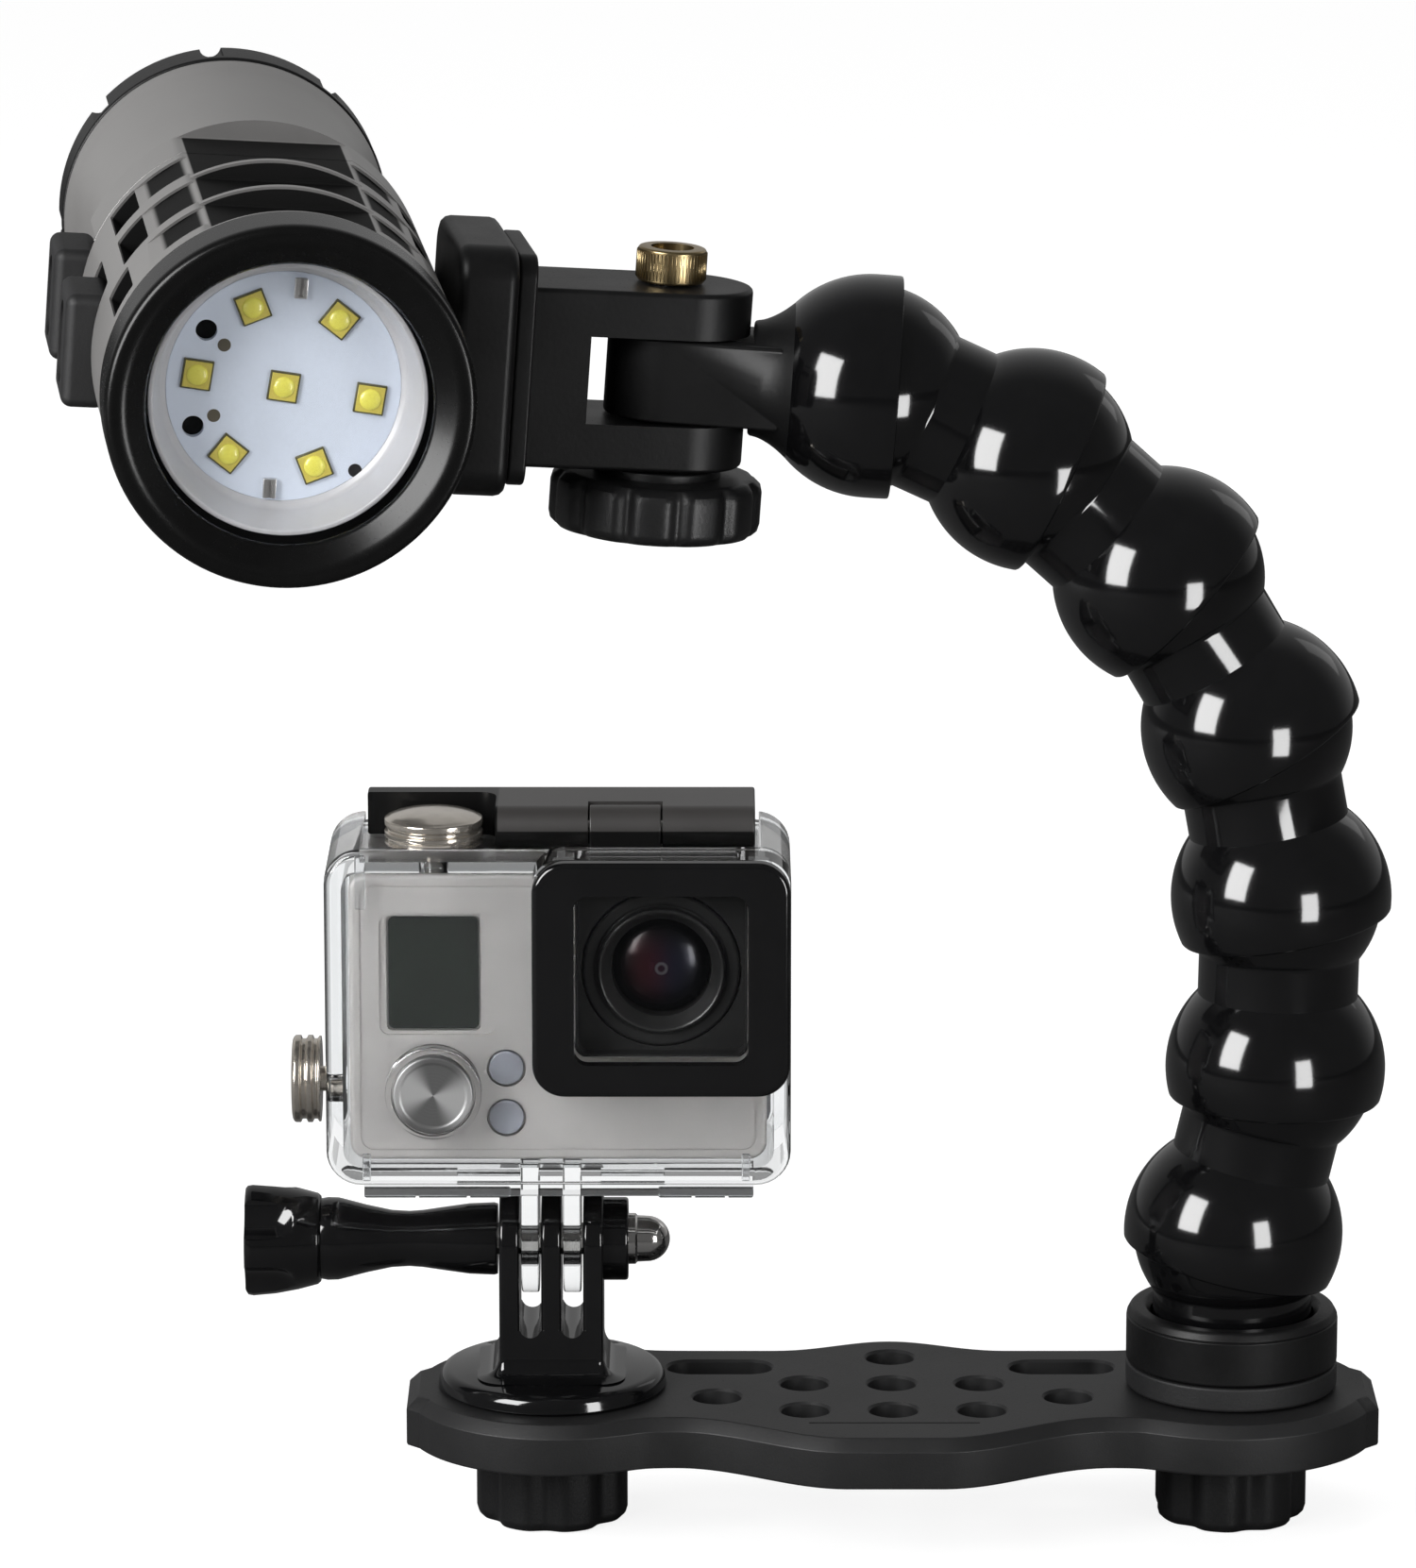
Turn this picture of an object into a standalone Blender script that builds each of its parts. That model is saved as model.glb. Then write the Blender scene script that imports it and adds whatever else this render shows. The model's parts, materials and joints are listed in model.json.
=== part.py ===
"""Underwater camera tray with a clear camera housing, a ball-and-socket arm and a video light."""

from math import acos, asin, cos, pi, radians, sin, sqrt

import bmesh
import bpy
from mathutils import Matrix, Vector

# Fits and cuts
FIT_GAP = 0.0003            # rest gap between two pieces that touch
SLIDE_GAP = 0.0003          # running gap round a stem, a tongue or a finger
CUT_OVERRUN = 0.002         # how far a cutter runs past the face that it opens
WELD_DISTANCE = 0.000001

# Tray plate
TRAY_TOP_Z = 0.0196         # top face above the surface that the knobs stand on
TRAY_THICKNESS = 0.0073
TRAY_HALF_LENGTH = 0.0703
TRAY_CHAMFER = 0.0017
PAD_CENTRE_X = 0.0486
PAD_RADIUS = 0.0217
END_TAB_HALF_WIDTH = 0.0088
FRONT_NECK_HALF_WIDTH = 0.0178
FRONT_BULGE_HALF_WIDTH = 0.0276
FRONT_BULGE_FLAT = 0.0067
FRONT_BULGE_REACH = 0.0316
BACK_NECK_HALF_WIDTH = 0.0176
BACK_BULGE_HALF_WIDTH = 0.02225
BACK_BULGE_REACH = 0.0170
STATION_X = 0.0493          # where the camera mount and the arm base are clamped
HOLE_PITCH = 0.0127
HOLE_RADIUS = 0.0035
SLOT_CENTRE_X = 0.0250
SLOT_CENTRE_Y = 0.0079
SLOT_LENGTH = 0.0153
SLOT_WIDTH = 0.0066
STUD_HOLE_RADIUS = 0.0034

# Clamp knobs under the tray
CLAMP_KNOB_RADIUS = 0.0111
CLAMP_KNOB_HEIGHT = 0.0120
CLAMP_KNOB_LOBES = 7
CLAMP_KNOB_GROOVE_DEPTH = 0.0011
CLAMP_KNOB_ROUND = 0.0012
CLAMP_KNOB_TURNS = {"left": 8.0, "right": 26.0}
STUD_RADIUS = 0.0030
STUD_FOOT_DEPTH = 0.0070    # how deep a stud is moulded into its knob
STUD_REACH = 0.0068         # how far a stud stands above the tray's top face

# Camera mount
MOUNT_DISC_RADIUS = 0.0166
MOUNT_DISC_THICKNESS = 0.0028
MOUNT_DISC_ROUND = 0.0012
MOUNT_FLARE = 0.0036
PRONG_COUNT = 3
PRONG_THICKNESS = 0.0029
PRONG_GAP = 0.00315
PRONG_RADIUS = 0.00775
PRONG_SLOT_FLOOR = 0.0092   # floor of the gaps above the tray's top face
TILT_AXIS_HEIGHT = 0.0219   # thumb screw above the tray's top face
INSERT_RADIUS = 0.0046
INSERT_HEIGHT = 0.0066
PIVOT_BOLT_RADIUS = 0.0024
PIVOT_BORE_RADIUS = 0.0028
NUT_BOSS_RADIUS = 0.0060
NUT_BOSS_LENGTH = 0.0036
NUT_ACROSS_FLATS = 0.0080
NUT_THICKNESS = 0.0034
NUT_DOME_RADIUS = 0.0033
NUT_DOME_LENGTH = 0.0060

# Thumb screw
THUMB_HEAD_RADIUS = 0.00825
THUMB_HEAD_LENGTH = 0.0108
THUMB_HANDLE_LENGTH = 0.0364
THUMB_COLLAR_RADIUS = 0.0060
THUMB_WAIST_RADIUS = 0.00405
THUMB_TIP_RADIUS = 0.0051
THUMB_BOLT_FOOT = 0.0120
THUMB_BODY_SHARES = (0.16, 0.46, 0.56, 0.86)    # tip, both ends of the waist, collar
THUMB_HEAD_FOOT_SHARE = 0.79
THUMB_HEAD_FLARE_SHARE = 0.35
THUMB_SCALLOPS = 5
THUMB_SCALLOP_RADIUS = 0.0048
THUMB_SCALLOP_DEPTH = 0.0014

# Camera housing, measured from the tilt axis and the tray's centre line
HOUSING_WIDTH = 0.0662
HOUSING_HEIGHT = 0.0493
HOUSING_OFFSET_X = 0.0013   # housing centre to the right of the mount
HOUSING_LIFT = 0.0122       # housing floor above the tilt axis
HOUSING_FRONT_Y = -0.0155
HOUSING_DEPTH = 0.0244
HOUSING_WALL = 0.0024
HOUSING_TOP_WALL = 0.0036
TOP_RECESS_DEPTH = 0.0019   # the latch and the shutter button sit in it
TOP_RECESS_FRONT = 0.0018   # rim left in front of the recess
TOP_RECESS_MARGIN = 0.0006  # recess beyond each end of the latch
HOUSING_CORNER = 0.0050
HOUSING_EDGE_ROUND = 0.0012
DOOR_THICKNESS = 0.0032
DOOR_HINGE_RADIUS = 0.0022
DOOR_HINGE_PIN_RADIUS = 0.0010
DOOR_HINGE_LENGTH = 0.0300
DOOR_KNUCKLE_LENGTH = 0.0110
DOOR_FOOT_SHARE = 0.8       # hinge foot against its knuckle
GASKET_WIDTH = 0.0010
GASKET_THICKNESS = 0.0012
FINGER_THICKNESS = 0.00255
FLOOR_RAIL_HEIGHT = 0.0021
FLOOR_RAIL_WIDTH = 0.0060
FLOOR_RAIL_MARGIN = 0.0053  # bare floor at each end of the rail
LENS_BOX_WIDTH = 0.0364
LENS_BOX_HEIGHT = 0.0340
LENS_BOX_REACH = 0.0068
LENS_BOX_PLACE_SHARE = 0.22205  # of the housing's width, right of its centre
LENS_BOX_DROP = 0.0166      # lens centre below the housing's top
LENS_BOX_CORNER = 0.0040
PORT_FRAME_THICKNESS = 0.0022
PORT_OPENING = 0.0246
PORT_GLASS_SIZE = 0.0268
PORT_GLASS_THICKNESS = 0.0018
PORT_CORNER = 0.0020

# Camera
CAMERA_SIDE_GAP = 0.0010    # room round the camera in its bay
CAMERA_FLOOR_GAP = 0.0010
CAMERA_TOP_GAP = 0.0003
CAMERA_FRONT_GAP = 0.0005
CAMERA_BACK_GAP = 0.0017
CAMERA_EDGE = 0.0022
CAMERA_LENS_RADIUS = 0.0112
CAMERA_LENS_STEP_RADIUS = 0.0090
CAMERA_LENS_REACH = 0.0066
CAMERA_GLASS_RADIUS = 0.0069
CAMERA_GLASS_SHARES = (0.6, 0.3)    # a point of the dome: of its radius, of its drop
DISPLAY_WIDTH = 0.0128
DISPLAY_HEIGHT = 0.0163
DISPLAY_LIFT_SHARE = 0.15238        # of the camera's height, above its middle
DISPLAY_DEPTH = 0.0010
WINDOW_RADIUS = 0.0025
WINDOW_PLACE_SHARE = -0.11178       # of the housing's width, from its centre
WINDOW_LIFT_SHARES = (-0.17619, -0.35)

# Housing buttons
BUTTON_COLUMN_SHARE = -0.26737      # shutter, display and mode button, of the housing's width
BUTTON_CROWN_SHARE = 0.5
BUTTON_RISE_SHARE = 0.25
STEM_RADIUS = 0.0018
SHUTTER_RADIUS = 0.0070
SHUTTER_CAP = 0.0046
SHUTTER_TRAVEL = 0.0008
SHUTTER_SETBACK = 0.0090    # behind the housing's front
MODE_RADIUS = 0.00565
MODE_CAP = 0.0018
MODE_TRAVEL = 0.0010
MODE_LIFT_SHARE = -0.24048  # of the camera's height
MODE_SHROUD_WALL = 0.0009
MODE_SHROUD_HEIGHT = 0.0024
SIDE_RADIUS = 0.0063
SIDE_CAP = 0.0036
SIDE_TRAVEL = 0.0010
SIDE_LIFT_SHARE = -0.3

# Latch
LATCH_END_MARGIN = 0.0054   # housing beyond each end of the latch
LATCH_OFFSET_X = 0.0003
LATCH_HEIGHT = 0.0062
LATCH_TOP_DEPTH = 0.0145
LATCH_STRAP_THICKNESS = 0.0028
LATCH_SETBACK = 0.0055      # behind the housing's front
LATCH_NOTCH_SIDE_GAP = 0.0018   # notch to the shutter button
LATCH_NOTCH_BACK_GAP = 0.0009
LATCH_NOTCH_CORNER = 0.0030
LATCH_LUG_RADIUS = 0.0022
LATCH_LUG_LENGTH = 0.0100
LATCH_PIN_RADIUS = 0.0009
LATCH_PIN_LENGTH = 0.0180

# Arm
ARM_PITCH = 0.0253          # ball centre to ball centre
BALL_RADIUS = 0.0144
SOCKET_GAP = 0.0003
SOCKET_WALL = 0.0011
SOCKET_RIM_DROP = 0.0045    # rim below the ball's centre
SOCKET_LIP_CHAMFER = 0.0006
NECK_RADIUS = 0.0115
BALL_TOP_ANGLE = radians(58)
SOCKET_CEILING_ANGLE = radians(36)
BASE_BALL_HEIGHT = 0.0231   # lowest ball centre above the tray's top face
ARM_BENDS = (-13.0, 12.0, 11.5, 20.0, 17.5, 17.2, 20.8)
COLLAR_RADIUS = 0.0153
COLLAR_HEIGHT = 0.0079
COLLAR_ROUND = 0.0022
WASHER_HEIGHT = 0.0035
POST_BORE_DEPTH = 0.0080

# Cup, tongue and clevis
CUP_RIM_DROP = 0.0036
TONGUE_REACH = 0.0292       # cup centre to clevis bolt
TONGUE_HEIGHT = 0.0118
TONGUE_WIDTH = 0.0165
TONGUE_BORE_RADIUS = 0.0034
CLEVIS_EAR_HEIGHT = 0.0066
CLEVIS_DEPTH = 0.0185
CLEVIS_NOSE = 0.0118        # bolt axis to the rounded end
CLEVIS_SLOT_DEPTH = 0.0119  # bolt axis to the slot's floor
CLEVIS_BODY_LENGTH = 0.0203 # bolt axis to the flange
FLANGE_THICKNESS = 0.0026
FLANGE_DEPTH = 0.0250
FLANGE_TOP = 0.0176
FLANGE_BOTTOM = 0.0152
FLANGE_CORNER = 0.0035
CLEVIS_YAW = 8.0
BRASS_RADIUS = 0.0050
BRASS_HEIGHT = 0.0048
BRASS_EDGE = 0.0005
BRASS_BORE_SHARE = 0.7      # of the nut's height
STUD_IN_BRASS_SHARE = 0.6
CLEVIS_STUD_RADIUS = 0.0030
PIVOT_KNOB_RADIUS = 0.0150
PIVOT_KNOB_HEIGHT = 0.0082
PIVOT_KNOB_SHOULDER = 0.0012
PIVOT_KNOB_SHOULDER_RADIUS = 0.0090
PIVOT_KNOB_LOBES = 12
PIVOT_KNOB_GROOVE = 0.0007

# Light
SADDLE_THICKNESS = 0.0085
SADDLE_DEPTH = 0.0320
SADDLE_TOP = 0.0190
SADDLE_BOTTOM = 0.0165
SADDLE_CORNER = 0.0040
LIGHT_OFFSET_X = 0.0562     # bolt axis to the light's axis
LIGHT_LIFT = 0.0018
LIGHT_PITCH = 3.3
HEAD_RADIUS = 0.0253
BEZEL_RADIUS = 0.0255
HEAD_FRONT = 0.0380         # saddle centre to the bezel's front
BEZEL_LENGTH = 0.0090
BEZEL_OPENING_RADIUS = 0.0196
BEZEL_ROUND = 0.0020
GLASS_THICKNESS = 0.0020
GLASS_RECESS = 0.0030
GROOVE_DEPTH = 0.0032
GROOVE_LENGTH = 0.0115
FIN_THICKNESS = 0.0030
GROOVE_COUNT = 3
RIB_FIRST_ANGLE = 37.0
RIB_WIDTH = 0.0055
RIB_PAIRS = 4
RIB_SETBACK = 0.00055       # ribs below the fins' rims
HEAD_BACK = 0.0190          # saddle centre to the seam behind the fins
TAIL_RADIUS = 0.0240
TAIL_END = 0.0760
TAIL_CAP_LENGTH = 0.0085
TAIL_CAP_RADIUS = 0.0243
TAIL_CAP_NOTCHES = 8
TAIL_CAP_NOTCH_RADIUS = 0.0016
TAIL_CAP_PLUG_LENGTH = 0.0060
TAIL_CAP_BOSS_RADIUS = 0.0100
TAIL_CAP_WALL = 0.0020
TUBE_BORE_RADIUS = 0.0205
CELL_FLOOR = 0.0040          # cell's upper end, in front of the saddle's middle
BATTERY_RADIUS = 0.00925
BATTERY_LENGTH = 0.0650
BOARD_RADIUS = 0.0156
BOARD_THICKNESS = 0.0012
DIFFUSER_DEPTH = 0.0045
DIFFUSER_OUTER_RADIUS = 0.0192
LED_SIZE = 0.0040
LED_HEIGHT = 0.0007
LED_RING_RADIUS = 0.0120
LED_COUNT = 7
SWITCH_HEIGHT = 0.0180
SWITCH_LENGTH = 0.0130
SWITCH_PROUD = 0.0038
SWITCH_DEPTH = 0.0026
SWITCH_TRAVEL = 0.0010
SWITCH_STATIONS = (0.0010, -0.0260)     # along the light, from the saddle's middle
SWITCH_LABELS = ("front", "rear")

# Facets
ROUND_STEPS = 24
ARM_STEPS = 18
SOCKET_INSIDE_STEPS = 3
SMALL_STEPS = 14
HOLE_STEPS = 12
TINY_STEPS = 10


def clear_scene():
    for item in list(bpy.data.objects):
        bpy.data.objects.remove(item, do_unlink=True)


def new_collection(name):
    made = bpy.data.collections.new(name)
    bpy.context.scene.collection.children.link(made)
    return made


clear_scene()
PARTS = new_collection("underwater_camera_tray")
CUTTERS = new_collection("cutters")


def new_material(name, colour, roughness, metallic=0.0, alpha=1.0):
    made = bpy.data.materials.new(name)
    made.use_nodes = True
    shader = made.node_tree.nodes["Principled BSDF"]
    shader.inputs["Base Color"].default_value = (*colour, 1.0)
    shader.inputs["Roughness"].default_value = roughness
    shader.inputs["Metallic"].default_value = metallic
    shader.inputs["Alpha"].default_value = alpha
    return made


ANODISED = ((0.055, 0.055, 0.058), 0.55, 0.0)
GLOSS_BLACK = ((0.012, 0.012, 0.013), 0.12, 0.0)
SATIN_BLACK = ((0.020, 0.020, 0.021), 0.38, 0.0)
RUBBER_BLACK = ((0.030, 0.030, 0.031), 0.75, 0.0)
STEEL = ((0.62, 0.61, 0.59), 0.25, 1.0)
BRASS = ((0.78, 0.60, 0.30), 0.28, 1.0)
CLEAR = ((0.92, 0.95, 0.96), 0.05, 0.0, 0.25)
SILVER = ((0.68, 0.67, 0.65), 0.42, 0.2)
CHAMPAGNE = ((0.66, 0.60, 0.50), 0.25, 1.0)
DISPLAY = ((0.08, 0.10, 0.08), 0.20, 0.0)
DARK_GLASS = ((0.01, 0.01, 0.014), 0.03, 0.0)
BLUE_GLASS = ((0.55, 0.60, 0.68), 0.20, 0.0)
GREY_METAL = ((0.42, 0.41, 0.40), 0.40, 0.6)
WHITE_PLASTIC = ((0.86, 0.88, 0.90), 0.45, 0.0)
BOARD_WHITE = ((0.80, 0.85, 0.92), 0.40, 0.0)
BATTERY_BLUE = ((0.05, 0.12, 0.30), 0.35, 0.0)
SEAL_GREY = ((0.35, 0.36, 0.37), 0.60, 0.0)


def link_part(obj, name, finish, parent=None):
    """Names a finished piece, gives it its own material and hangs it on its parent."""
    obj.name = name
    obj.data.name = name
    obj.data.materials.clear()
    obj.data.materials.append(new_material(name, *finish))
    for owner in list(obj.users_collection):
        owner.objects.unlink(obj)
    PARTS.objects.link(obj)
    obj.parent = parent
    return obj


def link_tool(obj, target):
    """Keeps a cutter or a joined shape as a wire guide in the target's own frame."""
    for owner in list(obj.users_collection):
        owner.objects.unlink(obj)
    CUTTERS.objects.link(obj)
    obj.hide_render = True
    obj.display_type = "WIRE"
    obj.parent = target
    return obj


def boolean(target, tool, operation):
    link_tool(tool, target)
    step = target.modifiers.new(operation.lower(), "BOOLEAN")
    step.operation = operation
    step.solver = "EXACT"
    step.object = tool
    return target


def cut(target, tool):
    return boolean(target, tool, "DIFFERENCE")


def join(target, tool):
    return boolean(target, tool, "UNION")


def frame(name, parent=None, place=(0, 0, 0), turn=(0, 0, 0)):
    """An empty that carries a moving body, with its origin on the joint."""
    made = bpy.data.objects.new(name, None)
    PARTS.objects.link(made)
    made.parent = parent
    made.location = place
    made.rotation_euler = turn
    return made


def mesh_object(name, mesh):
    made = bpy.data.objects.new(name, mesh)
    bpy.context.scene.collection.objects.link(made)
    return made


def smooth(obj, angle=radians(35)):
    obj.data.shade_smooth()
    obj.data.set_sharp_from_angle(angle=angle)
    return obj


def turned(name, profile, steps=ROUND_STEPS, closed=False):
    """Turns a profile of (radius, height) points round Z; it runs down its outer side."""
    mesh = bpy.data.meshes.new(name)
    points = [(radius, 0.0, height) for radius, height in profile]
    edges = [(i, i + 1) for i in range(len(points) - 1)]
    if closed:
        edges.append((len(points) - 1, 0))
    mesh.from_pydata(points, edges, [])
    obj = mesh_object(name, mesh)
    screw = obj.modifiers.new("screw", "SCREW")
    screw.axis = "Z"
    screw.angle = 2 * pi
    screw.steps = steps
    screw.render_steps = steps
    screw.use_merge_vertices = True
    screw.merge_threshold = WELD_DISTANCE
    screw.use_smooth_shade = True
    return baked(obj)


def baked(obj):
    """Applies an object's modifiers so that it can be cut, joined or shaded."""
    bpy.context.view_layer.update()
    shape = obj.evaluated_get(bpy.context.evaluated_depsgraph_get())
    mesh = bpy.data.meshes.new_from_object(shape)
    work = bmesh.new()
    work.from_mesh(mesh)
    bmesh.ops.remove_doubles(work, verts=work.verts, dist=WELD_DISTANCE)
    work.to_mesh(mesh)
    work.free()
    made = mesh_object(obj.name, mesh)
    made.matrix_world = obj.matrix_world
    bpy.data.objects.remove(obj, do_unlink=True)
    return smooth(made)


def moved(obj, place=(0, 0, 0), turn=(0, 0, 0)):
    """Moves and turns a mesh inside its own frame, so the origin stays on the joint."""
    spin = Matrix.Rotation(turn[2], 4, "Z") @ Matrix.Rotation(turn[1], 4, "Y")
    spin = spin @ Matrix.Rotation(turn[0], 4, "X")
    obj.data.transform(Matrix.Translation(place) @ spin)
    return obj


def ring(name, outer, inner, low, high, steps=ROUND_STEPS):
    profile = [(outer, high), (outer, low), (inner, low), (inner, high)]
    return turned(name, profile, steps, closed=True)


def rod(name, radius, low, high, steps=SMALL_STEPS):
    profile = [(0, high), (radius, high), (radius, low), (0, low)]
    return turned(name, profile, steps)


def block(name, low, high, round_radius=0.0, segments=2, round_edges=None):
    """A box between two corners, rounded on all edges or on those along one axis."""
    low, high = Vector(low), Vector(high)
    size, centre = high - low, (high + low) / 2
    work = bmesh.new()
    bmesh.ops.create_cube(work, size=1.0)
    bmesh.ops.transform(work, matrix=Matrix.Diagonal((*size, 1.0)), verts=work.verts)
    if round_radius:
        edges = [e for e in work.edges if round_edges is None or along(e, round_edges)]
        bmesh.ops.bevel(work, geom=edges, offset=round_radius, segments=segments,
                        profile=0.5, affect="EDGES")
    bmesh.ops.translate(work, vec=centre, verts=work.verts)
    mesh = bpy.data.meshes.new(name)
    work.to_mesh(mesh)
    work.free()
    return smooth(mesh_object(name, mesh))


def along(edge, axis):
    direction = (edge.verts[1].co - edge.verts[0].co).normalized()
    return abs(direction["XYZ".index(axis)]) > cos(radians(1))


def extruded(name, outline, low, high):
    """Extrudes a flat closed outline of (x, y) points between two heights."""
    curve = bpy.data.curves.new(name, "CURVE")
    curve.dimensions = "2D"
    curve.fill_mode = "BOTH"
    curve.extrude = (high - low) / 2
    line = curve.splines.new("POLY")
    line.points.add(len(outline) - 1)
    for point, (x, y) in zip(line.points, outline):
        point.co = (x, y, 0.0, 1.0)
    line.use_cyclic_u = True
    obj = mesh_object(name, curve)
    made = baked(obj)
    work = bmesh.new()
    work.from_mesh(made.data)
    bmesh.ops.dissolve_limit(work, angle_limit=radians(0.5), verts=work.verts,
                             edges=work.edges)
    bmesh.ops.recalc_face_normals(work, faces=work.faces)
    work.to_mesh(made.data)
    work.free()
    made.data.transform(Matrix.Translation((0, 0, (high + low) / 2)))
    return smooth(made)


def round_rim(obj, height, width, segments=1):
    """Bevels the rim of an extruded plate at one of its two heights."""
    work = bmesh.new()
    work.from_mesh(obj.data)
    level = [e for e in work.edges
             if all(abs(v.co.z - height) < WELD_DISTANCE * 10 for v in e.verts)
             and e.calc_face_angle(0.0) > radians(45)]
    bmesh.ops.bevel(work, geom=level, offset=width, segments=segments, profile=0.5,
                    affect="EDGES", loop_slide=True)
    work.to_mesh(obj.data)
    work.free()
    return smooth(obj)


def arc(centre, radius, start, stop, count):
    """Points on an arc, both ends included, angles in radians."""
    return [(centre[0] + radius * cos(start + (stop - start) * i / count),
             centre[1] + radius * sin(start + (stop - start) * i / count))
            for i in range(count + 1)]


def rounded_rectangle(width, height, corner, count=4):
    x, y = width / 2 - corner, height / 2 - corner
    points = []
    for quarter, (cx, cy) in enumerate(((x, y), (-x, y), (-x, -y), (x, -y))):
        points += arc((cx, cy), corner, quarter * pi / 2, (quarter + 1) * pi / 2, count)
    return points


def lobed_circle(radius, lobes, depth, points_per_lobe=5):
    """A knob outline: round lobes with a narrow groove between each two."""
    count = lobes * points_per_lobe
    outline = []
    for i in range(count):
        share = (i % points_per_lobe) / points_per_lobe
        dip = abs(cos(pi * share)) ** 6
        angle = 2 * pi * i / count
        outline.append(((radius - depth * dip) * cos(angle),
                        (radius - depth * dip) * sin(angle)))
    return outline


def eased(share):
    share = min(max(share, 0.0), 1.0)
    return (1 + cos(pi * share)) / 2


def tray_half_width(x, front):
    """Half width of the tray at a distance from its middle, on the front or back side."""
    x = abs(x)
    if front:
        share = (x - FRONT_BULGE_FLAT) / (FRONT_BULGE_REACH - FRONT_BULGE_FLAT)
        neck, bulge = FRONT_NECK_HALF_WIDTH, FRONT_BULGE_HALF_WIDTH
    else:
        share = x / BACK_BULGE_REACH
        neck, bulge = BACK_NECK_HALF_WIDTH, BACK_BULGE_HALF_WIDTH
    waist = neck + (bulge - neck) * eased(share)
    reach = PAD_RADIUS ** 2 - (x - PAD_CENTRE_X) ** 2
    pad = sqrt(max(reach, 0.0))
    if x > PAD_CENTRE_X:
        return pad
    return max(waist, pad)


def tray_outline():
    """The tray's contour: a bulge in the middle, two round pads and a flat tab at each end."""
    tab_start = PAD_CENTRE_X + sqrt(PAD_RADIUS ** 2 - END_TAB_HALF_WIDTH ** 2)
    count = 28
    stations = [tab_start * cos(pi * i / count) for i in range(count + 1)]
    front = [(x, -tray_half_width(x, True)) for x in reversed(stations)]
    back = [(x, tray_half_width(x, False)) for x in stations]
    tab_shoulder = END_TAB_HALF_WIDTH - (TRAY_HALF_LENGTH - tab_start)
    right = [(TRAY_HALF_LENGTH, -tab_shoulder), (TRAY_HALF_LENGTH, tab_shoulder)]
    left = [(-x, -y) for x, y in right]
    return front + right + back + left


def slot_outline(length, width, count=8):
    half = (length - width) / 2
    right = arc((half, 0), width / 2, -pi / 2, pi / 2, count)
    return right + arc((-half, 0), width / 2, pi / 2, 3 * pi / 2, count)


def tray_holes():
    """The pattern of bolt holes: a row behind, a row of three, two wide and a row in front."""
    middle = [(step * HOLE_PITCH, row * HOLE_PITCH) for row in (0, -1) for step in (-1, 0, 1)]
    return [(0, HOLE_PITCH)] + middle + [(side * 2 * HOLE_PITCH, -HOLE_PITCH / 2)
                                         for side in (-1, 1)]


def make_tray(root):
    low, high = TRAY_TOP_Z - TRAY_THICKNESS, TRAY_TOP_Z
    tray = extruded("tray_plate", tray_outline(), low, high)
    round_rim(tray, high, TRAY_CHAMFER)
    link_part(tray, "tray_plate", ANODISED, root)
    cut_low, cut_high = low - CUT_OVERRUN, high + CUT_OVERRUN
    for x, y in tray_holes():
        hole = rod("hole", HOLE_RADIUS, cut_low, cut_high, HOLE_STEPS)
        cut(tray, moved(hole, (x, y, 0)))
    for side in (-1, 1):
        station = rod("stud_hole", STUD_HOLE_RADIUS, cut_low, cut_high)
        cut(tray, moved(station, (side * STATION_X, 0, 0)))
        slot = extruded("slot", slot_outline(SLOT_LENGTH, SLOT_WIDTH), cut_low, cut_high)
        cut(tray, moved(slot, (side * SLOT_CENTRE_X, SLOT_CENTRE_Y, 0)))
    return tray


def make_knob(name, radius, height, lobes, depth, bore_radius, bore_depth, turn=0.0):
    """A lobed hand knob, its foot at z = 0, with a blind bore from above for its screw."""
    knob = extruded(name, lobed_circle(radius, lobes, depth), 0, height)
    round_rim(knob, 0, CLAMP_KNOB_ROUND)
    round_rim(knob, height, CLAMP_KNOB_ROUND / 2)
    moved(knob, turn=(0, 0, turn))
    bore = rod("bore", bore_radius, height - bore_depth, height + CUT_OVERRUN)
    return knob, bore


def make_clamp(side, label, root):
    """One clamp knob and its steel stud, turning together about the stud's axis."""
    pivot = frame(label + "_clamp", root, (side * STATION_X, 0, 0))
    knob, bore = make_knob("knob", CLAMP_KNOB_RADIUS, CLAMP_KNOB_HEIGHT, CLAMP_KNOB_LOBES,
                           CLAMP_KNOB_GROOVE_DEPTH, STUD_RADIUS + FIT_GAP,
                           STUD_FOOT_DEPTH + FIT_GAP, radians(CLAMP_KNOB_TURNS[label]))
    link_part(knob, label + "_clamp_knob", SATIN_BLACK, pivot)
    cut(knob, bore)
    foot = CLAMP_KNOB_HEIGHT - STUD_FOOT_DEPTH
    stud = rod("stud", STUD_RADIUS, foot, TRAY_TOP_Z + STUD_REACH, SMALL_STEPS)
    link_part(stud, label + "_clamp_stud", STEEL, pivot)


def prong_profile(low, reach):
    """A prong seen from its side: straight sides up to a round end about the pivot."""
    top = arc((0, TILT_AXIS_HEIGHT), reach, 0, pi, 12)
    return [(-reach, low)] + [(reach, low)] + top


def side_plate(name, outline, low, high):
    """Extrudes an outline of (y, z) points along X between two places."""
    plate = extruded(name, outline, low, high)
    turn = Matrix(((0, 0, 1, 0), (1, 0, 0, 0), (0, 1, 0, 0), (0, 0, 0, 1)))
    plate.data.transform(turn)
    return plate


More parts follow.
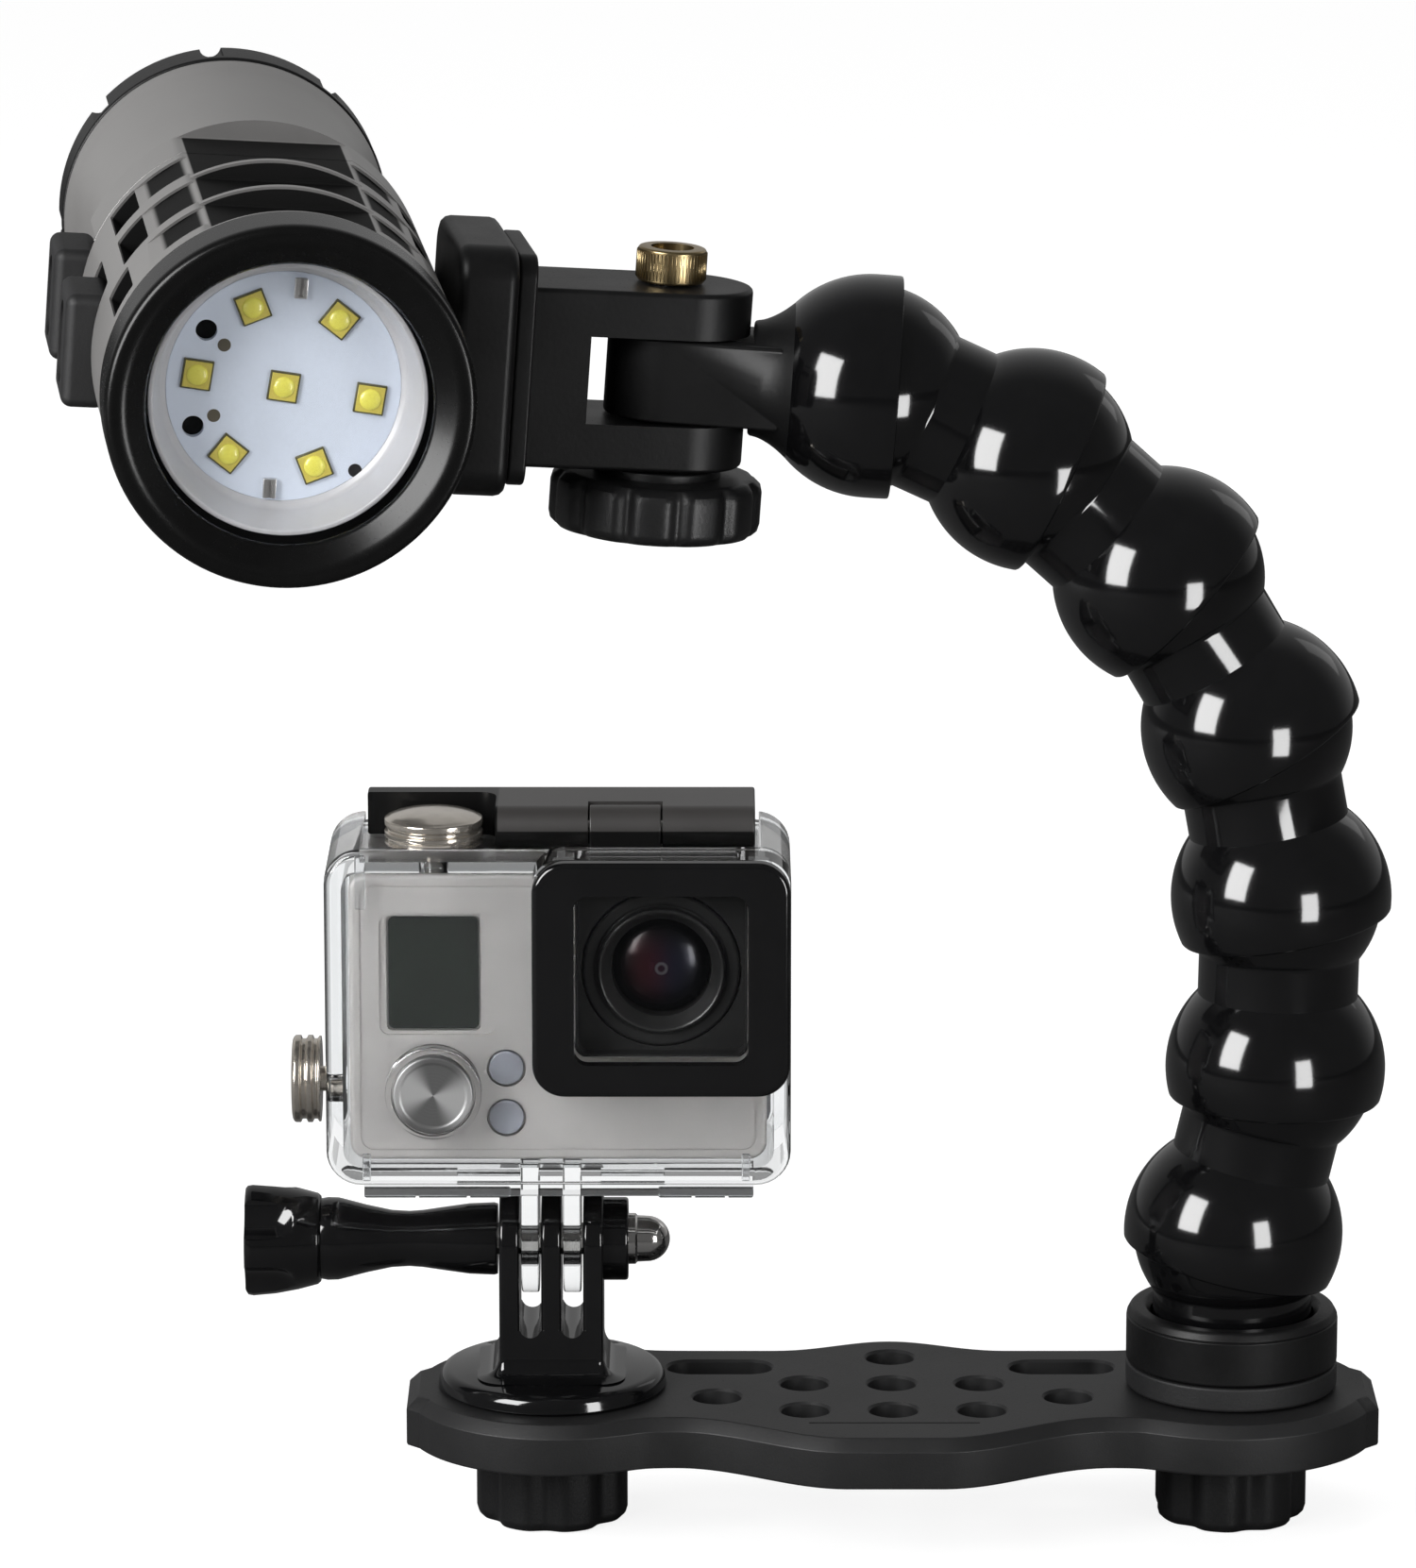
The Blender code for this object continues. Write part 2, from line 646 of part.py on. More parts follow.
def make_mount(root):
    """The camera mount: a flared disc with three prongs, its insert and its captive nut."""
    pivot = frame("camera_mount", root, (-STATION_X, 0, TRAY_TOP_Z))
    low, top = FIT_GAP, MOUNT_DISC_THICKNESS
    width = PRONG_COUNT * PRONG_THICKNESS + (PRONG_COUNT - 1) * PRONG_GAP
    flare = width / 2 + MOUNT_FLARE
    disc = [(0, top + FIT_GAP), (MOUNT_DISC_RADIUS - MOUNT_DISC_ROUND, top + FIT_GAP)]
    disc += [(MOUNT_DISC_RADIUS - MOUNT_DISC_ROUND * (1 - sin(a)),
              top + FIT_GAP - MOUNT_DISC_ROUND * (1 - cos(a)))
             for a in (radians(45), radians(90))]
    disc += [(MOUNT_DISC_RADIUS, low), (0, low)]
    base = turned("base", disc, ROUND_STEPS)
    link_part(base, "camera_mount_base", GLOSS_BLACK, pivot)
    join(base, side_plate("prongs", prong_profile(top / 2, PRONG_RADIUS), -width / 2, width / 2))
    skirt = [(0, top + MOUNT_FLARE), (width / 3, top + MOUNT_FLARE)]
    skirt += [(flare - MOUNT_FLARE * sin(a), top + MOUNT_FLARE * (1 - cos(a)))
              for a in (radians(75), radians(50), radians(25), 0)]
    skirt += [(flare, top / 2), (0, top / 2)]
    join(base, turned("skirt", skirt, SMALL_STEPS))
    boss = rod("nut_boss", NUT_BOSS_RADIUS, width / 2 - PRONG_THICKNESS / 2,
               width / 2 + NUT_BOSS_LENGTH, SMALL_STEPS)
    join(base, moved(boss, (0, 0, TILT_AXIS_HEIGHT), (0, pi / 2, 0)))
    for i in range(PRONG_COUNT - 1):
        start = -width / 2 + (i + 1) * PRONG_THICKNESS + i * PRONG_GAP
        reach = PRONG_RADIUS + CUT_OVERRUN
        ceiling = TILT_AXIS_HEIGHT + reach
        cut(base, block("gap", (start, -reach, PRONG_SLOT_FLOOR),
                        (start + PRONG_GAP, reach, ceiling)))
    bore = rod("bore", PIVOT_BORE_RADIUS, -width, width, TINY_STEPS)
    cut(base, moved(bore, (0, 0, TILT_AXIS_HEIGHT), (0, pi / 2, 0)))
    pocket = nut_prism(NUT_ACROSS_FLATS + 2 * FIT_GAP, width / 2 + NUT_BOSS_LENGTH - NUT_THICKNESS,
                       width / 2 + NUT_BOSS_LENGTH + CUT_OVERRUN)
    cut(base, moved(pocket, (0, 0, TILT_AXIS_HEIGHT), (0, pi / 2, 0)))
    cut(base, rod("insert_bore", INSERT_RADIUS + FIT_GAP, -CUT_OVERRUN,
                  INSERT_HEIGHT + 2 * FIT_GAP))
    insert = ring("insert", INSERT_RADIUS, STUD_RADIUS + FIT_GAP, low, INSERT_HEIGHT + FIT_GAP,
                  SMALL_STEPS)
    link_part(insert, "mount_thread_insert", BRASS, pivot)
    make_acorn_nut(pivot, width / 2 + NUT_BOSS_LENGTH)
    return pivot, width


def nut_prism(across_flats, low, high):
    radius = across_flats / 2 / cos(pi / 6)
    outline = [(radius * cos(pi * i / 3), radius * sin(pi * i / 3)) for i in range(6)]
    return extruded("hexagon", outline, low, high)


def make_acorn_nut(pivot, face):
    """The steel dome nut that the thumb screw runs into, held in its hexagon pocket."""
    inner = face - NUT_THICKNESS + FIT_GAP
    nut = nut_prism(NUT_ACROSS_FLATS, inner, face)
    moved(nut, (0, 0, TILT_AXIS_HEIGHT), (0, pi / 2, 0))
    link_part(nut, "acorn_nut", STEEL, pivot)
    tip = face + NUT_DOME_LENGTH
    straight = tip - NUT_DOME_RADIUS
    dome = [(NUT_DOME_RADIUS * sin(a), straight + NUT_DOME_RADIUS * cos(a))
            for a in (0, radians(30), radians(60), radians(90))]
    dome += [(NUT_DOME_RADIUS, inner + NUT_THICKNESS / 2), (0, inner + NUT_THICKNESS / 2)]
    join(nut, moved(turned("dome", dome, TINY_STEPS), (0, 0, TILT_AXIS_HEIGHT), (0, pi / 2, 0)))
    bore = rod("nut_bore", PIVOT_BOLT_RADIUS + FIT_GAP, inner - CUT_OVERRUN, straight, TINY_STEPS)
    cut(nut, moved(bore, (0, 0, TILT_AXIS_HEIGHT), (0, pi / 2, 0)))


def make_thumb_screw(mount, width):
    """The long turned handle and its steel bolt, in a frame whose Z runs along the bolt."""
    pivot = frame("thumb_screw", mount, (0, 0, TILT_AXIS_HEIGHT), (0, pi / 2, 0))
    face = -width / 2 - FIT_GAP
    end = face - THUMB_HANDLE_LENGTH
    head_end = end + THUMB_HEAD_LENGTH
    head_round = THUMB_HEAD_RADIUS / 6
    body = head_end - face
    radii = (THUMB_TIP_RADIUS, THUMB_WAIST_RADIUS, THUMB_WAIST_RADIUS, THUMB_COLLAR_RADIUS)
    flare = head_end - THUMB_HEAD_LENGTH * THUMB_HEAD_FLARE_SHARE
    outline = [(0, face), (THUMB_TIP_RADIUS, face)]
    outline += [(radius, face + body * share) for radius, share in zip(radii, THUMB_BODY_SHARES)]
    outline += [(THUMB_COLLAR_RADIUS, head_end),
                (THUMB_HEAD_RADIUS * THUMB_HEAD_FOOT_SHARE, head_end),
                (THUMB_HEAD_RADIUS, flare), (THUMB_HEAD_RADIUS, end + head_round),
                (THUMB_HEAD_RADIUS - head_round, end), (0, end)]
    handle = turned("handle", outline, SMALL_STEPS)
    link_part(handle, "thumb_screw_handle", GLOSS_BLACK, pivot)
    cut_scallops(handle, end, flare)
    cut(handle, rod("foot_bore", PIVOT_BOLT_RADIUS + FIT_GAP, face - THUMB_BOLT_FOOT - FIT_GAP,
                    face + CUT_OVERRUN, TINY_STEPS))
    tip = width / 2 + NUT_BOSS_LENGTH + FIT_GAP
    bolt = rod("bolt", PIVOT_BOLT_RADIUS, face - THUMB_BOLT_FOOT, tip, TINY_STEPS)
    link_part(bolt, "thumb_screw_bolt", STEEL, pivot)


def cut_scallops(handle, end, flare):
    """Round finger grooves along the head that run out towards its collar."""
    radius, depth = THUMB_SCALLOP_RADIUS, THUMB_SCALLOP_DEPTH
    place = THUMB_HEAD_RADIUS + radius - depth
    groove = [(0, flare + radius), (radius - depth, flare + radius), (radius, flare),
              (radius, end - CUT_OVERRUN), (0, end - CUT_OVERRUN)]
    for i in range(THUMB_SCALLOPS):
        angle = 2 * pi * i / THUMB_SCALLOPS
        tool = turned("scallop", groove, TINY_STEPS)
        cut(handle, moved(tool, (place * cos(angle), place * sin(angle), 0), (0, 0, angle)))


class HousingPlaces:
    """Places that the housing, camera, door, latch and buttons share, from the tilt axis."""

    centre_x = HOUSING_OFFSET_X
    floor = HOUSING_LIFT
    ceiling = HOUSING_LIFT + HOUSING_HEIGHT
    middle_z = HOUSING_LIFT + HOUSING_HEIGHT / 2
    front = HOUSING_FRONT_Y
    back = HOUSING_FRONT_Y + HOUSING_DEPTH
    left = HOUSING_OFFSET_X - HOUSING_WIDTH / 2
    recess = ceiling - TOP_RECESS_DEPTH
    bay_width = HOUSING_WIDTH - 2 * HOUSING_WALL
    bay_height = HOUSING_HEIGHT - HOUSING_WALL - HOUSING_TOP_WALL
    bay_middle_z = floor + HOUSING_WALL + bay_height / 2
    lens_x = centre_x + HOUSING_WIDTH * LENS_BOX_PLACE_SHARE
    lens_z = ceiling - LENS_BOX_DROP
    port_front = front - LENS_BOX_REACH
    camera_width = bay_width - 2 * CAMERA_SIDE_GAP
    camera_height = bay_height - CAMERA_FLOOR_GAP - CAMERA_TOP_GAP
    camera_depth = HOUSING_DEPTH - HOUSING_WALL - CAMERA_FRONT_GAP - CAMERA_BACK_GAP
    camera_floor = floor + HOUSING_WALL + CAMERA_FLOOR_GAP
    camera_middle_z = camera_floor + camera_height / 2
    camera_front = front + HOUSING_WALL + CAMERA_FRONT_GAP
    hinge_y = back + DOOR_HINGE_RADIUS + FIT_GAP
    hinge_z = floor
    button_x = centre_x + HOUSING_WIDTH * BUTTON_COLUMN_SHARE
    shutter_y = front + SHUTTER_SETBACK
    mode_z = camera_middle_z + camera_height * MODE_LIFT_SHARE
    side_z = camera_middle_z + camera_height * SIDE_LIFT_SHARE
    display_z = camera_middle_z + camera_height * DISPLAY_LIFT_SHARE
    window_x = centre_x + HOUSING_WIDTH * WINDOW_PLACE_SHARE
    latch_length = HOUSING_WIDTH - 2 * LATCH_END_MARGIN
    latch_front = front + LATCH_SETBACK
    latch_x = centre_x + LATCH_OFFSET_X
    latch_y = latch_front + LATCH_HEIGHT / 2
    latch_z = recess + FIT_GAP + LATCH_HEIGHT / 2
    notch_length = (button_x + SHUTTER_RADIUS + LATCH_NOTCH_SIDE_GAP
                    - latch_x + latch_length / 2)
    notch_back = shutter_y + SHUTTER_RADIUS + LATCH_NOTCH_BACK_GAP
    lug_x = notch_length / 2


def front_plate(name, outline, low, high, x=0.0, z=0.0):
    """Extrudes an outline of (x, z) points along Y between two places."""
    plate = extruded(name, outline, -high, -low)
    plate.data.transform(Matrix.Rotation(pi / 2, 4, "X"))
    plate.data.transform(Matrix.Translation((x, 0, z)))
    return plate


def make_housing_shell(pivot):
    """The clear front shell with its lens box, button bores and two mounting fingers."""
    p = HousingPlaces
    outer = rounded_rectangle(HOUSING_WIDTH, HOUSING_HEIGHT, HOUSING_CORNER)
    shell = front_plate("shell", outer, p.front, p.back, p.centre_x, p.middle_z)
    round_front_rim(shell, p.front, HOUSING_EDGE_ROUND)
    link_part(shell, "housing_front_shell", CLEAR, pivot)
    lens = rounded_rectangle(LENS_BOX_WIDTH, LENS_BOX_HEIGHT, LENS_BOX_CORNER)
    join(shell, front_plate("lens_box", lens, p.port_front, p.front + HOUSING_WALL / 3,
                            p.lens_x, p.lens_z))
    rail_front = p.front + HOUSING_WALL
    half = HOUSING_WIDTH / 2 - FLOOR_RAIL_MARGIN
    join(shell, block("floor_rail", (p.centre_x - half, rail_front, p.floor - FLOOR_RAIL_HEIGHT),
                      (p.centre_x + half, rail_front + FLOOR_RAIL_WIDTH,
                       p.floor + HOUSING_WALL / 2)))
    join_fingers(shell)
    inner = MODE_RADIUS + SLIDE_GAP
    shroud = ring("mode_shroud", inner + MODE_SHROUD_WALL, inner, -HOUSING_WALL / 2,
                  MODE_SHROUD_HEIGHT, SMALL_STEPS)
    join(shell, moved(shroud, (p.button_x, p.front, p.mode_z), (pi / 2, 0, 0)))
    foot_half = DOOR_HINGE_RADIUS * DOOR_FOOT_SHARE
    half = DOOR_KNUCKLE_LENGTH * DOOR_FOOT_SHARE / 2
    join(shell, block("hinge_foot", (p.centre_x - half, p.back - HOUSING_WALL,
                                     p.floor - foot_half),
                      (p.centre_x + half, p.hinge_y, p.floor + foot_half)))
    knuckle = rod("knuckle", DOOR_HINGE_RADIUS, -DOOR_KNUCKLE_LENGTH / 2, DOOR_KNUCKLE_LENGTH / 2,
                  TINY_STEPS)
    join(shell, moved(knuckle, (p.centre_x, p.hinge_y, p.hinge_z), (0, pi / 2, 0)))
    cut_housing_shell(shell)
    return shell


def round_front_rim(plate, y, width):
    """Rounds the rim of a plate whose flat face stands at one place along Y."""
    work = bmesh.new()
    work.from_mesh(plate.data)
    level = [e for e in work.edges
             if all(abs(v.co.y - y) < WELD_DISTANCE * 10 for v in e.verts)
             and e.calc_face_angle(0.0) > radians(45)]
    bmesh.ops.bevel(work, geom=level, offset=width, segments=1, profile=0.5, affect="EDGES")
    work.to_mesh(plate.data)
    work.free()
    return smooth(plate)


def finger_places():
    """Where the two fingers start, centred in the gaps between the three prongs."""
    width = PRONG_COUNT * PRONG_THICKNESS + (PRONG_COUNT - 1) * PRONG_GAP
    return [-width / 2 + (i + 1) * PRONG_THICKNESS + i * PRONG_GAP
            + (PRONG_GAP - FINGER_THICKNESS) / 2 for i in range(PRONG_COUNT - 1)]


def join_fingers(shell):
    """The fingers hang from the shell's floor and end round about the pivot bolt."""
    p = HousingPlaces
    round_end = arc((0, 0), PRONG_RADIUS, pi, 2 * pi, 12)
    outline = round_end + [(PRONG_RADIUS, p.floor + HOUSING_WALL / 2),
                           (-PRONG_RADIUS, p.floor + HOUSING_WALL / 2)]
    for start in finger_places():
        join(shell, side_plate("finger", outline, start, start + FINGER_THICKNESS))


def cut_housing_shell(shell):
    """Opens the camera bay, the lens port, the bores for the stems and the pivot bolt."""
    p = HousingPlaces
    wall = HOUSING_WALL
    bay = rounded_rectangle(p.bay_width, p.bay_height, HOUSING_CORNER - wall)
    cut(shell, front_plate("camera_bay", bay, p.front + wall, p.back + CUT_OVERRUN,
                           p.centre_x, p.bay_middle_z))
    half = p.latch_length / 2 + TOP_RECESS_MARGIN
    cut(shell, block("top_recess", (p.latch_x - half, p.front + TOP_RECESS_FRONT, p.recess),
                     (p.latch_x + half, p.back + CUT_OVERRUN, p.ceiling + CUT_OVERRUN)))
    join(shell, latch_lug())
    port = rounded_rectangle(PORT_OPENING, PORT_OPENING, PORT_CORNER)
    cut(shell, front_plate("port", port, p.port_front - CUT_OVERRUN, p.front + wall + CUT_OVERRUN,
                           p.lens_x, p.lens_z))
    size = PORT_GLASS_SIZE + 2 * FIT_GAP
    seat = rounded_rectangle(size, size, PORT_CORNER)
    cut(shell, front_plate("glass_seat", seat, p.port_front - CUT_OVERRUN,
                           p.port_front + PORT_GLASS_THICKNESS + FIT_GAP, p.lens_x, p.lens_z))
    stem = STEM_RADIUS + SLIDE_GAP
    for place, turn in (((p.button_x, p.front + wall, p.mode_z), (pi / 2, 0, 0)),
                        ((p.button_x, p.shutter_y, p.recess - wall), (0, 0, 0)),
                        ((p.left + wall, 0, p.side_z), (0, -pi / 2, 0))):
        bore = rod("stem_bore", stem, -CUT_OVERRUN, wall + CUT_OVERRUN, TINY_STEPS)
        cut(shell, moved(bore, place, turn))
    reach = HOUSING_WIDTH / 2
    bolt = rod("bolt_bore", PIVOT_BORE_RADIUS, -reach, reach, TINY_STEPS)
    cut(shell, moved(bolt, turn=(0, pi / 2, 0)))
    for radius, half, place in ((DOOR_HINGE_PIN_RADIUS, DOOR_HINGE_LENGTH / 2,
                                 (p.centre_x, p.hinge_y, p.hinge_z)),
                                (LATCH_PIN_RADIUS, LATCH_PIN_LENGTH / 2,
                                 (p.latch_x + p.lug_x, p.latch_y, p.latch_z))):
        pin = rod("pin_bore", radius + FIT_GAP, -half, half, TINY_STEPS)
        cut(shell, moved(pin, place, (0, pi / 2, 0)))


def latch_lug():
    """The round-topped lug that stands in the top recess and carries the latch's pin."""
    p = HousingPlaces
    top = arc((p.latch_y, p.latch_z), LATCH_LUG_RADIUS, 0, pi, 8)
    foot = p.recess - TOP_RECESS_DEPTH / 2
    outline = [(p.latch_y - LATCH_LUG_RADIUS, foot), (p.latch_y + LATCH_LUG_RADIUS, foot)] + top
    middle = p.latch_x + p.lug_x
    return side_plate("latch_lug", outline, middle - LATCH_LUG_LENGTH / 2,
                      middle + LATCH_LUG_LENGTH / 2)


def make_port(pivot):
    """The flat port glass and the black frame that holds it on the lens box."""
    p = HousingPlaces
    glass = rounded_rectangle(PORT_GLASS_SIZE, PORT_GLASS_SIZE, PORT_CORNER)
    link_part(front_plate("glass", glass, p.port_front, p.port_front + PORT_GLASS_THICKNESS,
                          p.lens_x, p.lens_z), "port_glass", CLEAR, pivot)
    outer = rounded_rectangle(LENS_BOX_WIDTH, LENS_BOX_HEIGHT, LENS_BOX_CORNER)
    back = p.port_front - FIT_GAP
    rim = front_plate("rim", outer, back - PORT_FRAME_THICKNESS, back, p.lens_x, p.lens_z)
    round_front_rim(rim, back - PORT_FRAME_THICKNESS, PORT_FRAME_THICKNESS / 3)
    link_part(rim, "port_frame", SATIN_BLACK, pivot)
    opening = rounded_rectangle(PORT_OPENING, PORT_OPENING, PORT_CORNER)
    cut(rim, front_plate("opening", opening, back - PORT_FRAME_THICKNESS - CUT_OVERRUN,
                         back + CUT_OVERRUN, p.lens_x, p.lens_z))


def make_camera(pivot):
    """The camera inside the housing: body, lens ring, lens, display and two windows."""
    p = HousingPlaces
    face = p.camera_front
    outline = rounded_rectangle(p.camera_width, p.camera_height, CAMERA_EDGE, 3)
    body = front_plate("body", outline, face, face + p.camera_depth, p.centre_x,
                       p.camera_middle_z)
    link_part(body, "camera_body", SILVER, pivot)
    half_width, half_height = DISPLAY_WIDTH / 2, DISPLAY_HEIGHT / 2
    low = (p.button_x - half_width, face, p.display_z - half_height)
    high = (p.button_x + half_width, face + DISPLAY_DEPTH, p.display_z + half_height)
    gap = Vector((FIT_GAP, FIT_GAP, FIT_GAP))
    lead = Vector((0, CUT_OVERRUN, 0))
    cut(body, block("display_seat", Vector(low) - gap - lead, Vector(high) + gap))
    link_part(block("display", low, high), "camera_display", DISPLAY, pivot)
    for label, share in zip(("upper", "lower"), WINDOW_LIFT_SHARES):
        place = (p.window_x, face, p.camera_middle_z + p.camera_height * share)
        seat = rod("window_seat", WINDOW_RADIUS + FIT_GAP, -DISPLAY_DEPTH - FIT_GAP, CUT_OVERRUN,
                   TINY_STEPS)
        cut(body, moved(seat, place, (pi / 2, 0, 0)))
        window = rod("window", WINDOW_RADIUS, -DISPLAY_DEPTH, 0, TINY_STEPS)
        link_part(moved(window, place, (pi / 2, 0, 0)), label + "_window", BLUE_GLASS, pivot)
    make_camera_lens(pivot, (p.lens_x, face, p.lens_z))


def make_camera_lens(pivot, place):
    """A stepped ring in front of the camera's face and the domed lens glass in it."""
    reach, step = CAMERA_LENS_REACH, CAMERA_LENS_REACH / 5
    bore = CAMERA_GLASS_RADIUS + FIT_GAP
    profile = [(CAMERA_LENS_STEP_RADIUS, reach), (CAMERA_LENS_STEP_RADIUS, reach - step),
               (CAMERA_LENS_RADIUS, reach - step), (CAMERA_LENS_RADIUS, FIT_GAP), (bore, FIT_GAP),
               (bore, reach)]
    ring_piece = turned("lens_ring", profile, SMALL_STEPS, closed=True)
    link_part(moved(ring_piece, place, (pi / 2, 0, 0)), "camera_lens_ring", SATIN_BLACK, pivot)
    radius, crown = CAMERA_GLASS_RADIUS, CAMERA_GLASS_RADIUS / 3
    across, down = CAMERA_GLASS_SHARES
    glass = [(0, reach - step), (radius * across, reach - step - crown * down),
             (radius, reach - step - crown), (radius, FIT_GAP), (0, FIT_GAP)]
    lens = turned("lens", glass, SMALL_STEPS)
    link_part(moved(lens, place, (pi / 2, 0, 0)), "camera_lens", DARK_GLASS, pivot)


def make_gasket_and_pins(pivot):
    """The seal round the camera bay, and the pins that the door and the latch turn on."""
    p = HousingPlaces
    corner = HOUSING_CORNER - HOUSING_WALL - FIT_GAP
    width, height = p.bay_width - 2 * FIT_GAP, p.bay_height - 2 * FIT_GAP
    outer = rounded_rectangle(width, height, corner, 3)
    back = p.back
    seal = front_plate("seal", outer, back - GASKET_THICKNESS, back, p.centre_x, p.bay_middle_z)
    link_part(seal, "housing_gasket", SEAL_GREY, pivot)
    inner = rounded_rectangle(width - 2 * GASKET_WIDTH, height - 2 * GASKET_WIDTH,
                              corner - GASKET_WIDTH, 3)
    cut(seal, front_plate("seal_bore", inner, back - GASKET_THICKNESS - CUT_OVERRUN,
                          back + CUT_OVERRUN, p.centre_x, p.bay_middle_z))
    reach = DOOR_HINGE_LENGTH / 2
    pin = rod("pin", DOOR_HINGE_PIN_RADIUS, -reach, reach, TINY_STEPS)
    link_part(moved(pin, (p.centre_x, p.hinge_y, p.hinge_z), (0, pi / 2, 0)), "door_hinge_pin",
              STEEL, pivot)
    reach = LATCH_PIN_LENGTH / 2 - FIT_GAP
    pin = rod("pin", LATCH_PIN_RADIUS, -reach, reach, TINY_STEPS)
    link_part(moved(pin, (p.latch_x + p.lug_x, p.latch_y, p.latch_z), (0, pi / 2, 0)),
              "latch_hinge_pin", STEEL, pivot)


def make_door(pivot):
    """The clear back door, hinged on a pin along the housing's lower back edge."""
    p = HousingPlaces
    hinge = frame("housing_door", pivot, (p.centre_x, p.hinge_y, p.hinge_z))
    bottom, top = DOOR_HINGE_RADIUS + FIT_GAP, HOUSING_HEIGHT - TOP_RECESS_DEPTH
    outline = rounded_rectangle(HOUSING_WIDTH, top - bottom, HOUSING_CORNER)
    near = p.back + FIT_GAP - p.hinge_y
    lift = (top + bottom) / 2
    door = front_plate("door", outline, near, near + DOOR_THICKNESS, 0, lift)
    link_part(door, "housing_back_door", CLEAR, hinge)
    side = (DOOR_HINGE_LENGTH - DOOR_KNUCKLE_LENGTH) / 2 - FIT_GAP
    for direction in (-1, 1):
        middle = direction * (DOOR_KNUCKLE_LENGTH / 2 + FIT_GAP + side / 2)
        leaf = block("leaf", (middle - side / 2, near + DOOR_THICKNESS / 3, 0),
                     (middle + side / 2, near + DOOR_THICKNESS, DOOR_HINGE_RADIUS * 3))
        join(door, leaf)
        knuckle = rod("knuckle", DOOR_HINGE_RADIUS, -side / 2, side / 2, TINY_STEPS)
        join(door, moved(knuckle, (middle, 0, 0), (0, pi / 2, 0)))
    gap = DOOR_KNUCKLE_LENGTH / 2 + FIT_GAP
    reach = DOOR_HINGE_RADIUS + FIT_GAP
    cut(door, block("knuckle_gap", (-gap, near - CUT_OVERRUN, -reach),
                    (gap, reach, reach)))
    pin = rod("pin_bore", DOOR_HINGE_PIN_RADIUS + FIT_GAP, -DOOR_HINGE_LENGTH, DOOR_HINGE_LENGTH,
              TINY_STEPS)
    cut(door, moved(pin, turn=(0, pi / 2, 0)))
    return hinge


def make_latch(pivot):
    """The latch in the top recess: a round-nosed beam, notched for the shutter, and a strap."""
    p = HousingPlaces
    hinge = frame("housing_latch", pivot, (p.latch_x, p.latch_y, p.latch_z))
    half, nose = p.latch_length / 2, LATCH_HEIGHT / 2
    beam_end = p.latch_front + LATCH_TOP_DEPTH - p.latch_y
    end = p.back + FIT_GAP + DOOR_THICKNESS - p.latch_y
    strap_top = LATCH_STRAP_THICKNESS - nose
    outline = arc((0, 0), nose, pi / 2, 3 * pi / 2, 8)
    outline += [(end, -nose), (end, strap_top), (beam_end, strap_top), (beam_end, nose)]
    bar = side_plate("bar", outline, -half, half)
    link_part(bar, "housing_latch_bar", SATIN_BLACK, hinge)
    cut(bar, block("notch", (-half - LATCH_NOTCH_CORNER, -nose - CUT_OVERRUN, -nose - CUT_OVERRUN),
                   (-half + p.notch_length, p.notch_back - p.latch_y, nose + CUT_OVERRUN),
                   LATCH_NOTCH_CORNER / 2, 2, "Z"))
    reach = LATCH_LUG_LENGTH / 2 + FIT_GAP
    clear = LATCH_LUG_RADIUS + SLIDE_GAP
    cut(bar, block("lug_slot", (p.lug_x - reach, -nose - CUT_OVERRUN, -nose - CUT_OVERRUN),
                   (p.lug_x + reach, clear, nose + CUT_OVERRUN)))
    half = LATCH_PIN_LENGTH / 2
    pin = rod("pin_bore", LATCH_PIN_RADIUS + FIT_GAP, -half, half, TINY_STEPS)
    cut(bar, moved(pin, (p.lug_x, 0, 0), (0, pi / 2, 0)))
    return hinge


def make_button(name, pivot, place, turn, radius, cap, stem_length, finish):
    """A push button: a slightly domed cap and the stem that reaches in to the camera."""
    slide = frame(name + "_slide", pivot, place, turn)
    rise = cap * BUTTON_RISE_SHARE
    profile = [(0, cap), (radius * BUTTON_CROWN_SHARE, cap), (radius - rise, cap - rise / 2),
               (radius, cap - rise), (radius, 0), (STEM_RADIUS, 0),
               (STEM_RADIUS, -stem_length), (0, -stem_length)]
    button = turned(name, profile, SMALL_STEPS)
    return link_part(button, name, finish, slide)


def make_housing_buttons(pivot):
    """Shutter on top, mode in front and one on the left, each with its stem through a wall."""
    p = HousingPlaces
    wall = HOUSING_WALL
    lift = SHUTTER_TRAVEL + FIT_GAP
    reach = p.recess - p.camera_floor - p.camera_height
    make_button("shutter_button", pivot, (p.button_x, p.shutter_y, p.recess + lift), (0, 0, 0),
                SHUTTER_RADIUS, SHUTTER_CAP, reach, CHAMPAGNE)
    lift = MODE_TRAVEL + FIT_GAP
    make_button("mode_button", pivot, (p.button_x, p.front - lift, p.mode_z), (pi / 2, 0, 0),
                MODE_RADIUS, MODE_CAP, lift + wall - SLIDE_GAP - MODE_TRAVEL + CAMERA_FRONT_GAP,
                STEEL)
    lift = SIDE_TRAVEL + FIT_GAP
    reach = lift + wall + CAMERA_SIDE_GAP - SIDE_TRAVEL - SLIDE_GAP
    make_button("side_button", pivot, (p.left - lift, 0, p.side_z), (0, -pi / 2, 0),
                SIDE_RADIUS, SIDE_CAP, reach, CHAMPAGNE)


def sphere_arc(radius, start, stop, count):
    """Profile points on a sphere, by angle from its upper pole."""
    return [(radius * sin(start + (stop - start) * i / count),
             radius * cos(start + (stop - start) * i / count)) for i in range(count + 1)]


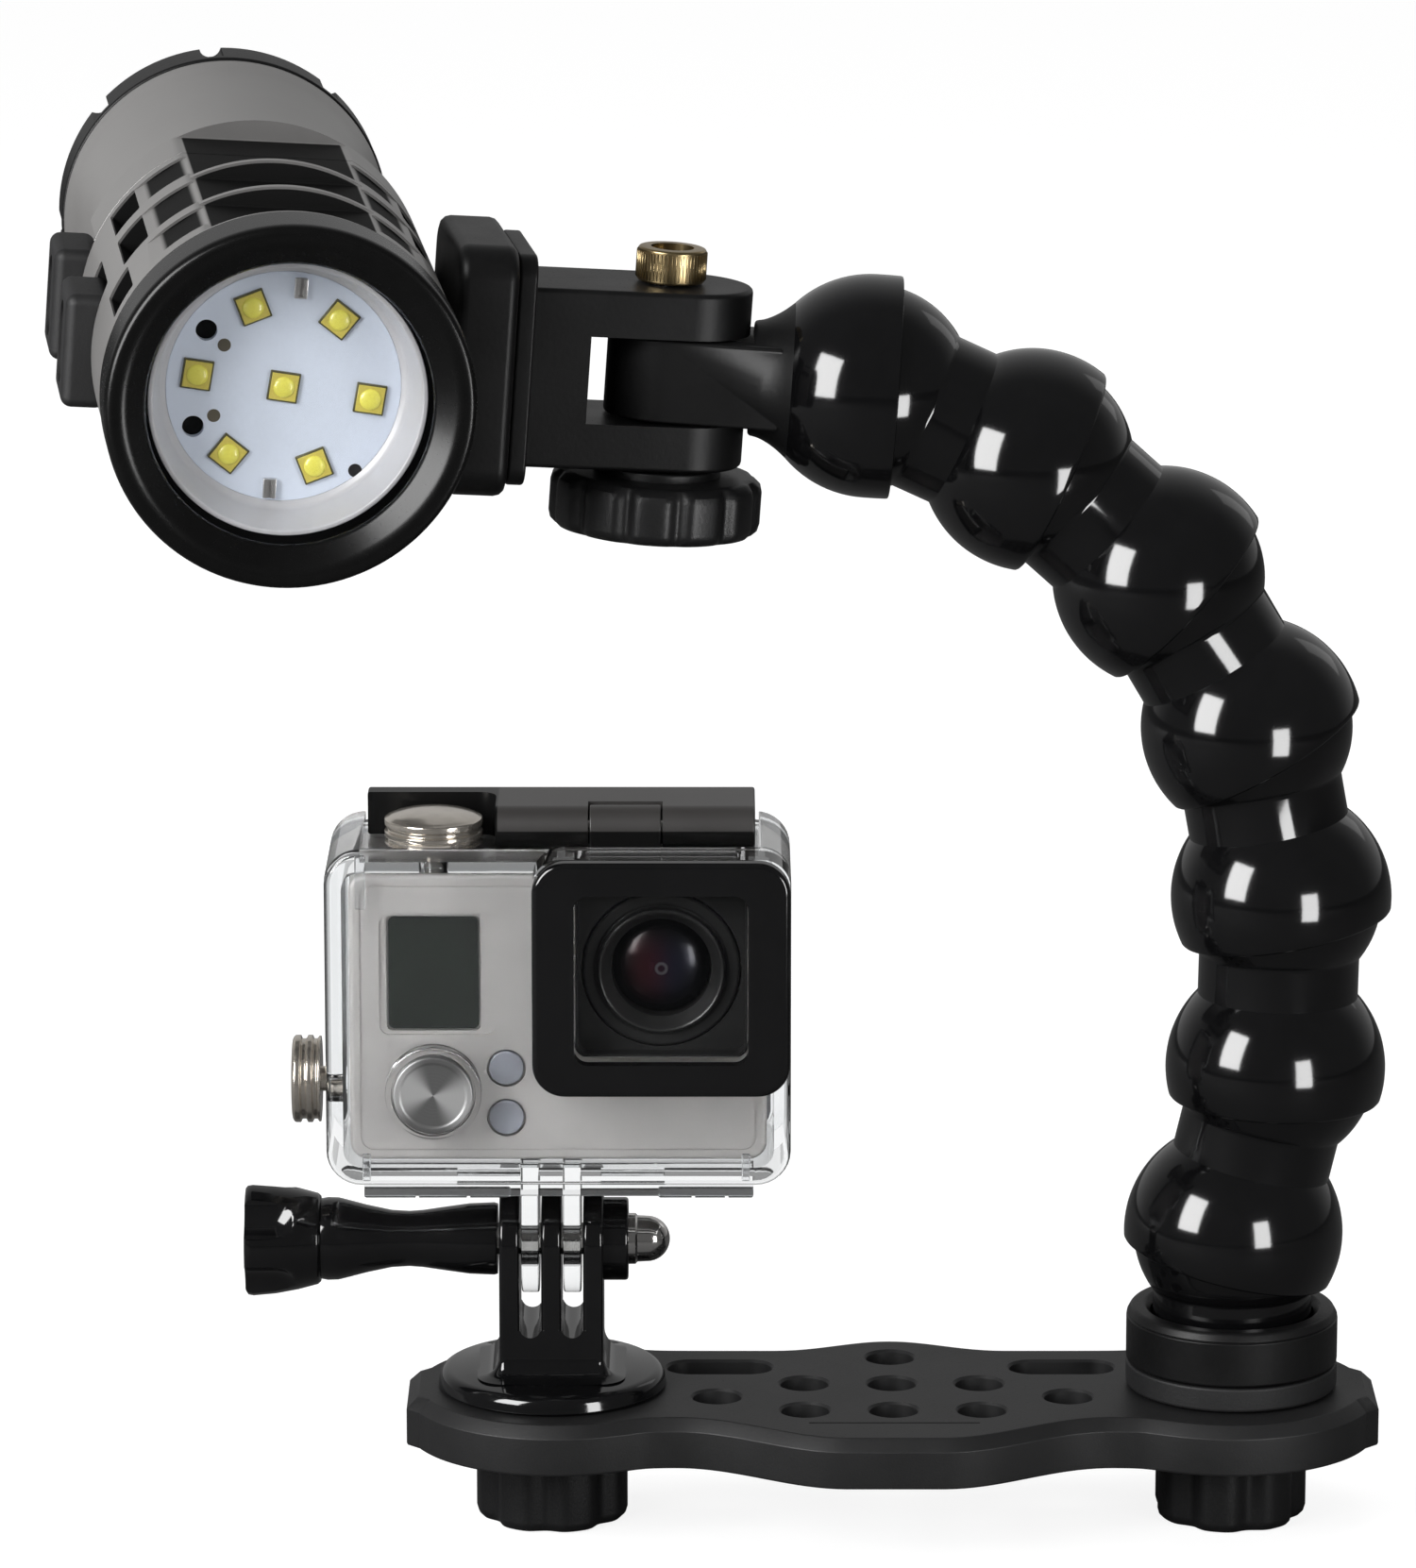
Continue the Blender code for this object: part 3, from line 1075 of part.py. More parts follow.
def ball_profile(lift):
    """A ball cut flat on top and running into its neck, its centre at a given height."""
    junction = pi - asin(NECK_RADIUS / BALL_RADIUS)
    points = sphere_arc(BALL_RADIUS, BALL_TOP_ANGLE, junction, 4)
    return [(0, lift + points[0][1])] + [(r, lift + z) for r, z in points]


def socket_profile(rim_drop, back_radius, count_outside=4):
    """A socket from its neck over the bulge to the rim and back up inside to the ceiling."""
    inner = BALL_RADIUS + SOCKET_GAP
    outer = inner + SOCKET_WALL
    start = asin(back_radius / outer)
    rim = acos(-rim_drop / outer)
    points = sphere_arc(outer, start, rim, count_outside)
    lip_radius = sqrt(inner ** 2 - rim_drop ** 2) + SOCKET_LIP_CHAMFER
    points.append((lip_radius, -rim_drop))
    inner_rim = acos((SOCKET_LIP_CHAMFER - rim_drop) / inner)
    facets = inner / cos(pi / ARM_STEPS)
    bow = 1 / cos((inner_rim - SOCKET_CEILING_ANGLE) / SOCKET_INSIDE_STEPS / 2)
    inside = sphere_arc(facets, inner_rim, SOCKET_CEILING_ANGLE, SOCKET_INSIDE_STEPS)
    points += [inside[0]] + [(r * bow, z * bow) for r, z in inside[1:]]
    return points + [(0, points[-1][1])]


def make_arm_segment(name, pivot):
    """One link of the arm: socket at its origin, neck, and ball one pitch further up."""
    profile = ball_profile(ARM_PITCH) + socket_profile(SOCKET_RIM_DROP, NECK_RADIUS)
    return link_part(turned(name, profile, ARM_STEPS), name, GLOSS_BLACK, pivot)


def make_arm_base(root):
    """The post with the lowest ball, its collar ring, its pad and the clamp insert inside."""
    pivot = frame("arm_base", root, (STATION_X, 0, TRAY_TOP_Z))
    pad_top = FIT_GAP + WASHER_HEIGHT
    pad = ring("pad", COLLAR_RADIUS, STUD_HOLE_RADIUS, FIT_GAP, pad_top, ROUND_STEPS)
    link_part(pad, "arm_base_pad", RUBBER_BLACK, pivot)
    low = pad_top + FIT_GAP
    post = turned("post", ball_profile(BASE_BALL_HEIGHT) + [(NECK_RADIUS, low), (0, low)],
                  ARM_STEPS)
    link_part(post, "arm_base_post", GLOSS_BLACK, pivot)
    cut(post, rod("stud_bore", STUD_RADIUS + FIT_GAP, low - CUT_OVERRUN, low + POST_BORE_DEPTH))
    top = low + COLLAR_HEIGHT
    bore = NECK_RADIUS + FIT_GAP
    corner = [(COLLAR_RADIUS - COLLAR_ROUND + COLLAR_ROUND * sin(a),
               top - COLLAR_ROUND + COLLAR_ROUND * cos(a))
              for a in (0, radians(45), radians(90))]
    collar = turned("collar", corner + [(COLLAR_RADIUS, low), (bore, low), (bore, top)],
                    ROUND_STEPS, closed=True)
    link_part(collar, "arm_base_collar", GLOSS_BLACK, pivot)
    return pivot


def make_arm(base):
    """Six links on the base post; each hangs on the ball below it, bent as in the photograph."""
    parent, place = base, (0, 0, BASE_BALL_HEIGHT)
    for number, bend in enumerate(ARM_BENDS[:-1], 1):
        parent = frame(f"arm_joint_{number}", parent, place, (0, -radians(bend), 0))
        make_arm_segment(f"arm_segment_{number}", parent)
        place = (0, 0, ARM_PITCH)
    return frame("arm_joint_7", parent, place, (0, -radians(ARM_BENDS[-1]), 0))


def make_arm_end(pivot):
    """The end cup: a socket on the last ball, with a flat tongue that the clevis holds."""
    outer = BALL_RADIUS + SOCKET_GAP + SOCKET_WALL
    cup = turned("cup", socket_profile(CUP_RIM_DROP, 0, 6), ARM_STEPS)
    link_part(cup, "arm_end_cup", GLOSS_BLACK, pivot)
    half, reach = TONGUE_WIDTH / 2, TONGUE_REACH
    start = sqrt(outer ** 2 - half ** 2) - SOCKET_WALL
    outline = [(start, -half)] + arc((reach, 0), half, -pi / 2, pi / 2, 12) + [(start, half)]
    tongue = extruded("tongue", outline, -TONGUE_HEIGHT / 2, TONGUE_HEIGHT / 2)
    upright = Matrix(((0, 0, 1, 0), (0, 1, 0, 0), (1, 0, 0, 0), (0, 0, 0, 1)))
    tongue.data.transform(upright)
    flip_faces(tongue)
    join(cup, tongue)
    bore = rod("tongue_bore", TONGUE_BORE_RADIUS, -TONGUE_HEIGHT, TONGUE_HEIGHT, SMALL_STEPS)
    cut(cup, moved(bore, (0, 0, reach), (0, pi / 2, 0)))
    return frame("light_bracket", pivot, (0, 0, reach), (0, pi / 2, 0))


def flip_faces(obj):
    """Turns the faces of a mirrored mesh outwards again."""
    obj.data.flip_normals()
    return obj


def make_clevis(pivot):
    """The clevis: two round-ended ears, the web behind the slot and the flange plate."""
    yawed = frame("clevis_yaw", pivot, turn=(0, 0, radians(CLEVIS_YAW)))
    half_height = TONGUE_HEIGHT / 2 + SLIDE_GAP + CLEVIS_EAR_HEIGHT
    half = CLEVIS_DEPTH / 2
    nose = arc((CLEVIS_NOSE - half, 0), half, -pi / 2, pi / 2, 12)
    outline = [(-CLEVIS_BODY_LENGTH - FLANGE_THICKNESS / 2, -half)] + nose
    outline += [(-CLEVIS_BODY_LENGTH - FLANGE_THICKNESS / 2, half)]
    clevis = extruded("clevis", outline, -half_height, half_height)
    link_part(clevis, "light_clevis", SATIN_BLACK, yawed)
    height = FLANGE_TOP + FLANGE_BOTTOM
    plate = side_plate("flange", rounded_rectangle(FLANGE_DEPTH, height, FLANGE_CORNER),
                       -CLEVIS_BODY_LENGTH - FLANGE_THICKNESS, -CLEVIS_BODY_LENGTH)
    join(clevis, moved(plate, (0, 0, (FLANGE_TOP - FLANGE_BOTTOM) / 2)))
    gap = TONGUE_HEIGHT / 2 + SLIDE_GAP
    cut(clevis, block("slot", (-CLEVIS_SLOT_DEPTH, -half - CUT_OVERRUN, -gap),
                      (CLEVIS_NOSE + CUT_OVERRUN, half + CUT_OVERRUN, gap)))
    cut(clevis, rod("bolt_bore", CLEVIS_STUD_RADIUS + SLIDE_GAP, -half_height - CUT_OVERRUN,
                    half_height + CUT_OVERRUN, SMALL_STEPS))
    nut_low = half_height + FIT_GAP
    nut_top = nut_low + BRASS_HEIGHT
    nut = turned("nut", [(0, nut_top), (BRASS_RADIUS - BRASS_EDGE, nut_top),
                         (BRASS_RADIUS, nut_top - BRASS_EDGE), (BRASS_RADIUS, nut_low),
                         (0, nut_low)], SMALL_STEPS)
    link_part(nut, "clevis_brass_nut", BRASS, yawed)
    cut(nut, rod("nut_bore", CLEVIS_STUD_RADIUS + FIT_GAP, nut_low - CUT_OVERRUN,
                 nut_low + BRASS_HEIGHT * BRASS_BORE_SHARE, TINY_STEPS))
    return yawed, half_height


def make_pivot_knob(yawed, half_height):
    """The ridged knob under the clevis and the stud that it screws up through the bolt bore."""
    pivot = frame("pivot_knob", yawed)
    top = -half_height - FIT_GAP
    shoulder = top - PIVOT_KNOB_SHOULDER
    foot = shoulder - PIVOT_KNOB_HEIGHT
    knob = extruded("knob", lobed_circle(PIVOT_KNOB_RADIUS, PIVOT_KNOB_LOBES, PIVOT_KNOB_GROOVE, 4),
                    foot, shoulder)
    round_rim(knob, foot, CLAMP_KNOB_ROUND)
    round_rim(knob, shoulder, CLAMP_KNOB_ROUND)
    link_part(knob, "clevis_pivot_knob", SATIN_BLACK, pivot)
    join(knob, rod("shoulder", PIVOT_KNOB_SHOULDER_RADIUS, shoulder - PIVOT_KNOB_HEIGHT / 2, top))
    cut(knob, rod("stud_bore", CLEVIS_STUD_RADIUS + FIT_GAP, foot + PIVOT_KNOB_HEIGHT / 3,
                  top + CUT_OVERRUN, TINY_STEPS))
    tip = half_height + FIT_GAP + BRASS_HEIGHT * STUD_IN_BRASS_SHARE
    stud = rod("stud", CLEVIS_STUD_RADIUS, foot + PIVOT_KNOB_HEIGHT / 3 + FIT_GAP, tip, TINY_STEPS)
    link_part(stud, "clevis_stud", STEEL, pivot)


def make_saddle(yawed):
    """The plate between flange and light, hollowed on one side to sit on the round body."""
    right = -CLEVIS_BODY_LENGTH - FLANGE_THICKNESS - FIT_GAP
    height = SADDLE_TOP + SADDLE_BOTTOM
    saddle = side_plate("saddle", rounded_rectangle(SADDLE_DEPTH, height, SADDLE_CORNER),
                        right - SADDLE_THICKNESS, right)
    moved(saddle, (0, 0, (SADDLE_TOP - SADDLE_BOTTOM) / 2))
    link_part(saddle, "light_saddle", SATIN_BLACK, yawed)
    hollow = rod("hollow", HEAD_RADIUS + FIT_GAP, -SADDLE_DEPTH, SADDLE_DEPTH, ROUND_STEPS * 2)
    cut(saddle, moved(hollow, (-LIGHT_OFFSET_X, 0, LIGHT_LIFT),
                      (pi / 2 + radians(LIGHT_PITCH), 0, 0)))


def make_light(yawed):
    """The video light, in a frame whose Z points out of its glass."""
    axis = frame("light", yawed, (-LIGHT_OFFSET_X, 0, LIGHT_LIFT),
                 (pi / 2 + radians(LIGHT_PITCH), 0, 0))
    make_light_head(axis)
    make_light_optics(axis)
    make_light_tail(axis)
    make_switches(axis)
    return axis


def bezel_back():
    return HEAD_FRONT - BEZEL_LENGTH


def make_light_head(axis):
    """The finned head: three grooves round it, bridged by ribs, hollow for board and glass."""
    front = bezel_back() - FIT_GAP
    inner = HEAD_RADIUS - GROOVE_DEPTH
    profile = [(0, front), (HEAD_RADIUS, front)]
    level = front - FIN_THICKNESS / 2
    for _ in range(GROOVE_COUNT):
        profile += [(HEAD_RADIUS, level), (inner, level), (inner, level - GROOVE_LENGTH),
                    (HEAD_RADIUS, level - GROOVE_LENGTH)]
        level -= GROOVE_LENGTH + FIN_THICKNESS
    profile += [(HEAD_RADIUS, -HEAD_BACK), (0, -HEAD_BACK)]
    head = turned("head", profile, ROUND_STEPS)
    link_part(head, "light_head", GREY_METAL, axis)
    first = radians(RIB_FIRST_ANGLE)
    rib_spacing = (pi - 2 * first) / (RIB_PAIRS - 1)
    ribs_end = level + FIN_THICKNESS / 2
    half = RIB_WIDTH / 2
    for i in range(RIB_PAIRS):
        for side in (-1, 1):
            rib = block("rib", (inner - GROOVE_DEPTH, -half, ribs_end),
                        (HEAD_RADIUS - RIB_SETBACK, half, front - FIN_THICKNESS / 4))
            join(head, moved(rib, turn=(0, 0, pi / 2 + side * (first + i * rib_spacing))))
    floor = bezel_back() - DIFFUSER_DEPTH - BOARD_THICKNESS - FIT_GAP
    cut(head, rod("board_well", DIFFUSER_OUTER_RADIUS + FIT_GAP, floor, front + CUT_OVERRUN,
                  ROUND_STEPS))
    cut(head, rod("cell_well", TUBE_BORE_RADIUS, -HEAD_BACK - CUT_OVERRUN, CELL_FLOOR,
                  ROUND_STEPS))


def make_light_optics(axis):
    """Bezel, front glass, white diffuser ring and the board with its seven emitters."""
    front, back = HEAD_FRONT, bezel_back()
    seat_radius = BEZEL_OPENING_RADIUS + PORT_CORNER
    glass_front = front - GLASS_RECESS
    glass_back = glass_front - GLASS_THICKNESS
    profile = [(BEZEL_OPENING_RADIUS + BEZEL_ROUND / 2, front), (BEZEL_RADIUS - BEZEL_ROUND, front),
               (BEZEL_RADIUS, front - BEZEL_ROUND), (BEZEL_RADIUS, back), (seat_radius, back),
               (seat_radius, glass_front + FIT_GAP), (BEZEL_OPENING_RADIUS, glass_front + FIT_GAP),
               (BEZEL_OPENING_RADIUS, front - BEZEL_ROUND / 2)]
    link_part(turned("bezel", profile, ROUND_STEPS, closed=True), "light_bezel", GLOSS_BLACK, axis)
    link_part(rod("glass", seat_radius - FIT_GAP, glass_back, glass_front, ROUND_STEPS),
              "light_front_glass", CLEAR, axis)
    ring_back = back - DIFFUSER_DEPTH
    ring_front = glass_back - FIT_GAP
    diffuser = [(DIFFUSER_OUTER_RADIUS, ring_front), (DIFFUSER_OUTER_RADIUS, ring_back),
                (BOARD_RADIUS + FIT_GAP, ring_back), (BOARD_RADIUS + FIT_GAP, ring_back + LED_HEIGHT),
                (DIFFUSER_OUTER_RADIUS - BOARD_THICKNESS, ring_front)]
    link_part(turned("diffuser", diffuser, ROUND_STEPS, closed=True), "light_diffuser_ring",
              WHITE_PLASTIC, axis)
    top = ring_back + LED_HEIGHT
    board = rod("board", BOARD_RADIUS, top - BOARD_THICKNESS, top, ROUND_STEPS)
    link_part(board, "light_led_board", BOARD_WHITE, axis)
    for i in range(LED_COUNT):
        angle = 2 * pi * i / (LED_COUNT - 1)
        ring_radius = LED_RING_RADIUS if i < LED_COUNT - 1 else 0.0
        half = LED_SIZE / 2
        led = block("led", (-half, -half, -BOARD_THICKNESS / 2), (half, half, LED_HEIGHT))
        join(board, moved(led, (ring_radius * cos(angle), ring_radius * sin(angle), top),
                          (0, 0, angle)))


def make_light_tail(axis):
    """The battery tube, the cell in it, and the notched cap that screws onto its end."""
    front, end = -HEAD_BACK - FIT_GAP, -TAIL_END
    taper = TAIL_RADIUS / 12
    profile = [(HEAD_RADIUS - taper, front), (TAIL_RADIUS, front - 3 * taper), (TAIL_RADIUS, end),
               (TUBE_BORE_RADIUS, end), (TUBE_BORE_RADIUS, front)]
    tube = turned("tube", profile, ROUND_STEPS, closed=True)
    link_part(tube, "light_battery_tube", GREY_METAL, axis)
    cell_top = CELL_FLOOR - FIT_GAP
    cell_end = cell_top - BATTERY_LENGTH
    link_part(rod("cell", BATTERY_RADIUS, cell_end, cell_top), "light_battery", BATTERY_BLUE, axis)
    turn = frame("light_tail_cap_turn", axis)
    cap_front = end - FIT_GAP
    cap_end = cap_front - TAIL_CAP_LENGTH
    corner = TAIL_CAP_LENGTH / 6
    plug, plug_radius = cap_front + TAIL_CAP_PLUG_LENGTH, TUBE_BORE_RADIUS - SLIDE_GAP
    boss = cell_end - FIT_GAP
    outline = [(0, boss), (TAIL_CAP_BOSS_RADIUS, boss), (TAIL_CAP_BOSS_RADIUS, cap_front),
               (plug_radius - TAIL_CAP_WALL, cap_front), (plug_radius - TAIL_CAP_WALL, plug),
               (plug_radius, plug), (plug_radius, cap_front),
               (TAIL_CAP_RADIUS, cap_front), (TAIL_CAP_RADIUS, cap_end + corner),
               (TAIL_CAP_RADIUS - corner, cap_end), (0, cap_end)]
    cap = turned("cap", outline, ROUND_STEPS)
    link_part(cap, "light_tail_cap", GLOSS_BLACK, turn)
    half_facet = pi / ROUND_STEPS
    for i in range(TAIL_CAP_NOTCHES):
        angle = 2 * pi * i / TAIL_CAP_NOTCHES + half_facet
        notch = rod("notch", TAIL_CAP_NOTCH_RADIUS, cap_end - CUT_OVERRUN,
                    cap_front - corner, TINY_STEPS)
        cut(cap, moved(notch, (TAIL_CAP_RADIUS * cos(angle), TAIL_CAP_RADIUS * sin(angle), 0),
                       (0, 0, angle)))


def make_switches(axis):
    """Two tall push pads on the light's left side, each in a shallow seat of its own."""
    head = bpy.data.objects["light_head"]
    tube = bpy.data.objects["light_battery_tube"]
    seats = (head, tube)
    for number, (station, seat) in enumerate(zip(SWITCH_STATIONS, seats)):
        label = SWITCH_LABELS[number]
        inner = -HEAD_RADIUS + SWITCH_DEPTH
        outer = -HEAD_RADIUS - SWITCH_PROUD
        slide = frame(label + "_switch_slide", axis, (inner, 0, station))
        half_height, half_length = SWITCH_HEIGHT / 2, SWITCH_LENGTH / 2
        pad = block("pad", (outer - inner, -half_height, -half_length), (0, half_height, half_length),
                    SWITCH_DEPTH / 2, 2)
        link_part(pad, label + "_switch_button", RUBBER_BLACK, slide)
        gap = SLIDE_GAP
        hollow = block("switch_seat", (outer, -half_height - gap, station - half_length - gap),
                       (inner + SWITCH_TRAVEL + gap, half_height + gap, station + half_length + gap))
        cut(seat, hollow)


def stand_on_origin(root):
    """Moves the whole assembly so that its box stands centred on the origin."""
    bpy.context.view_layer.update()
    depsgraph = bpy.context.evaluated_depsgraph_get()
    corners = []
    for obj in PARTS.objects:
        if obj.type != "MESH":
            continue
        shape = obj.evaluated_get(depsgraph)
        corners += [shape.matrix_world @ vertex.co for vertex in shape.data.vertices]
    low = [min(corner[axis] for corner in corners) for axis in range(3)]
    high = [max(corner[axis] for corner in corners) for axis in range(3)]
    root.location = (-(low[0] + high[0]) / 2, -(low[1] + high[1]) / 2, -low[2])


def build():
    root = frame("tray")
    make_tray(root)
    make_clamp(-1, "left", root)
    make_clamp(1, "right", root)
    mount, width = make_mount(root)
    make_thumb_screw(mount, width)
    housing = frame("camera_housing", mount, (0, 0, TILT_AXIS_HEIGHT))
    make_housing_shell(housing)
    make_port(housing)
    make_camera(housing)
    make_gasket_and_pins(housing)
    make_door(housing)
    make_latch(housing)
    make_housing_buttons(housing)
    bracket = make_arm_end(make_arm(make_arm_base(root)))
    yawed, half_height = make_clevis(bracket)
    make_pivot_knob(yawed, half_height)
    make_saddle(yawed)
    make_light(yawed)
    stand_on_origin(root)


build()
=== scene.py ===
"""Looks of the underwater camera tray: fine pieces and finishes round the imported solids."""

from __future__ import annotations

import json
import logging
from dataclasses import dataclass
from enum import Enum
from math import acos, asin, cos, pi, radians, sin, sqrt
from typing import Any, Iterable, Sequence

import bmesh
import bpy
from mathutils import Matrix, Vector


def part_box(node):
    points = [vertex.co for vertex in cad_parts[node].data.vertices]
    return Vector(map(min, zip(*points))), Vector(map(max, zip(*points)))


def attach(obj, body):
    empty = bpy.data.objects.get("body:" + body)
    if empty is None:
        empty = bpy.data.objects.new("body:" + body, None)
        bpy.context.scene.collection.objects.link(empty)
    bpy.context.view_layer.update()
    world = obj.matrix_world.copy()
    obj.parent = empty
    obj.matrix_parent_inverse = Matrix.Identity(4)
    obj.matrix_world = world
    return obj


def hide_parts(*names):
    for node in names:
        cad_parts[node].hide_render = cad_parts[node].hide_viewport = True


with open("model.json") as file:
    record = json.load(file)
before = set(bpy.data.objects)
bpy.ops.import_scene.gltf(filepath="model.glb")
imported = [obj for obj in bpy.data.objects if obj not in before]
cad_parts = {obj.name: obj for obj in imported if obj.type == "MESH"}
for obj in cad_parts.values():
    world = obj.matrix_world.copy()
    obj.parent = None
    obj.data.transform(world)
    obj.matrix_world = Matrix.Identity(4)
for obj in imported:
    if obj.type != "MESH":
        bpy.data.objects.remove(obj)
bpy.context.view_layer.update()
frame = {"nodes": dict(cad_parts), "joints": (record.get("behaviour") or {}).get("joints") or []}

MM = 0.001
LOG = logging.getLogger("scene")

Point = tuple[float, float]
Corner = tuple[float, float, float]
Loop = list[Point]


# Outlines

def arc(centre: Point, radius: float, start: float, stop: float, count: int) -> Loop:
    """Points on an arc.

    Args:
        centre: The arc's centre.
        radius: Its radius.
        start: First angle in radians.
        stop: Last angle in radians.
        count: Number of chords.

    Returns:
        The points, both ends included.
    """
    steps = [start + (stop - start) * i / count for i in range(count + 1)]
    return [(centre[0] + radius * cos(a), centre[1] + radius * sin(a)) for a in steps]


def softened(corners: Sequence[Corner], closed: bool = False, steps: int = 5) -> Loop:
    """Rounds the corners of a path.

    Args:
        corners: Points as (x, y, length that the rounding takes from each side).
        closed: Whether the last point joins the first.
        steps: Chords in each rounding.

    Returns:
        The path's points.
    """
    path: Loop = []
    count = len(corners)
    for i, (x, y, reach) in enumerate(corners):
        ends = not closed and i in (0, count - 1)
        if ends or reach <= 0:
            path.append((x, y))
            continue
        here = Vector((x, y))
        before = Vector(corners[i - 1][:2]) - here
        after = Vector(corners[(i + 1) % count][:2]) - here
        first = here + before.normalized() * min(reach, before.length * 0.49)
        last = here + after.normalized() * min(reach, after.length * 0.49)
        for k in range(steps + 1):
            s = k / steps
            spot = first * (1 - s) ** 2 + here * 2 * s * (1 - s) + last * s ** 2
            path.append((spot.x, spot.y))
    return path


def rounded_rectangle(width: float, height: float, corner: float, steps: int = 8) -> Loop:
    """A rectangle round the origin with round corners, anticlockwise."""
    x, y = width / 2 - corner, height / 2 - corner
    points: Loop = []
    for quarter, centre in enumerate(((x, y), (-x, y), (-x, -y), (x, -y))):
        points += arc(centre, corner, quarter * pi / 2, (quarter + 1) * pi / 2, steps)
    return points


def stadium(length: float, width: float, steps: int = 16) -> Loop:
    """A slot's outline: two half circles joined by straight sides."""
    half = (length - width) / 2
    right = arc((half, 0), width / 2, -pi / 2, pi / 2, steps)
    return right + arc((-half, 0), width / 2, pi / 2, 3 * pi / 2, steps)


def lobed(radius: float, lobes: int, depth: float, power: float = 6, turn: float = 0.0,
          count: int = 24) -> Loop:
    """A knob's outline: round lobes with a groove between each two.

    Args:
        radius: Radius over the lobes.
        lobes: Number of lobes.
        depth: Depth of a groove.
        power: The higher, the narrower the groove.
        turn: Angle of the first groove.
        count: Points to a lobe.

    Returns:
        The outline, anticlockwise.
    """
    outline: Loop = []
    for i in range(lobes * count):
        dip = abs(cos(pi * (i % count) / count)) ** power
        angle = turn + 2 * pi * i / (lobes * count)
        reach = radius - depth * dip
        outline.append((reach * cos(angle), reach * sin(angle)))
    return outline


def knob_levels(radius: float, lobes: int, depth: float, power: float, turn: float,
                layers: Sequence[Point]) -> list[list[Corner]]:
    """A knob's outlines, one to a layer.

    Args:
        radius: Radius over the lobes.
        lobes: Number of lobes.
        depth: Depth of a groove.
        power: The higher, the narrower the groove.
        turn: Angle of the first groove.
        layers: Pairs of (how far the outline is drawn in, height).

    Returns:
        The outlines, for a loft.
    """
    levels = []
    for step, height in layers:
        loop = lobed(radius - step, lobes, max(depth - step * 0.45, depth * 0.25), power, turn)
        levels.append([(x, y, height) for x, y in loop])
    return levels


def inset(loop: Loop, distance: float) -> Loop:
    """Moves each point of a closed anticlockwise outline inwards."""
    moved: Loop = []
    count = len(loop)
    for i, (x, y) in enumerate(loop):
        here = Vector((x, y))
        before = here - Vector(loop[i - 1])
        after = Vector(loop[(i + 1) % count]) - here
        if before.length < 1e-9:
            before = after
        if after.length < 1e-9:
            after = before
        one, two = before.normalized(), after.normalized()
        normal = Vector((-one.y - two.y, one.x + two.x))
        normal.normalize()
        lean = max(normal.dot(Vector((-one.y, one.x))), 0.35)
        spot = here + normal * distance / lean
        moved.append((spot.x, spot.y))
    return moved


# Solid shapes

class Join(Enum):
    """How one shape meets another."""

    CUT = "DIFFERENCE"
    ADD = "UNION"
    KEEP = "INTERSECT"


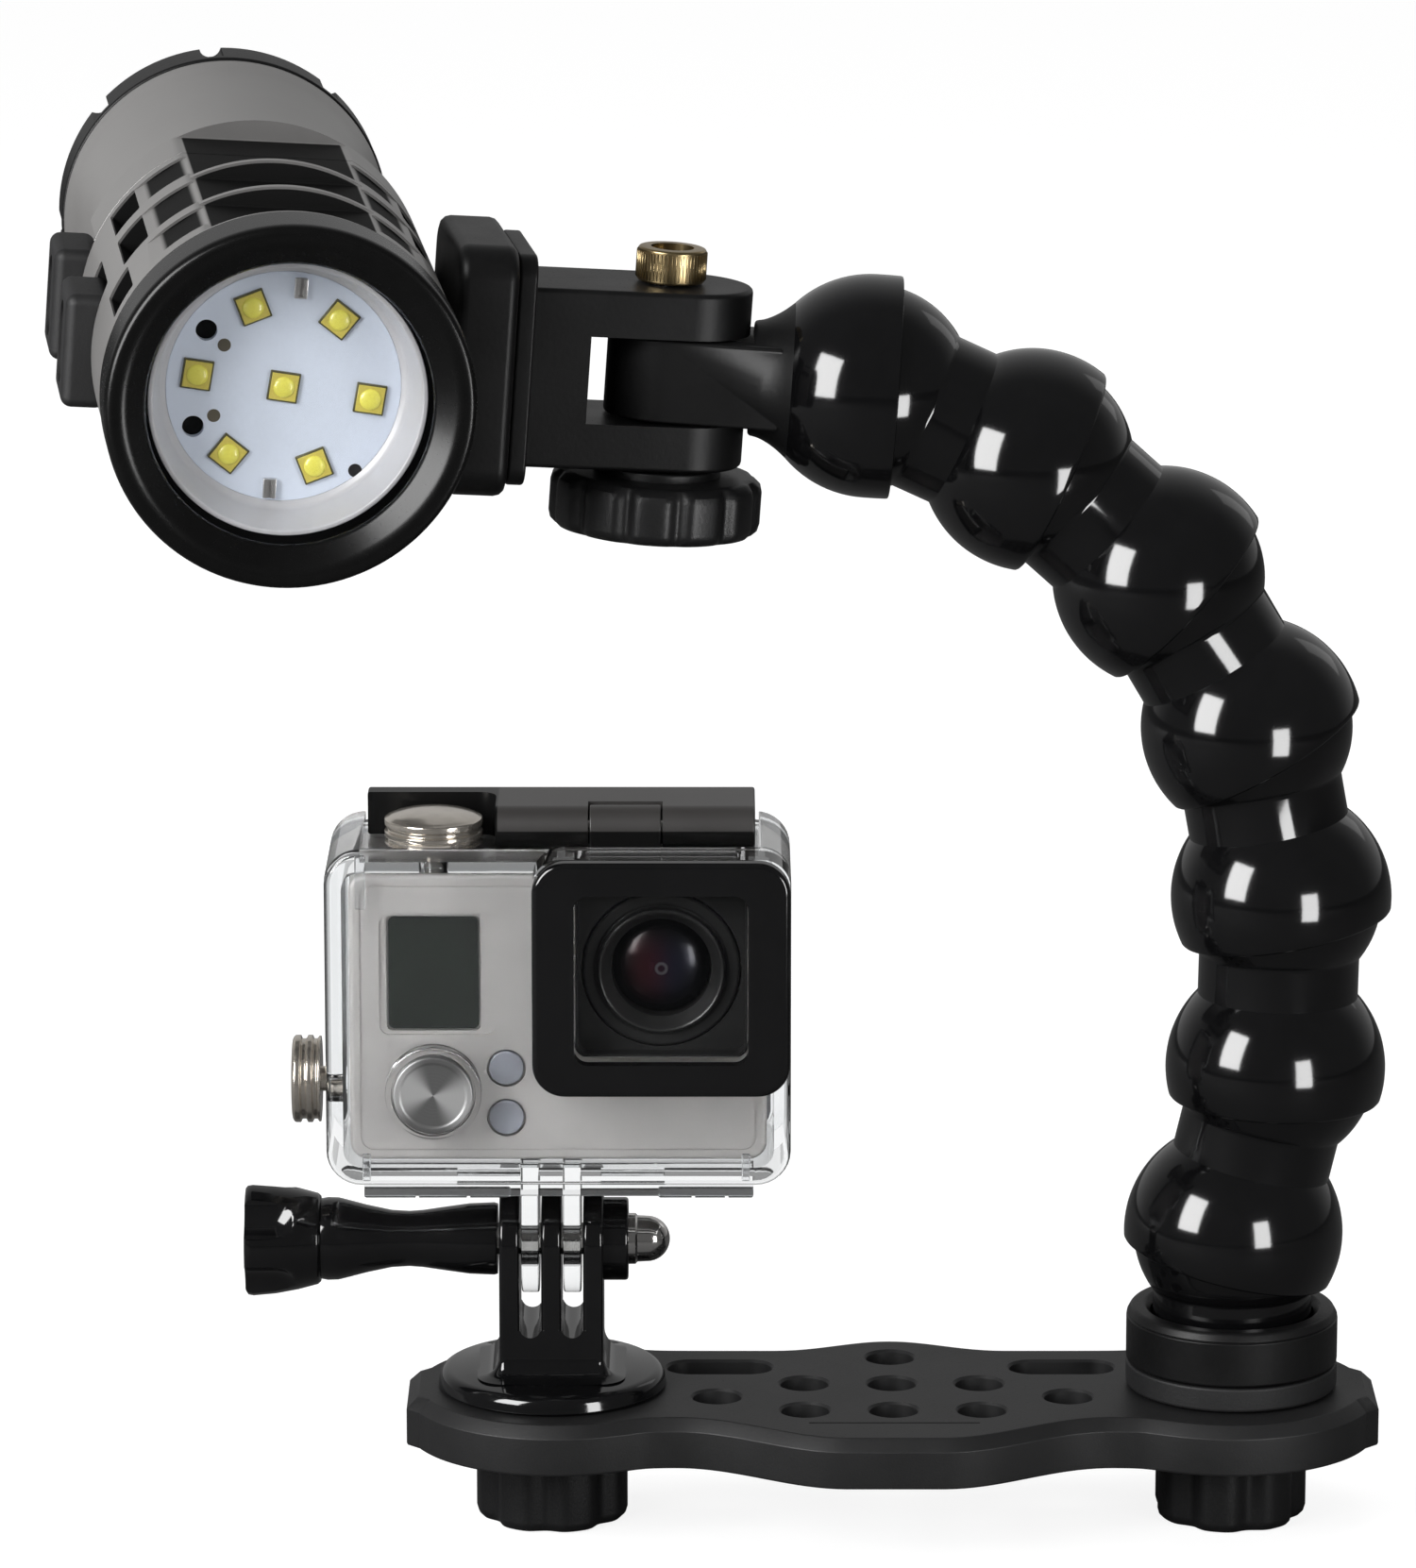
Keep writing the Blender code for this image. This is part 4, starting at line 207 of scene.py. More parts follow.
class Shape:
    """A closed mesh in the making."""

    def __init__(self, mesh: bpy.types.Mesh) -> None:
        """Holds a mesh.

        Args:
            mesh: The mesh that the shape owns.
        """
        self.mesh = mesh

    @classmethod
    def of(cls, points: Iterable[Sequence[float]], faces: Iterable[Sequence[int]]) -> Shape:
        """A shape of given points and faces, its doubles merged and its faces outwards."""
        mesh = bpy.data.meshes.new("shape")
        mesh.from_pydata([tuple(p) for p in points], [], [tuple(f) for f in faces])
        work = bmesh.new()
        work.from_mesh(mesh)
        bmesh.ops.remove_doubles(work, verts=work.verts, dist=1e-7)
        bmesh.ops.recalc_face_normals(work, faces=work.faces)
        work.to_mesh(mesh)
        work.free()
        return cls(mesh)

    @classmethod
    def lathe(cls, profile: Loop, steps: int = 96, closed: bool = False) -> Shape:
        """Turns a profile of (radius, height) points about Z.

        Args:
            profile: The profile, from one pole to the other, or a closed ring section.
            steps: Number of facets round the axis.
            closed: Whether the profile's last point joins its first.

        Returns:
            The turned shape.
        """
        points: list[Sequence[float]] = []
        rings: list[list[int]] = []
        for radius, height in profile:
            if radius < 1e-7:
                rings.append([len(points)] * steps)
                points.append((0.0, 0.0, height))
                continue
            rings.append([len(points) + i for i in range(steps)])
            points += [(radius * cos(2 * pi * i / steps), radius * sin(2 * pi * i / steps), height)
                       for i in range(steps)]
        faces: list[list[int]] = []
        pairs = list(zip(rings, rings[1:]))
        if closed:
            pairs.append((rings[-1], rings[0]))
        for upper, lower in pairs:
            for i in range(steps):
                k = (i + 1) % steps
                corners = [upper[i], lower[i], lower[k], upper[k]]
                face = [c for n, c in enumerate(corners) if c not in corners[:n]]
                if len(face) > 2:
                    faces.append(face)
        return cls.of(points, faces)

    @classmethod
    def loft(cls, loops: Sequence[Sequence[Sequence[float]]]) -> Shape:
        """Joins outlines of equal length into a solid that is closed at both ends."""
        size = len(loops[0])
        points = [p for loop in loops for p in loop]
        faces: list[Sequence[int]] = [list(range(size))[::-1]]
        faces.append([size * (len(loops) - 1) + i for i in range(size)])
        for level in range(len(loops) - 1):
            low, high = level * size, (level + 1) * size
            for i in range(size):
                k = (i + 1) % size
                faces.append([low + i, low + k, high + k, high + i])
        return cls.of(points, faces)

    @classmethod
    def plate(cls, outline: Loop, layers: Sequence[Point]) -> Shape:
        """Stacks insets of one outline.

        Args:
            outline: The closed outline.
            layers: Pairs of (inset, height), from the bottom up.

        Returns:
            The plate.
        """
        return cls.loft([[(x, y, z) for x, y in inset(outline, step)] for step, z in layers])

    @classmethod
    def slab(cls, outline: Loop, low: float, high: float, edge: float = 0.0) -> Shape:
        """A plate between two heights whose rims are rounded by edge."""
        if edge <= 0:
            return cls.plate(outline, [(0, low), (0, high)])
        turns = [radians(a) for a in (0, 30, 60, 90)]
        foot = [(edge * (1 - sin(a)), low + edge * (1 - cos(a))) for a in turns]
        head = [(edge * (1 - cos(a)), high - edge * (1 - sin(a))) for a in turns]
        return cls.plate(outline, foot + head)

    @classmethod
    def block(cls, low: Sequence[float], high: Sequence[float], edge: float = 0.0,
              segments: int = 3) -> Shape:
        """A box between two corners, with rounded edges."""
        low, high = Vector(low), Vector(high)
        size, centre = high - low, (high + low) / 2
        work = bmesh.new()
        bmesh.ops.create_cube(work, size=1.0)
        bmesh.ops.transform(work, matrix=Matrix.Diagonal((*size, 1.0)), verts=work.verts)
        if edge > 0:
            bmesh.ops.bevel(work, geom=list(work.edges), offset=edge, segments=segments,
                            profile=0.5, affect="EDGES")
        bmesh.ops.translate(work, vec=centre, verts=work.verts)
        mesh = bpy.data.meshes.new("block")
        work.to_mesh(mesh)
        work.free()
        return cls(mesh)

    @classmethod
    def rod(cls, radius: float, low: float, high: float, edge: float = 0.0,
            steps: int = 64) -> Shape:
        """A cylinder on Z with rounded rims."""
        profile = [(0, high, 0), (radius, high, edge), (radius, low, edge), (0, low, 0)]
        return cls.lathe(softened(profile, steps=3), steps)

    def placed(self, place: Matrix) -> Shape:
        """Moves the shape by a matrix that neither mirrors nor scales."""
        self.mesh.transform(place)
        return self

    def met(self, way: Join, *others: Shape) -> Shape:
        """Cuts, adds or keeps what other shapes cover, and uses those up.

        Args:
            way: What happens with the others.
            others: The shapes that meet this one.

        Returns:
            This shape, changed.
        """
        owner = bpy.data.objects.new("shape", self.mesh)
        bpy.context.scene.collection.objects.link(owner)
        tools = []
        for other in others:
            tool = bpy.data.objects.new("tool", other.mesh)
            bpy.context.scene.collection.objects.link(tool)
            tools.append(tool)
            step = owner.modifiers.new("meet", "BOOLEAN")
            step.operation = way.value
            step.solver = "EXACT"
            step.object = tool
        self.mesh = evaluated_mesh(owner)
        for item in [owner, *tools]:
            bpy.data.objects.remove(item, do_unlink=True)
        return self

    def cut(self, *others: Shape) -> Shape:
        """Takes the others out of this shape."""
        return self.met(Join.CUT, *others)

    def add(self, *others: Shape) -> Shape:
        """Makes the others part of this shape."""
        return self.met(Join.ADD, *others)


def evaluated_mesh(owner: bpy.types.Object) -> bpy.types.Mesh:
    """The plain mesh that an object's modifiers give."""
    bpy.context.view_layer.update()
    graph = bpy.context.evaluated_depsgraph_get()
    return bpy.data.meshes.new_from_object(owner.evaluated_get(graph))


def turn(axis: str, degrees: float) -> Matrix:
    """A turn about X, Y or Z in degrees."""
    return Matrix.Rotation(radians(degrees), 4, axis)


def shift(x: float = 0.0, y: float = 0.0, z: float = 0.0) -> Matrix:
    """A move along the three axes."""
    return Matrix.Translation((x, y, z))


# Z of a local shape laid along X, along -X, along -Y, and an outline in X and Z run back along Y
ALONG_X = turn("Y", 90)
ALONG_MINUS_X = turn("Y", -90)
FORWARD = turn("X", 90)


def side_on() -> Matrix:
    """Takes an outline of (y, z) with depth along X from its flat XY plane."""
    return Matrix(((0, 0, 1, 0), (1, 0, 0, 0), (0, 1, 0, 0), (0, 0, 0, 1)))


# Places that the frame gives

JOINTS = {joint["name"]: joint for joint in frame["joints"]}


def anchor(joint: str) -> Vector:
    """The point that a joint turns about."""
    return Vector(JOINTS[joint]["pos_m"])


def axis_of(joint: str) -> Vector:
    """The direction of a joint's axis."""
    return Vector(JOINTS[joint]["axis"]).normalized()


def frame_of(origin: Vector, z: Vector, x: Vector) -> Matrix:
    """A frame from its origin, its Z and a direction near its X."""
    z = z.normalized()
    y = z.cross(x).normalized()
    x = y.cross(z)
    made = Matrix((x, y, z)).transposed().to_4x4()
    made.translation = origin
    return made


class Places:
    """The frames of the bodies at rest, worked out from the joints and the boxes."""

    def __init__(self) -> None:
        """Reads the frame."""
        left, right = (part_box(f"{side}_clamp_stud") for side in ("left", "right"))
        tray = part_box("tray_plate")
        self.centre = Vector(((left[0].x + right[1].x) / 2, (left[0].y + left[1].y) / 2, 0))
        self.tray_low, self.tray_top = tray[0].z, tray[1].z
        self.station = (right[0].x + right[1].x) / 2 - self.centre.x
        base = anchor("mount_swivel")
        self.mount = Matrix.Translation((base.x, base.y, self.tray_top))
        self.housing = Matrix.Translation(anchor("housing_tilt"))
        foot = anchor("arm_base_swivel")
        self.arm_base = Matrix.Translation((foot.x, foot.y, self.tray_top))
        balls = [anchor(f"arm_joint_{n}") for n in range(1, 8)] + [anchor("light_swing")]
        side = Vector((0, 1, 0))
        self.links = [frame_of(a, b - a, side.cross(b - a)) for a, b in zip(balls, balls[1:])]
        self.pitch = (balls[1] - balls[0]).length
        self.reach = (balls[7] - balls[6]).length
        bolt, beam = axis_of("light_swing"), axis_of("tail_cap_turn")
        across = bolt.cross(beam)
        self.clevis = frame_of(balls[7], bolt, across)
        self.light = frame_of(anchor("tail_cap_turn"), beam, across)


class HousingSpots:
    """Where the lens and the mode button are, from the boxes of their nodes."""

    def __init__(self) -> None:
        """Reads the boxes."""
        self.lens = self._middle("camera_lens")
        self.mode = self._middle("mode_button")

    @staticmethod
    def _middle(node: str) -> Vector:
        """The middle of a node's box."""
        low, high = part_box(node)
        return (low + high) / 2


# Materials

class Channel:
    """A shader value that takes part in Python sums."""

    def __init__(self, recipe: Recipe, socket: bpy.types.NodeSocket) -> None:
        """Wraps a socket.

        Args:
            recipe: The material that the socket is in.
            socket: The output socket.
        """
        self.recipe, self.socket = recipe, socket

    def _maths(self, operation: str, first: Any, second: Any = None) -> Channel:
        """Adds a Math node for one operation on one or two values."""
        values = {0: first} if second is None else {0: first, 1: second}
        made = self.recipe.node("ShaderNodeMath", {"operation": operation}, values)
        return Channel(self.recipe, made.outputs[0])

    def __add__(self, other: Any) -> Channel:
        """This value plus another."""
        return self._maths("ADD", self, other)

    __radd__ = __add__

    def __sub__(self, other: Any) -> Channel:
        """This value less another."""
        return self._maths("SUBTRACT", self, other)

    def __rsub__(self, other: Any) -> Channel:
        """Another value less this one."""
        return self._maths("SUBTRACT", other, self)

    def __mul__(self, other: Any) -> Channel:
        """This value times another."""
        return self._maths("MULTIPLY", self, other)

    __rmul__ = __mul__

    def __truediv__(self, other: Any) -> Channel:
        """This value over another."""
        return self._maths("DIVIDE", self, other)

    def __rtruediv__(self, other: Any) -> Channel:
        """Another value over this one."""
        return self._maths("DIVIDE", other, self)

    def __pow__(self, other: Any) -> Channel:
        """This value to a power."""
        return self._maths("POWER", self, other)

    def bounded(self) -> Channel:
        """This value held between 0 and 1."""
        made = self.recipe.node("ShaderNodeClamp", {}, {"Value": self})
        return Channel(self.recipe, made.outputs[0])

    def over(self, low: float, high: float) -> Channel:
        """A smooth step from 0 to 1 as this value goes from low to high."""
        made = self.recipe.node("ShaderNodeMapRange", {"interpolation_type": "SMOOTHSTEP"},
                                {"Value": self, "From Min": low, "From Max": high})
        return Channel(self.recipe, made.outputs[0])


class Recipe:
    """The nodes of one material."""

    def __init__(self, name: str) -> None:
        """Starts a material.

        Args:
            name: The material's name.
        """
        self.material = bpy.data.materials.new(name)
        self.material.use_nodes = True
        self.tree = self.material.node_tree
        self.shader = self.tree.nodes["Principled BSDF"]

    def node(self, kind: str, settings: dict[str, Any] | None = None,
             values: dict[Any, Any] | None = None) -> bpy.types.Node:
        """Makes one node.

        Args:
            kind: The node's type.
            settings: Its own settings, such as an operation.
            values: What its sockets hold, by name or number: a number, colour or output.

        Returns:
            The node.
        """
        made = self.tree.nodes.new(kind)
        for key, value in (settings or {}).items():
            setattr(made, key, value)
        for key, value in (values or {}).items():
            self.feed(made.inputs[key], value)
        return made

    def feed(self, socket: bpy.types.NodeSocket, value: Any) -> None:
        """Links a value to a socket, or sets it there."""
        if isinstance(value, Channel):
            self.tree.links.new(value.socket, socket)
        elif isinstance(value, bpy.types.NodeSocket):
            self.tree.links.new(value, socket)
        else:
            socket.default_value = value

    def dress(self, **values: Any) -> None:
        """Feeds the shader's sockets; an underscore in a name stands for a space."""
        for key, value in values.items():
            self.feed(self.shader.inputs[key.replace("_", " ")], value)

    def place(self, frame_matrix: Matrix | None = None, scale: Sequence[float] = (1, 1, 1)) -> Any:
        """Object coordinates, brought into a piece's own frame.

        Args:
            frame_matrix: The frame, or None for the object's own.
            scale: Stretch along each axis, after that.

        Returns:
            The coordinates' socket.
        """
        spot = self.node("ShaderNodeTexCoord").outputs["Object"]
        if frame_matrix is not None:
            back = frame_matrix.inverted()
            spot = self.node("ShaderNodeMapping", {}, {
                "Vector": spot, "Location": back.translation, "Rotation": back.to_euler()}).outputs[0]
        if tuple(scale) != (1, 1, 1):
            spot = self.node("ShaderNodeMapping", {}, {"Vector": spot, "Scale": scale}).outputs[0]
        return spot

    def noise(self, spot: Any, scale: float, detail: float = 2.0, rough: float = 0.5) -> Channel:
        """Cloudy noise between 0 and 1, its scale in cells to a metre."""
        made = self.node("ShaderNodeTexNoise", {}, {
            "Vector": spot, "Scale": scale, "Detail": detail, "Roughness": rough})
        return Channel(self, made.outputs["Fac"])

    def blend(self, share: Any, one: Any, two: Any) -> Any:
        """A colour between two colours, each given as three numbers or a socket."""
        colours = [(*c, 1.0) if isinstance(c, tuple) else c for c in (one, two)]
        made = self.node("ShaderNodeMix", {"data_type": "RGBA"}, {
            0: share, 6: colours[0], 7: colours[1]})
        return made.outputs[2]

    def relief(self, height: Any, depth: float, strength: float = 1.0) -> Any:
        """A normal from a height that spans the given depth in metres."""
        made = self.node("ShaderNodeBump", {}, {
            "Height": height, "Distance": depth, "Strength": strength})
        return made.outputs["Normal"]


@dataclass(frozen=True)
class Moulded:
    """Moulded or coated surface with a fine skin, faint clouds of gloss and some dust.

    The colour changes a little in clouds, and the skin's grain is a real relief.
    """

    name: str
    colour: tuple[float, float, float]
    roughness: float
    grain: float = 900.0
    depth: float = 0.02 * MM
    clouds: float = 0.25
    dust: float = 0.3
    specular: float = 0.5
    metallic: float = 0.0

    def material(self) -> bpy.types.Material:
        """Builds the material."""
        r = Recipe(self.name)
        spot = r.place()
        cloud = r.noise(spot, 90.0, 4.0, 0.6)
        skin = r.noise(spot, self.grain, 3.0, 0.55)
        fleck = r.noise(spot, 2600.0, 1.0, 0.4).over(0.66, 0.74)
        share = (cloud * 0.7 + skin * 0.3).over(0.3, 0.7)
        low = tuple(c * (1 - self.clouds * 0.35) for c in self.colour)
        high = tuple(c * (1 + self.clouds * 0.5) + 0.002 * self.clouds for c in self.colour)
        rough = self.roughness * (1 - self.clouds * 0.4 + cloud * self.clouds * 0.8)
        r.dress(Base_Color=r.blend(share, low, high), Metallic=self.metallic,
                Roughness=(rough + fleck * self.dust * 0.25).bounded(),
                Specular_IOR_Level=self.specular,
                Normal=r.relief(skin, self.depth))
        return r.material


@dataclass(frozen=True)
class Metal:
    """Polished, brushed or turned metal with fine marks along one direction."""

    name: str
    colour: tuple[float, float, float]
    roughness: float
    stretch: tuple[float, float, float] = (1.0, 1.0, 0.04)
    marks: float = 1800.0
    depth: float = 0.004 * MM
    tarnish: float = 0.2
    metallic: float = 1.0

    def material(self) -> bpy.types.Material:
        """Builds the material."""
        r = Recipe(self.name)
        spot = r.place(scale=self.stretch)
        marks = r.noise(spot, self.marks, 3.0, 0.6)
        stain = r.noise(r.place(), 160.0, 3.0, 0.6).over(0.35, 0.75)
        dark = tuple(c * (1 - self.tarnish) for c in self.colour)
        r.dress(Base_Color=r.blend(stain, self.colour, dark), Metallic=self.metallic,
                Roughness=(self.roughness * (0.7 + marks * 0.6) + stain * self.tarnish * 0.15),
                Normal=r.relief(marks, self.depth))
        return r.material


@dataclass(frozen=True)
class Clear:
    """Clear plastic or glass, with faint scuffs on its skin."""

    name: str
    colour: tuple[float, float, float] = (0.97, 0.98, 0.985)
    roughness: float = 0.02
    bend: float = 1.45
    scuffs: float = 0.06

    def material(self) -> bpy.types.Material:
        """Builds the material."""
        r = Recipe(self.name)
        spot = r.place()
        haze = r.noise(spot, 120.0, 5.0, 0.7).over(0.5, 0.8)
        ripple = r.noise(spot, 260.0, 2.0, 0.5)
        tint = tuple(c * 0.985 for c in self.colour)
        r.dress(Base_Color=r.blend(haze, self.colour, tint), Transmission_Weight=1.0,
                IOR=self.bend, Roughness=self.roughness + haze * self.scuffs,
                Normal=r.relief(ripple, 0.004 * MM))
        return r.material


@dataclass(frozen=True)
class Pane:
    """A flat window that is nearly all see-through, with a little haze."""

    name: str

    def material(self) -> bpy.types.Material:
        """Builds the material."""
        r = Recipe(self.name)
        haze = r.noise(r.place(), 140.0, 4.0, 0.6)
        r.dress(Base_Color=r.blend(haze, (0.02, 0.022, 0.024), (0.04, 0.04, 0.042)),
                Roughness=0.03 + haze * 0.03, Alpha=0.03 + haze * 0.02)
        return r.material


@dataclass(frozen=True)
class HeadCoat:
    """Grey anodising of the light's head, with painted shade: black painted inside its deep slots and
    facets, but not on the rear slot's back wall.
    """

    name: str
    grey: tuple[float, float, float]
    black: tuple[float, float, float]
    radius: float
    back_wall: float

    def material(self) -> bpy.types.Material:
        """Builds the material."""
        r = Recipe(self.name)
        spot = r.place(Places().light)
        parts = r.node("ShaderNodeSeparateXYZ", {}, {0: spot})
        across, up, along = (Channel(r, parts.outputs[n]) for n in range(3))
        reach = (across * across + up * up) ** 0.5
        # Painted shade: below the rim, inside the slots and facets, the colour is painted black; the rear
        # slot's back wall stays grey.
        deep = reach.over(self.radius - 0.30 * MM, self.radius - 0.42 * MM)
        ahead = along.over(self.back_wall, self.back_wall + 0.15 * MM)
        cloud = r.noise(spot, 120.0, 4.0, 0.6)
        skin = r.noise(spot, 2800.0, 3.0, 0.55)
        pale = tuple(c * 1.18 for c in self.grey)
        share = (deep * ahead).bounded()
        shade = r.blend(share, r.blend(cloud, self.grey, pale), self.black)
        r.dress(Base_Color=shade, Metallic=0.4 * (1 - share), Roughness=0.33 + cloud * 0.08 + share * 0.25,
                Specular_IOR_Level=0.4 - share * 0.32,
                Normal=r.relief(skin, 0.010 * MM))
        return r.material


@dataclass(frozen=True)
class LatchPaintedLight:
    """Black latch with painted light: its upper half right of the shutter is painted grey, standing in for
    light falling on its top.
    """

    name: str
    grey: tuple[float, float, float]
    black: tuple[float, float, float]
    notch: float

    def material(self) -> bpy.types.Material:
        """Builds the material."""
        r = Recipe(self.name)
        low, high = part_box("housing_latch_bar")
        parts = r.node("ShaderNodeSeparateXYZ", {}, {0: r.place()})
        across, up = Channel(r, parts.outputs[0]), Channel(r, parts.outputs[2])
        middle = low.z + (high.z - low.z) * 0.5
        start = low.x + self.notch
        # Painted light: the upper half, right of the notch, is painted grey with lighter clouds.
        share = up.over(middle - 0.1 * MM, middle + 0.1 * MM) * across.over(start, start + 0.2 * MM)
        cloud = r.noise(r.place(), 110.0, 4.0, 0.6)
        pale = tuple(c * 1.3 for c in self.grey)
        r.dress(Base_Color=r.blend(share, self.black, r.blend(cloud, self.grey, pale)),
                Roughness=0.26 + share * 0.1 + cloud * 0.06, Specular_IOR_Level=0.12 + share * 0.3,
                Normal=r.relief(r.noise(r.place(), 1200.0, 3.0), 0.006 * MM))
        return r.material


@dataclass(frozen=True)
class Emitter:
    """The yellow coat over an emitter, brighter in the middle of its dome."""

    name: str
    colour: tuple[float, float, float]

    def material(self) -> bpy.types.Material:
        """Builds the material."""
        r = Recipe(self.name)
        grain = r.noise(r.place(), 3500.0, 3.0, 0.6)
        pale = tuple(min(1.0, c * 1.25 + 0.04) for c in self.colour)
        r.dress(Base_Color=r.blend(grain, self.colour, pale), Roughness=0.35 + grain * 0.15,
                Coat_Weight=0.5, Normal=r.relief(grain, 0.01 * MM))
        return r.material


@dataclass(frozen=True)
class Turned:
    """A disc with fine turned rings and a painted sheen: its colour is painted bright and dark in wedges
    about its middle.
    """

    name: str
    colour: tuple[float, float, float]
    facing: float = -13.0

    def material(self) -> bpy.types.Material:
        """Builds the material."""
        r = Recipe(self.name)
        middle = HousingSpots().mode
        spot = r.place(frame_of(middle, Vector((0, -1, 0)), Vector((1, 0, 0))))
        parts = r.node("ShaderNodeSeparateXYZ", {}, {0: spot})
        across, up = (Channel(r, parts.outputs[n]) for n in (0, 1))
        radius = (across * across + up * up) ** 0.5
        # Painted highlight and painted shade: the colour is painted bright and dark in wedges about the
        # middle, leaned by the facing angle.
        lean = radians(self.facing) * 2
        double = (across * across - up * up) / (radius * radius + 1e-9)
        cross = (across * up * 2) / (radius * radius + 1e-9)
        painted_sheen_wedge = (double * cos(lean) + cross * sin(lean)).over(-0.75, 0.95)
        rings = r.noise(r.node("ShaderNodeCombineXYZ", {}, {"X": radius}).outputs[0], 9000.0, 2.0)
        # A shaded and a lit copy of the steel's colour, for the painted wedges.
        dark = tuple(c * 0.28 for c in self.colour)
        painted_highlight_colour = tuple(min(c * 1.75, 0.9) for c in self.colour)
        r.dress(Base_Color=r.blend((painted_sheen_wedge * 0.8 + rings * 0.2).bounded(), dark, painted_highlight_colour),
                Metallic=0.35, Roughness=0.34 + rings * 0.1, Specular_IOR_Level=0.4,
                Normal=r.relief(rings, 0.004 * MM))
        return r.material


@dataclass(frozen=True)
class PaintedReflectionLens:
    """Dark lens glass with painted reflections: reddish on the left, bluish on the right, fading to near
    black at the rim, with a pale painted glint ring at the middle.
    """

    name: str

    def material(self) -> bpy.types.Material:
        """Builds the material."""
        r = Recipe(self.name)
        spot = r.place(frame_of(HousingSpots().lens, Vector((0, -1, 0)), Vector((1, 0, 0))))
        parts = r.node("ShaderNodeSeparateXYZ", {}, {0: spot})
        across, up = (Channel(r, parts.outputs[n]) for n in (0, 1))
        radius = (across * across + up * up) ** 0.5
        cloud = r.noise(spot, 160.0, 2.0)
        # Painted reflection: reddish on the left and bluish on the right, strongest at the middle and near
        # black towards the rim.
        side = (across + cloud * 0.6 * MM).over(-3.0 * MM, 3.0 * MM)
        tint = r.blend(side, (0.040, 0.006, 0.010), (0.010, 0.011, 0.024))
        deep = radius.over(6.4 * MM, 1.2 * MM)
        core = r.blend(deep, (0.002, 0.002, 0.0025), tint)
        # Painted glint: a pale ring about the lens's middle.
        painted_glint_ring = radius.over(0.42 * MM, 0.62 * MM) * radius.over(1.0 * MM, 0.8 * MM)
        r.dress(Base_Color=r.blend(painted_glint_ring, core, (0.09, 0.085, 0.095)), Metallic=0.5,
                Roughness=0.22 + cloud * 0.06, Specular_IOR_Level=0.3, Coat_Weight=0.12,
                Coat_Roughness=0.06)
        return r.material


GLOSS_BLACK = Moulded("gloss_black", (0.0030, 0.0030, 0.0033), 0.095, 420.0, 0.005 * MM, 0.3, 0.15,
                      0.56)
BEZEL_BLACK = Moulded("bezel_black", (0.0032, 0.0032, 0.0032), 0.26, 500.0, 0.003 * MM, 0.25, 0.1,
                      0.22)
SATIN_BLACK = Moulded("satin_black", (0.0045, 0.0045, 0.0047), 0.42, 1500.0, 0.02 * MM, 0.35, 0.3,
                      0.22)
GRIP_BLACK = Moulded("grip_black", (0.0062, 0.0062, 0.0066), 0.42, 2200.0, 0.03 * MM, 0.3, 0.35,
                     0.36)
ANODISED = Moulded("anodised_grey", (0.0090, 0.0090, 0.0094), 0.50, 3200.0, 0.018 * MM, 0.3, 0.35,
                   0.36)
RUBBER = Moulded("rubber_black", (0.0085, 0.0085, 0.0090), 0.60, 2600.0, 0.03 * MM, 0.4, 0.5, 0.35)
SILVER_FACE = Moulded("silver_paint", (0.60, 0.575, 0.560), 0.42, 5200.0, 0.010 * MM, 0.12, 0.2,
                      0.5, 0.25)
LCD = Moulded("display_green", (0.009, 0.0145, 0.0105), 0.22, 700.0, 0.002 * MM, 0.35, 0.1, 0.08)
WINDOW = Moulded("window_blue", (0.36, 0.375, 0.43), 0.22, 900.0, 0.004 * MM, 0.12, 0.1)
DIFFUSER = Moulded("diffuser_white", (0.56, 0.56, 0.58), 0.38, 1200.0, 0.006 * MM, 0.1, 0.1)
BOARD = Moulded("board_white", (0.74, 0.81, 0.93), 0.34, 1800.0, 0.004 * MM, 0.1, 0.1)
PANEL_BLACK = Moulded("lens_panel", (0.0175, 0.0175, 0.0175), 0.30, 1500.0, 0.004 * MM, 0.2, 0.1,
                      0.3)
CHIP_EDGE = Moulded("emitter_base", (0.085, 0.080, 0.030), 0.4, 1800.0, 0.004 * MM)
HOLE_DARK = Moulded("hole_dark", (0.006, 0.006, 0.007), 0.5)
HOLE_BROWN = Moulded("hole_brown", (0.10, 0.085, 0.055), 0.5)
SEAL = Moulded("seal_grey", (0.30, 0.31, 0.32), 0.55, 1500.0, 0.01 * MM)
CELL_WRAP = Moulded("cell_wrap", (0.04, 0.10, 0.26), 0.35)
CHROME = Metal("chrome", (0.70, 0.685, 0.67), 0.10)
STEEL = Metal("steel", (0.60, 0.59, 0.57), 0.24)
SOLDER = Metal("solder", (0.62, 0.61, 0.60), 0.35)
BRASS = Metal("brass", (0.36, 0.275, 0.145), 0.30)
CHAMPAGNE = Metal("champagne", (0.70, 0.65, 0.58), 0.17, metallic=0.9)
POLYCARBONATE = Clear("clear_shell")
PHOSPHOR = Emitter("emitter_yellow", (0.60, 0.50, 0.075))
GLOW = Emitter("emitter_dome", (0.84, 0.74, 0.09))
# Turned steel whose sheen is painted into its colour in wedges.
TURNED_PAINTED_SHEEN = Turned("turned_steel_painted_sheen", (0.25, 0.25, 0.25))
# Lens glass with painted reflections and a painted glint.
LENS_PAINTED_REFLECTION = PaintedReflectionLens("lens_painted_reflection")
CLEAR_PANE = Pane("clear_pane")
# Grey anodising with painted shade in its slots.
HEAD_GREY_PAINTED_SLOT_SHADE = HeadCoat("head_coat_painted_slot_shade", (0.185, 0.181, 0.178), (0.0050, 0.0050, 0.0050), 25.3 * MM,
                     -28.95 * MM)
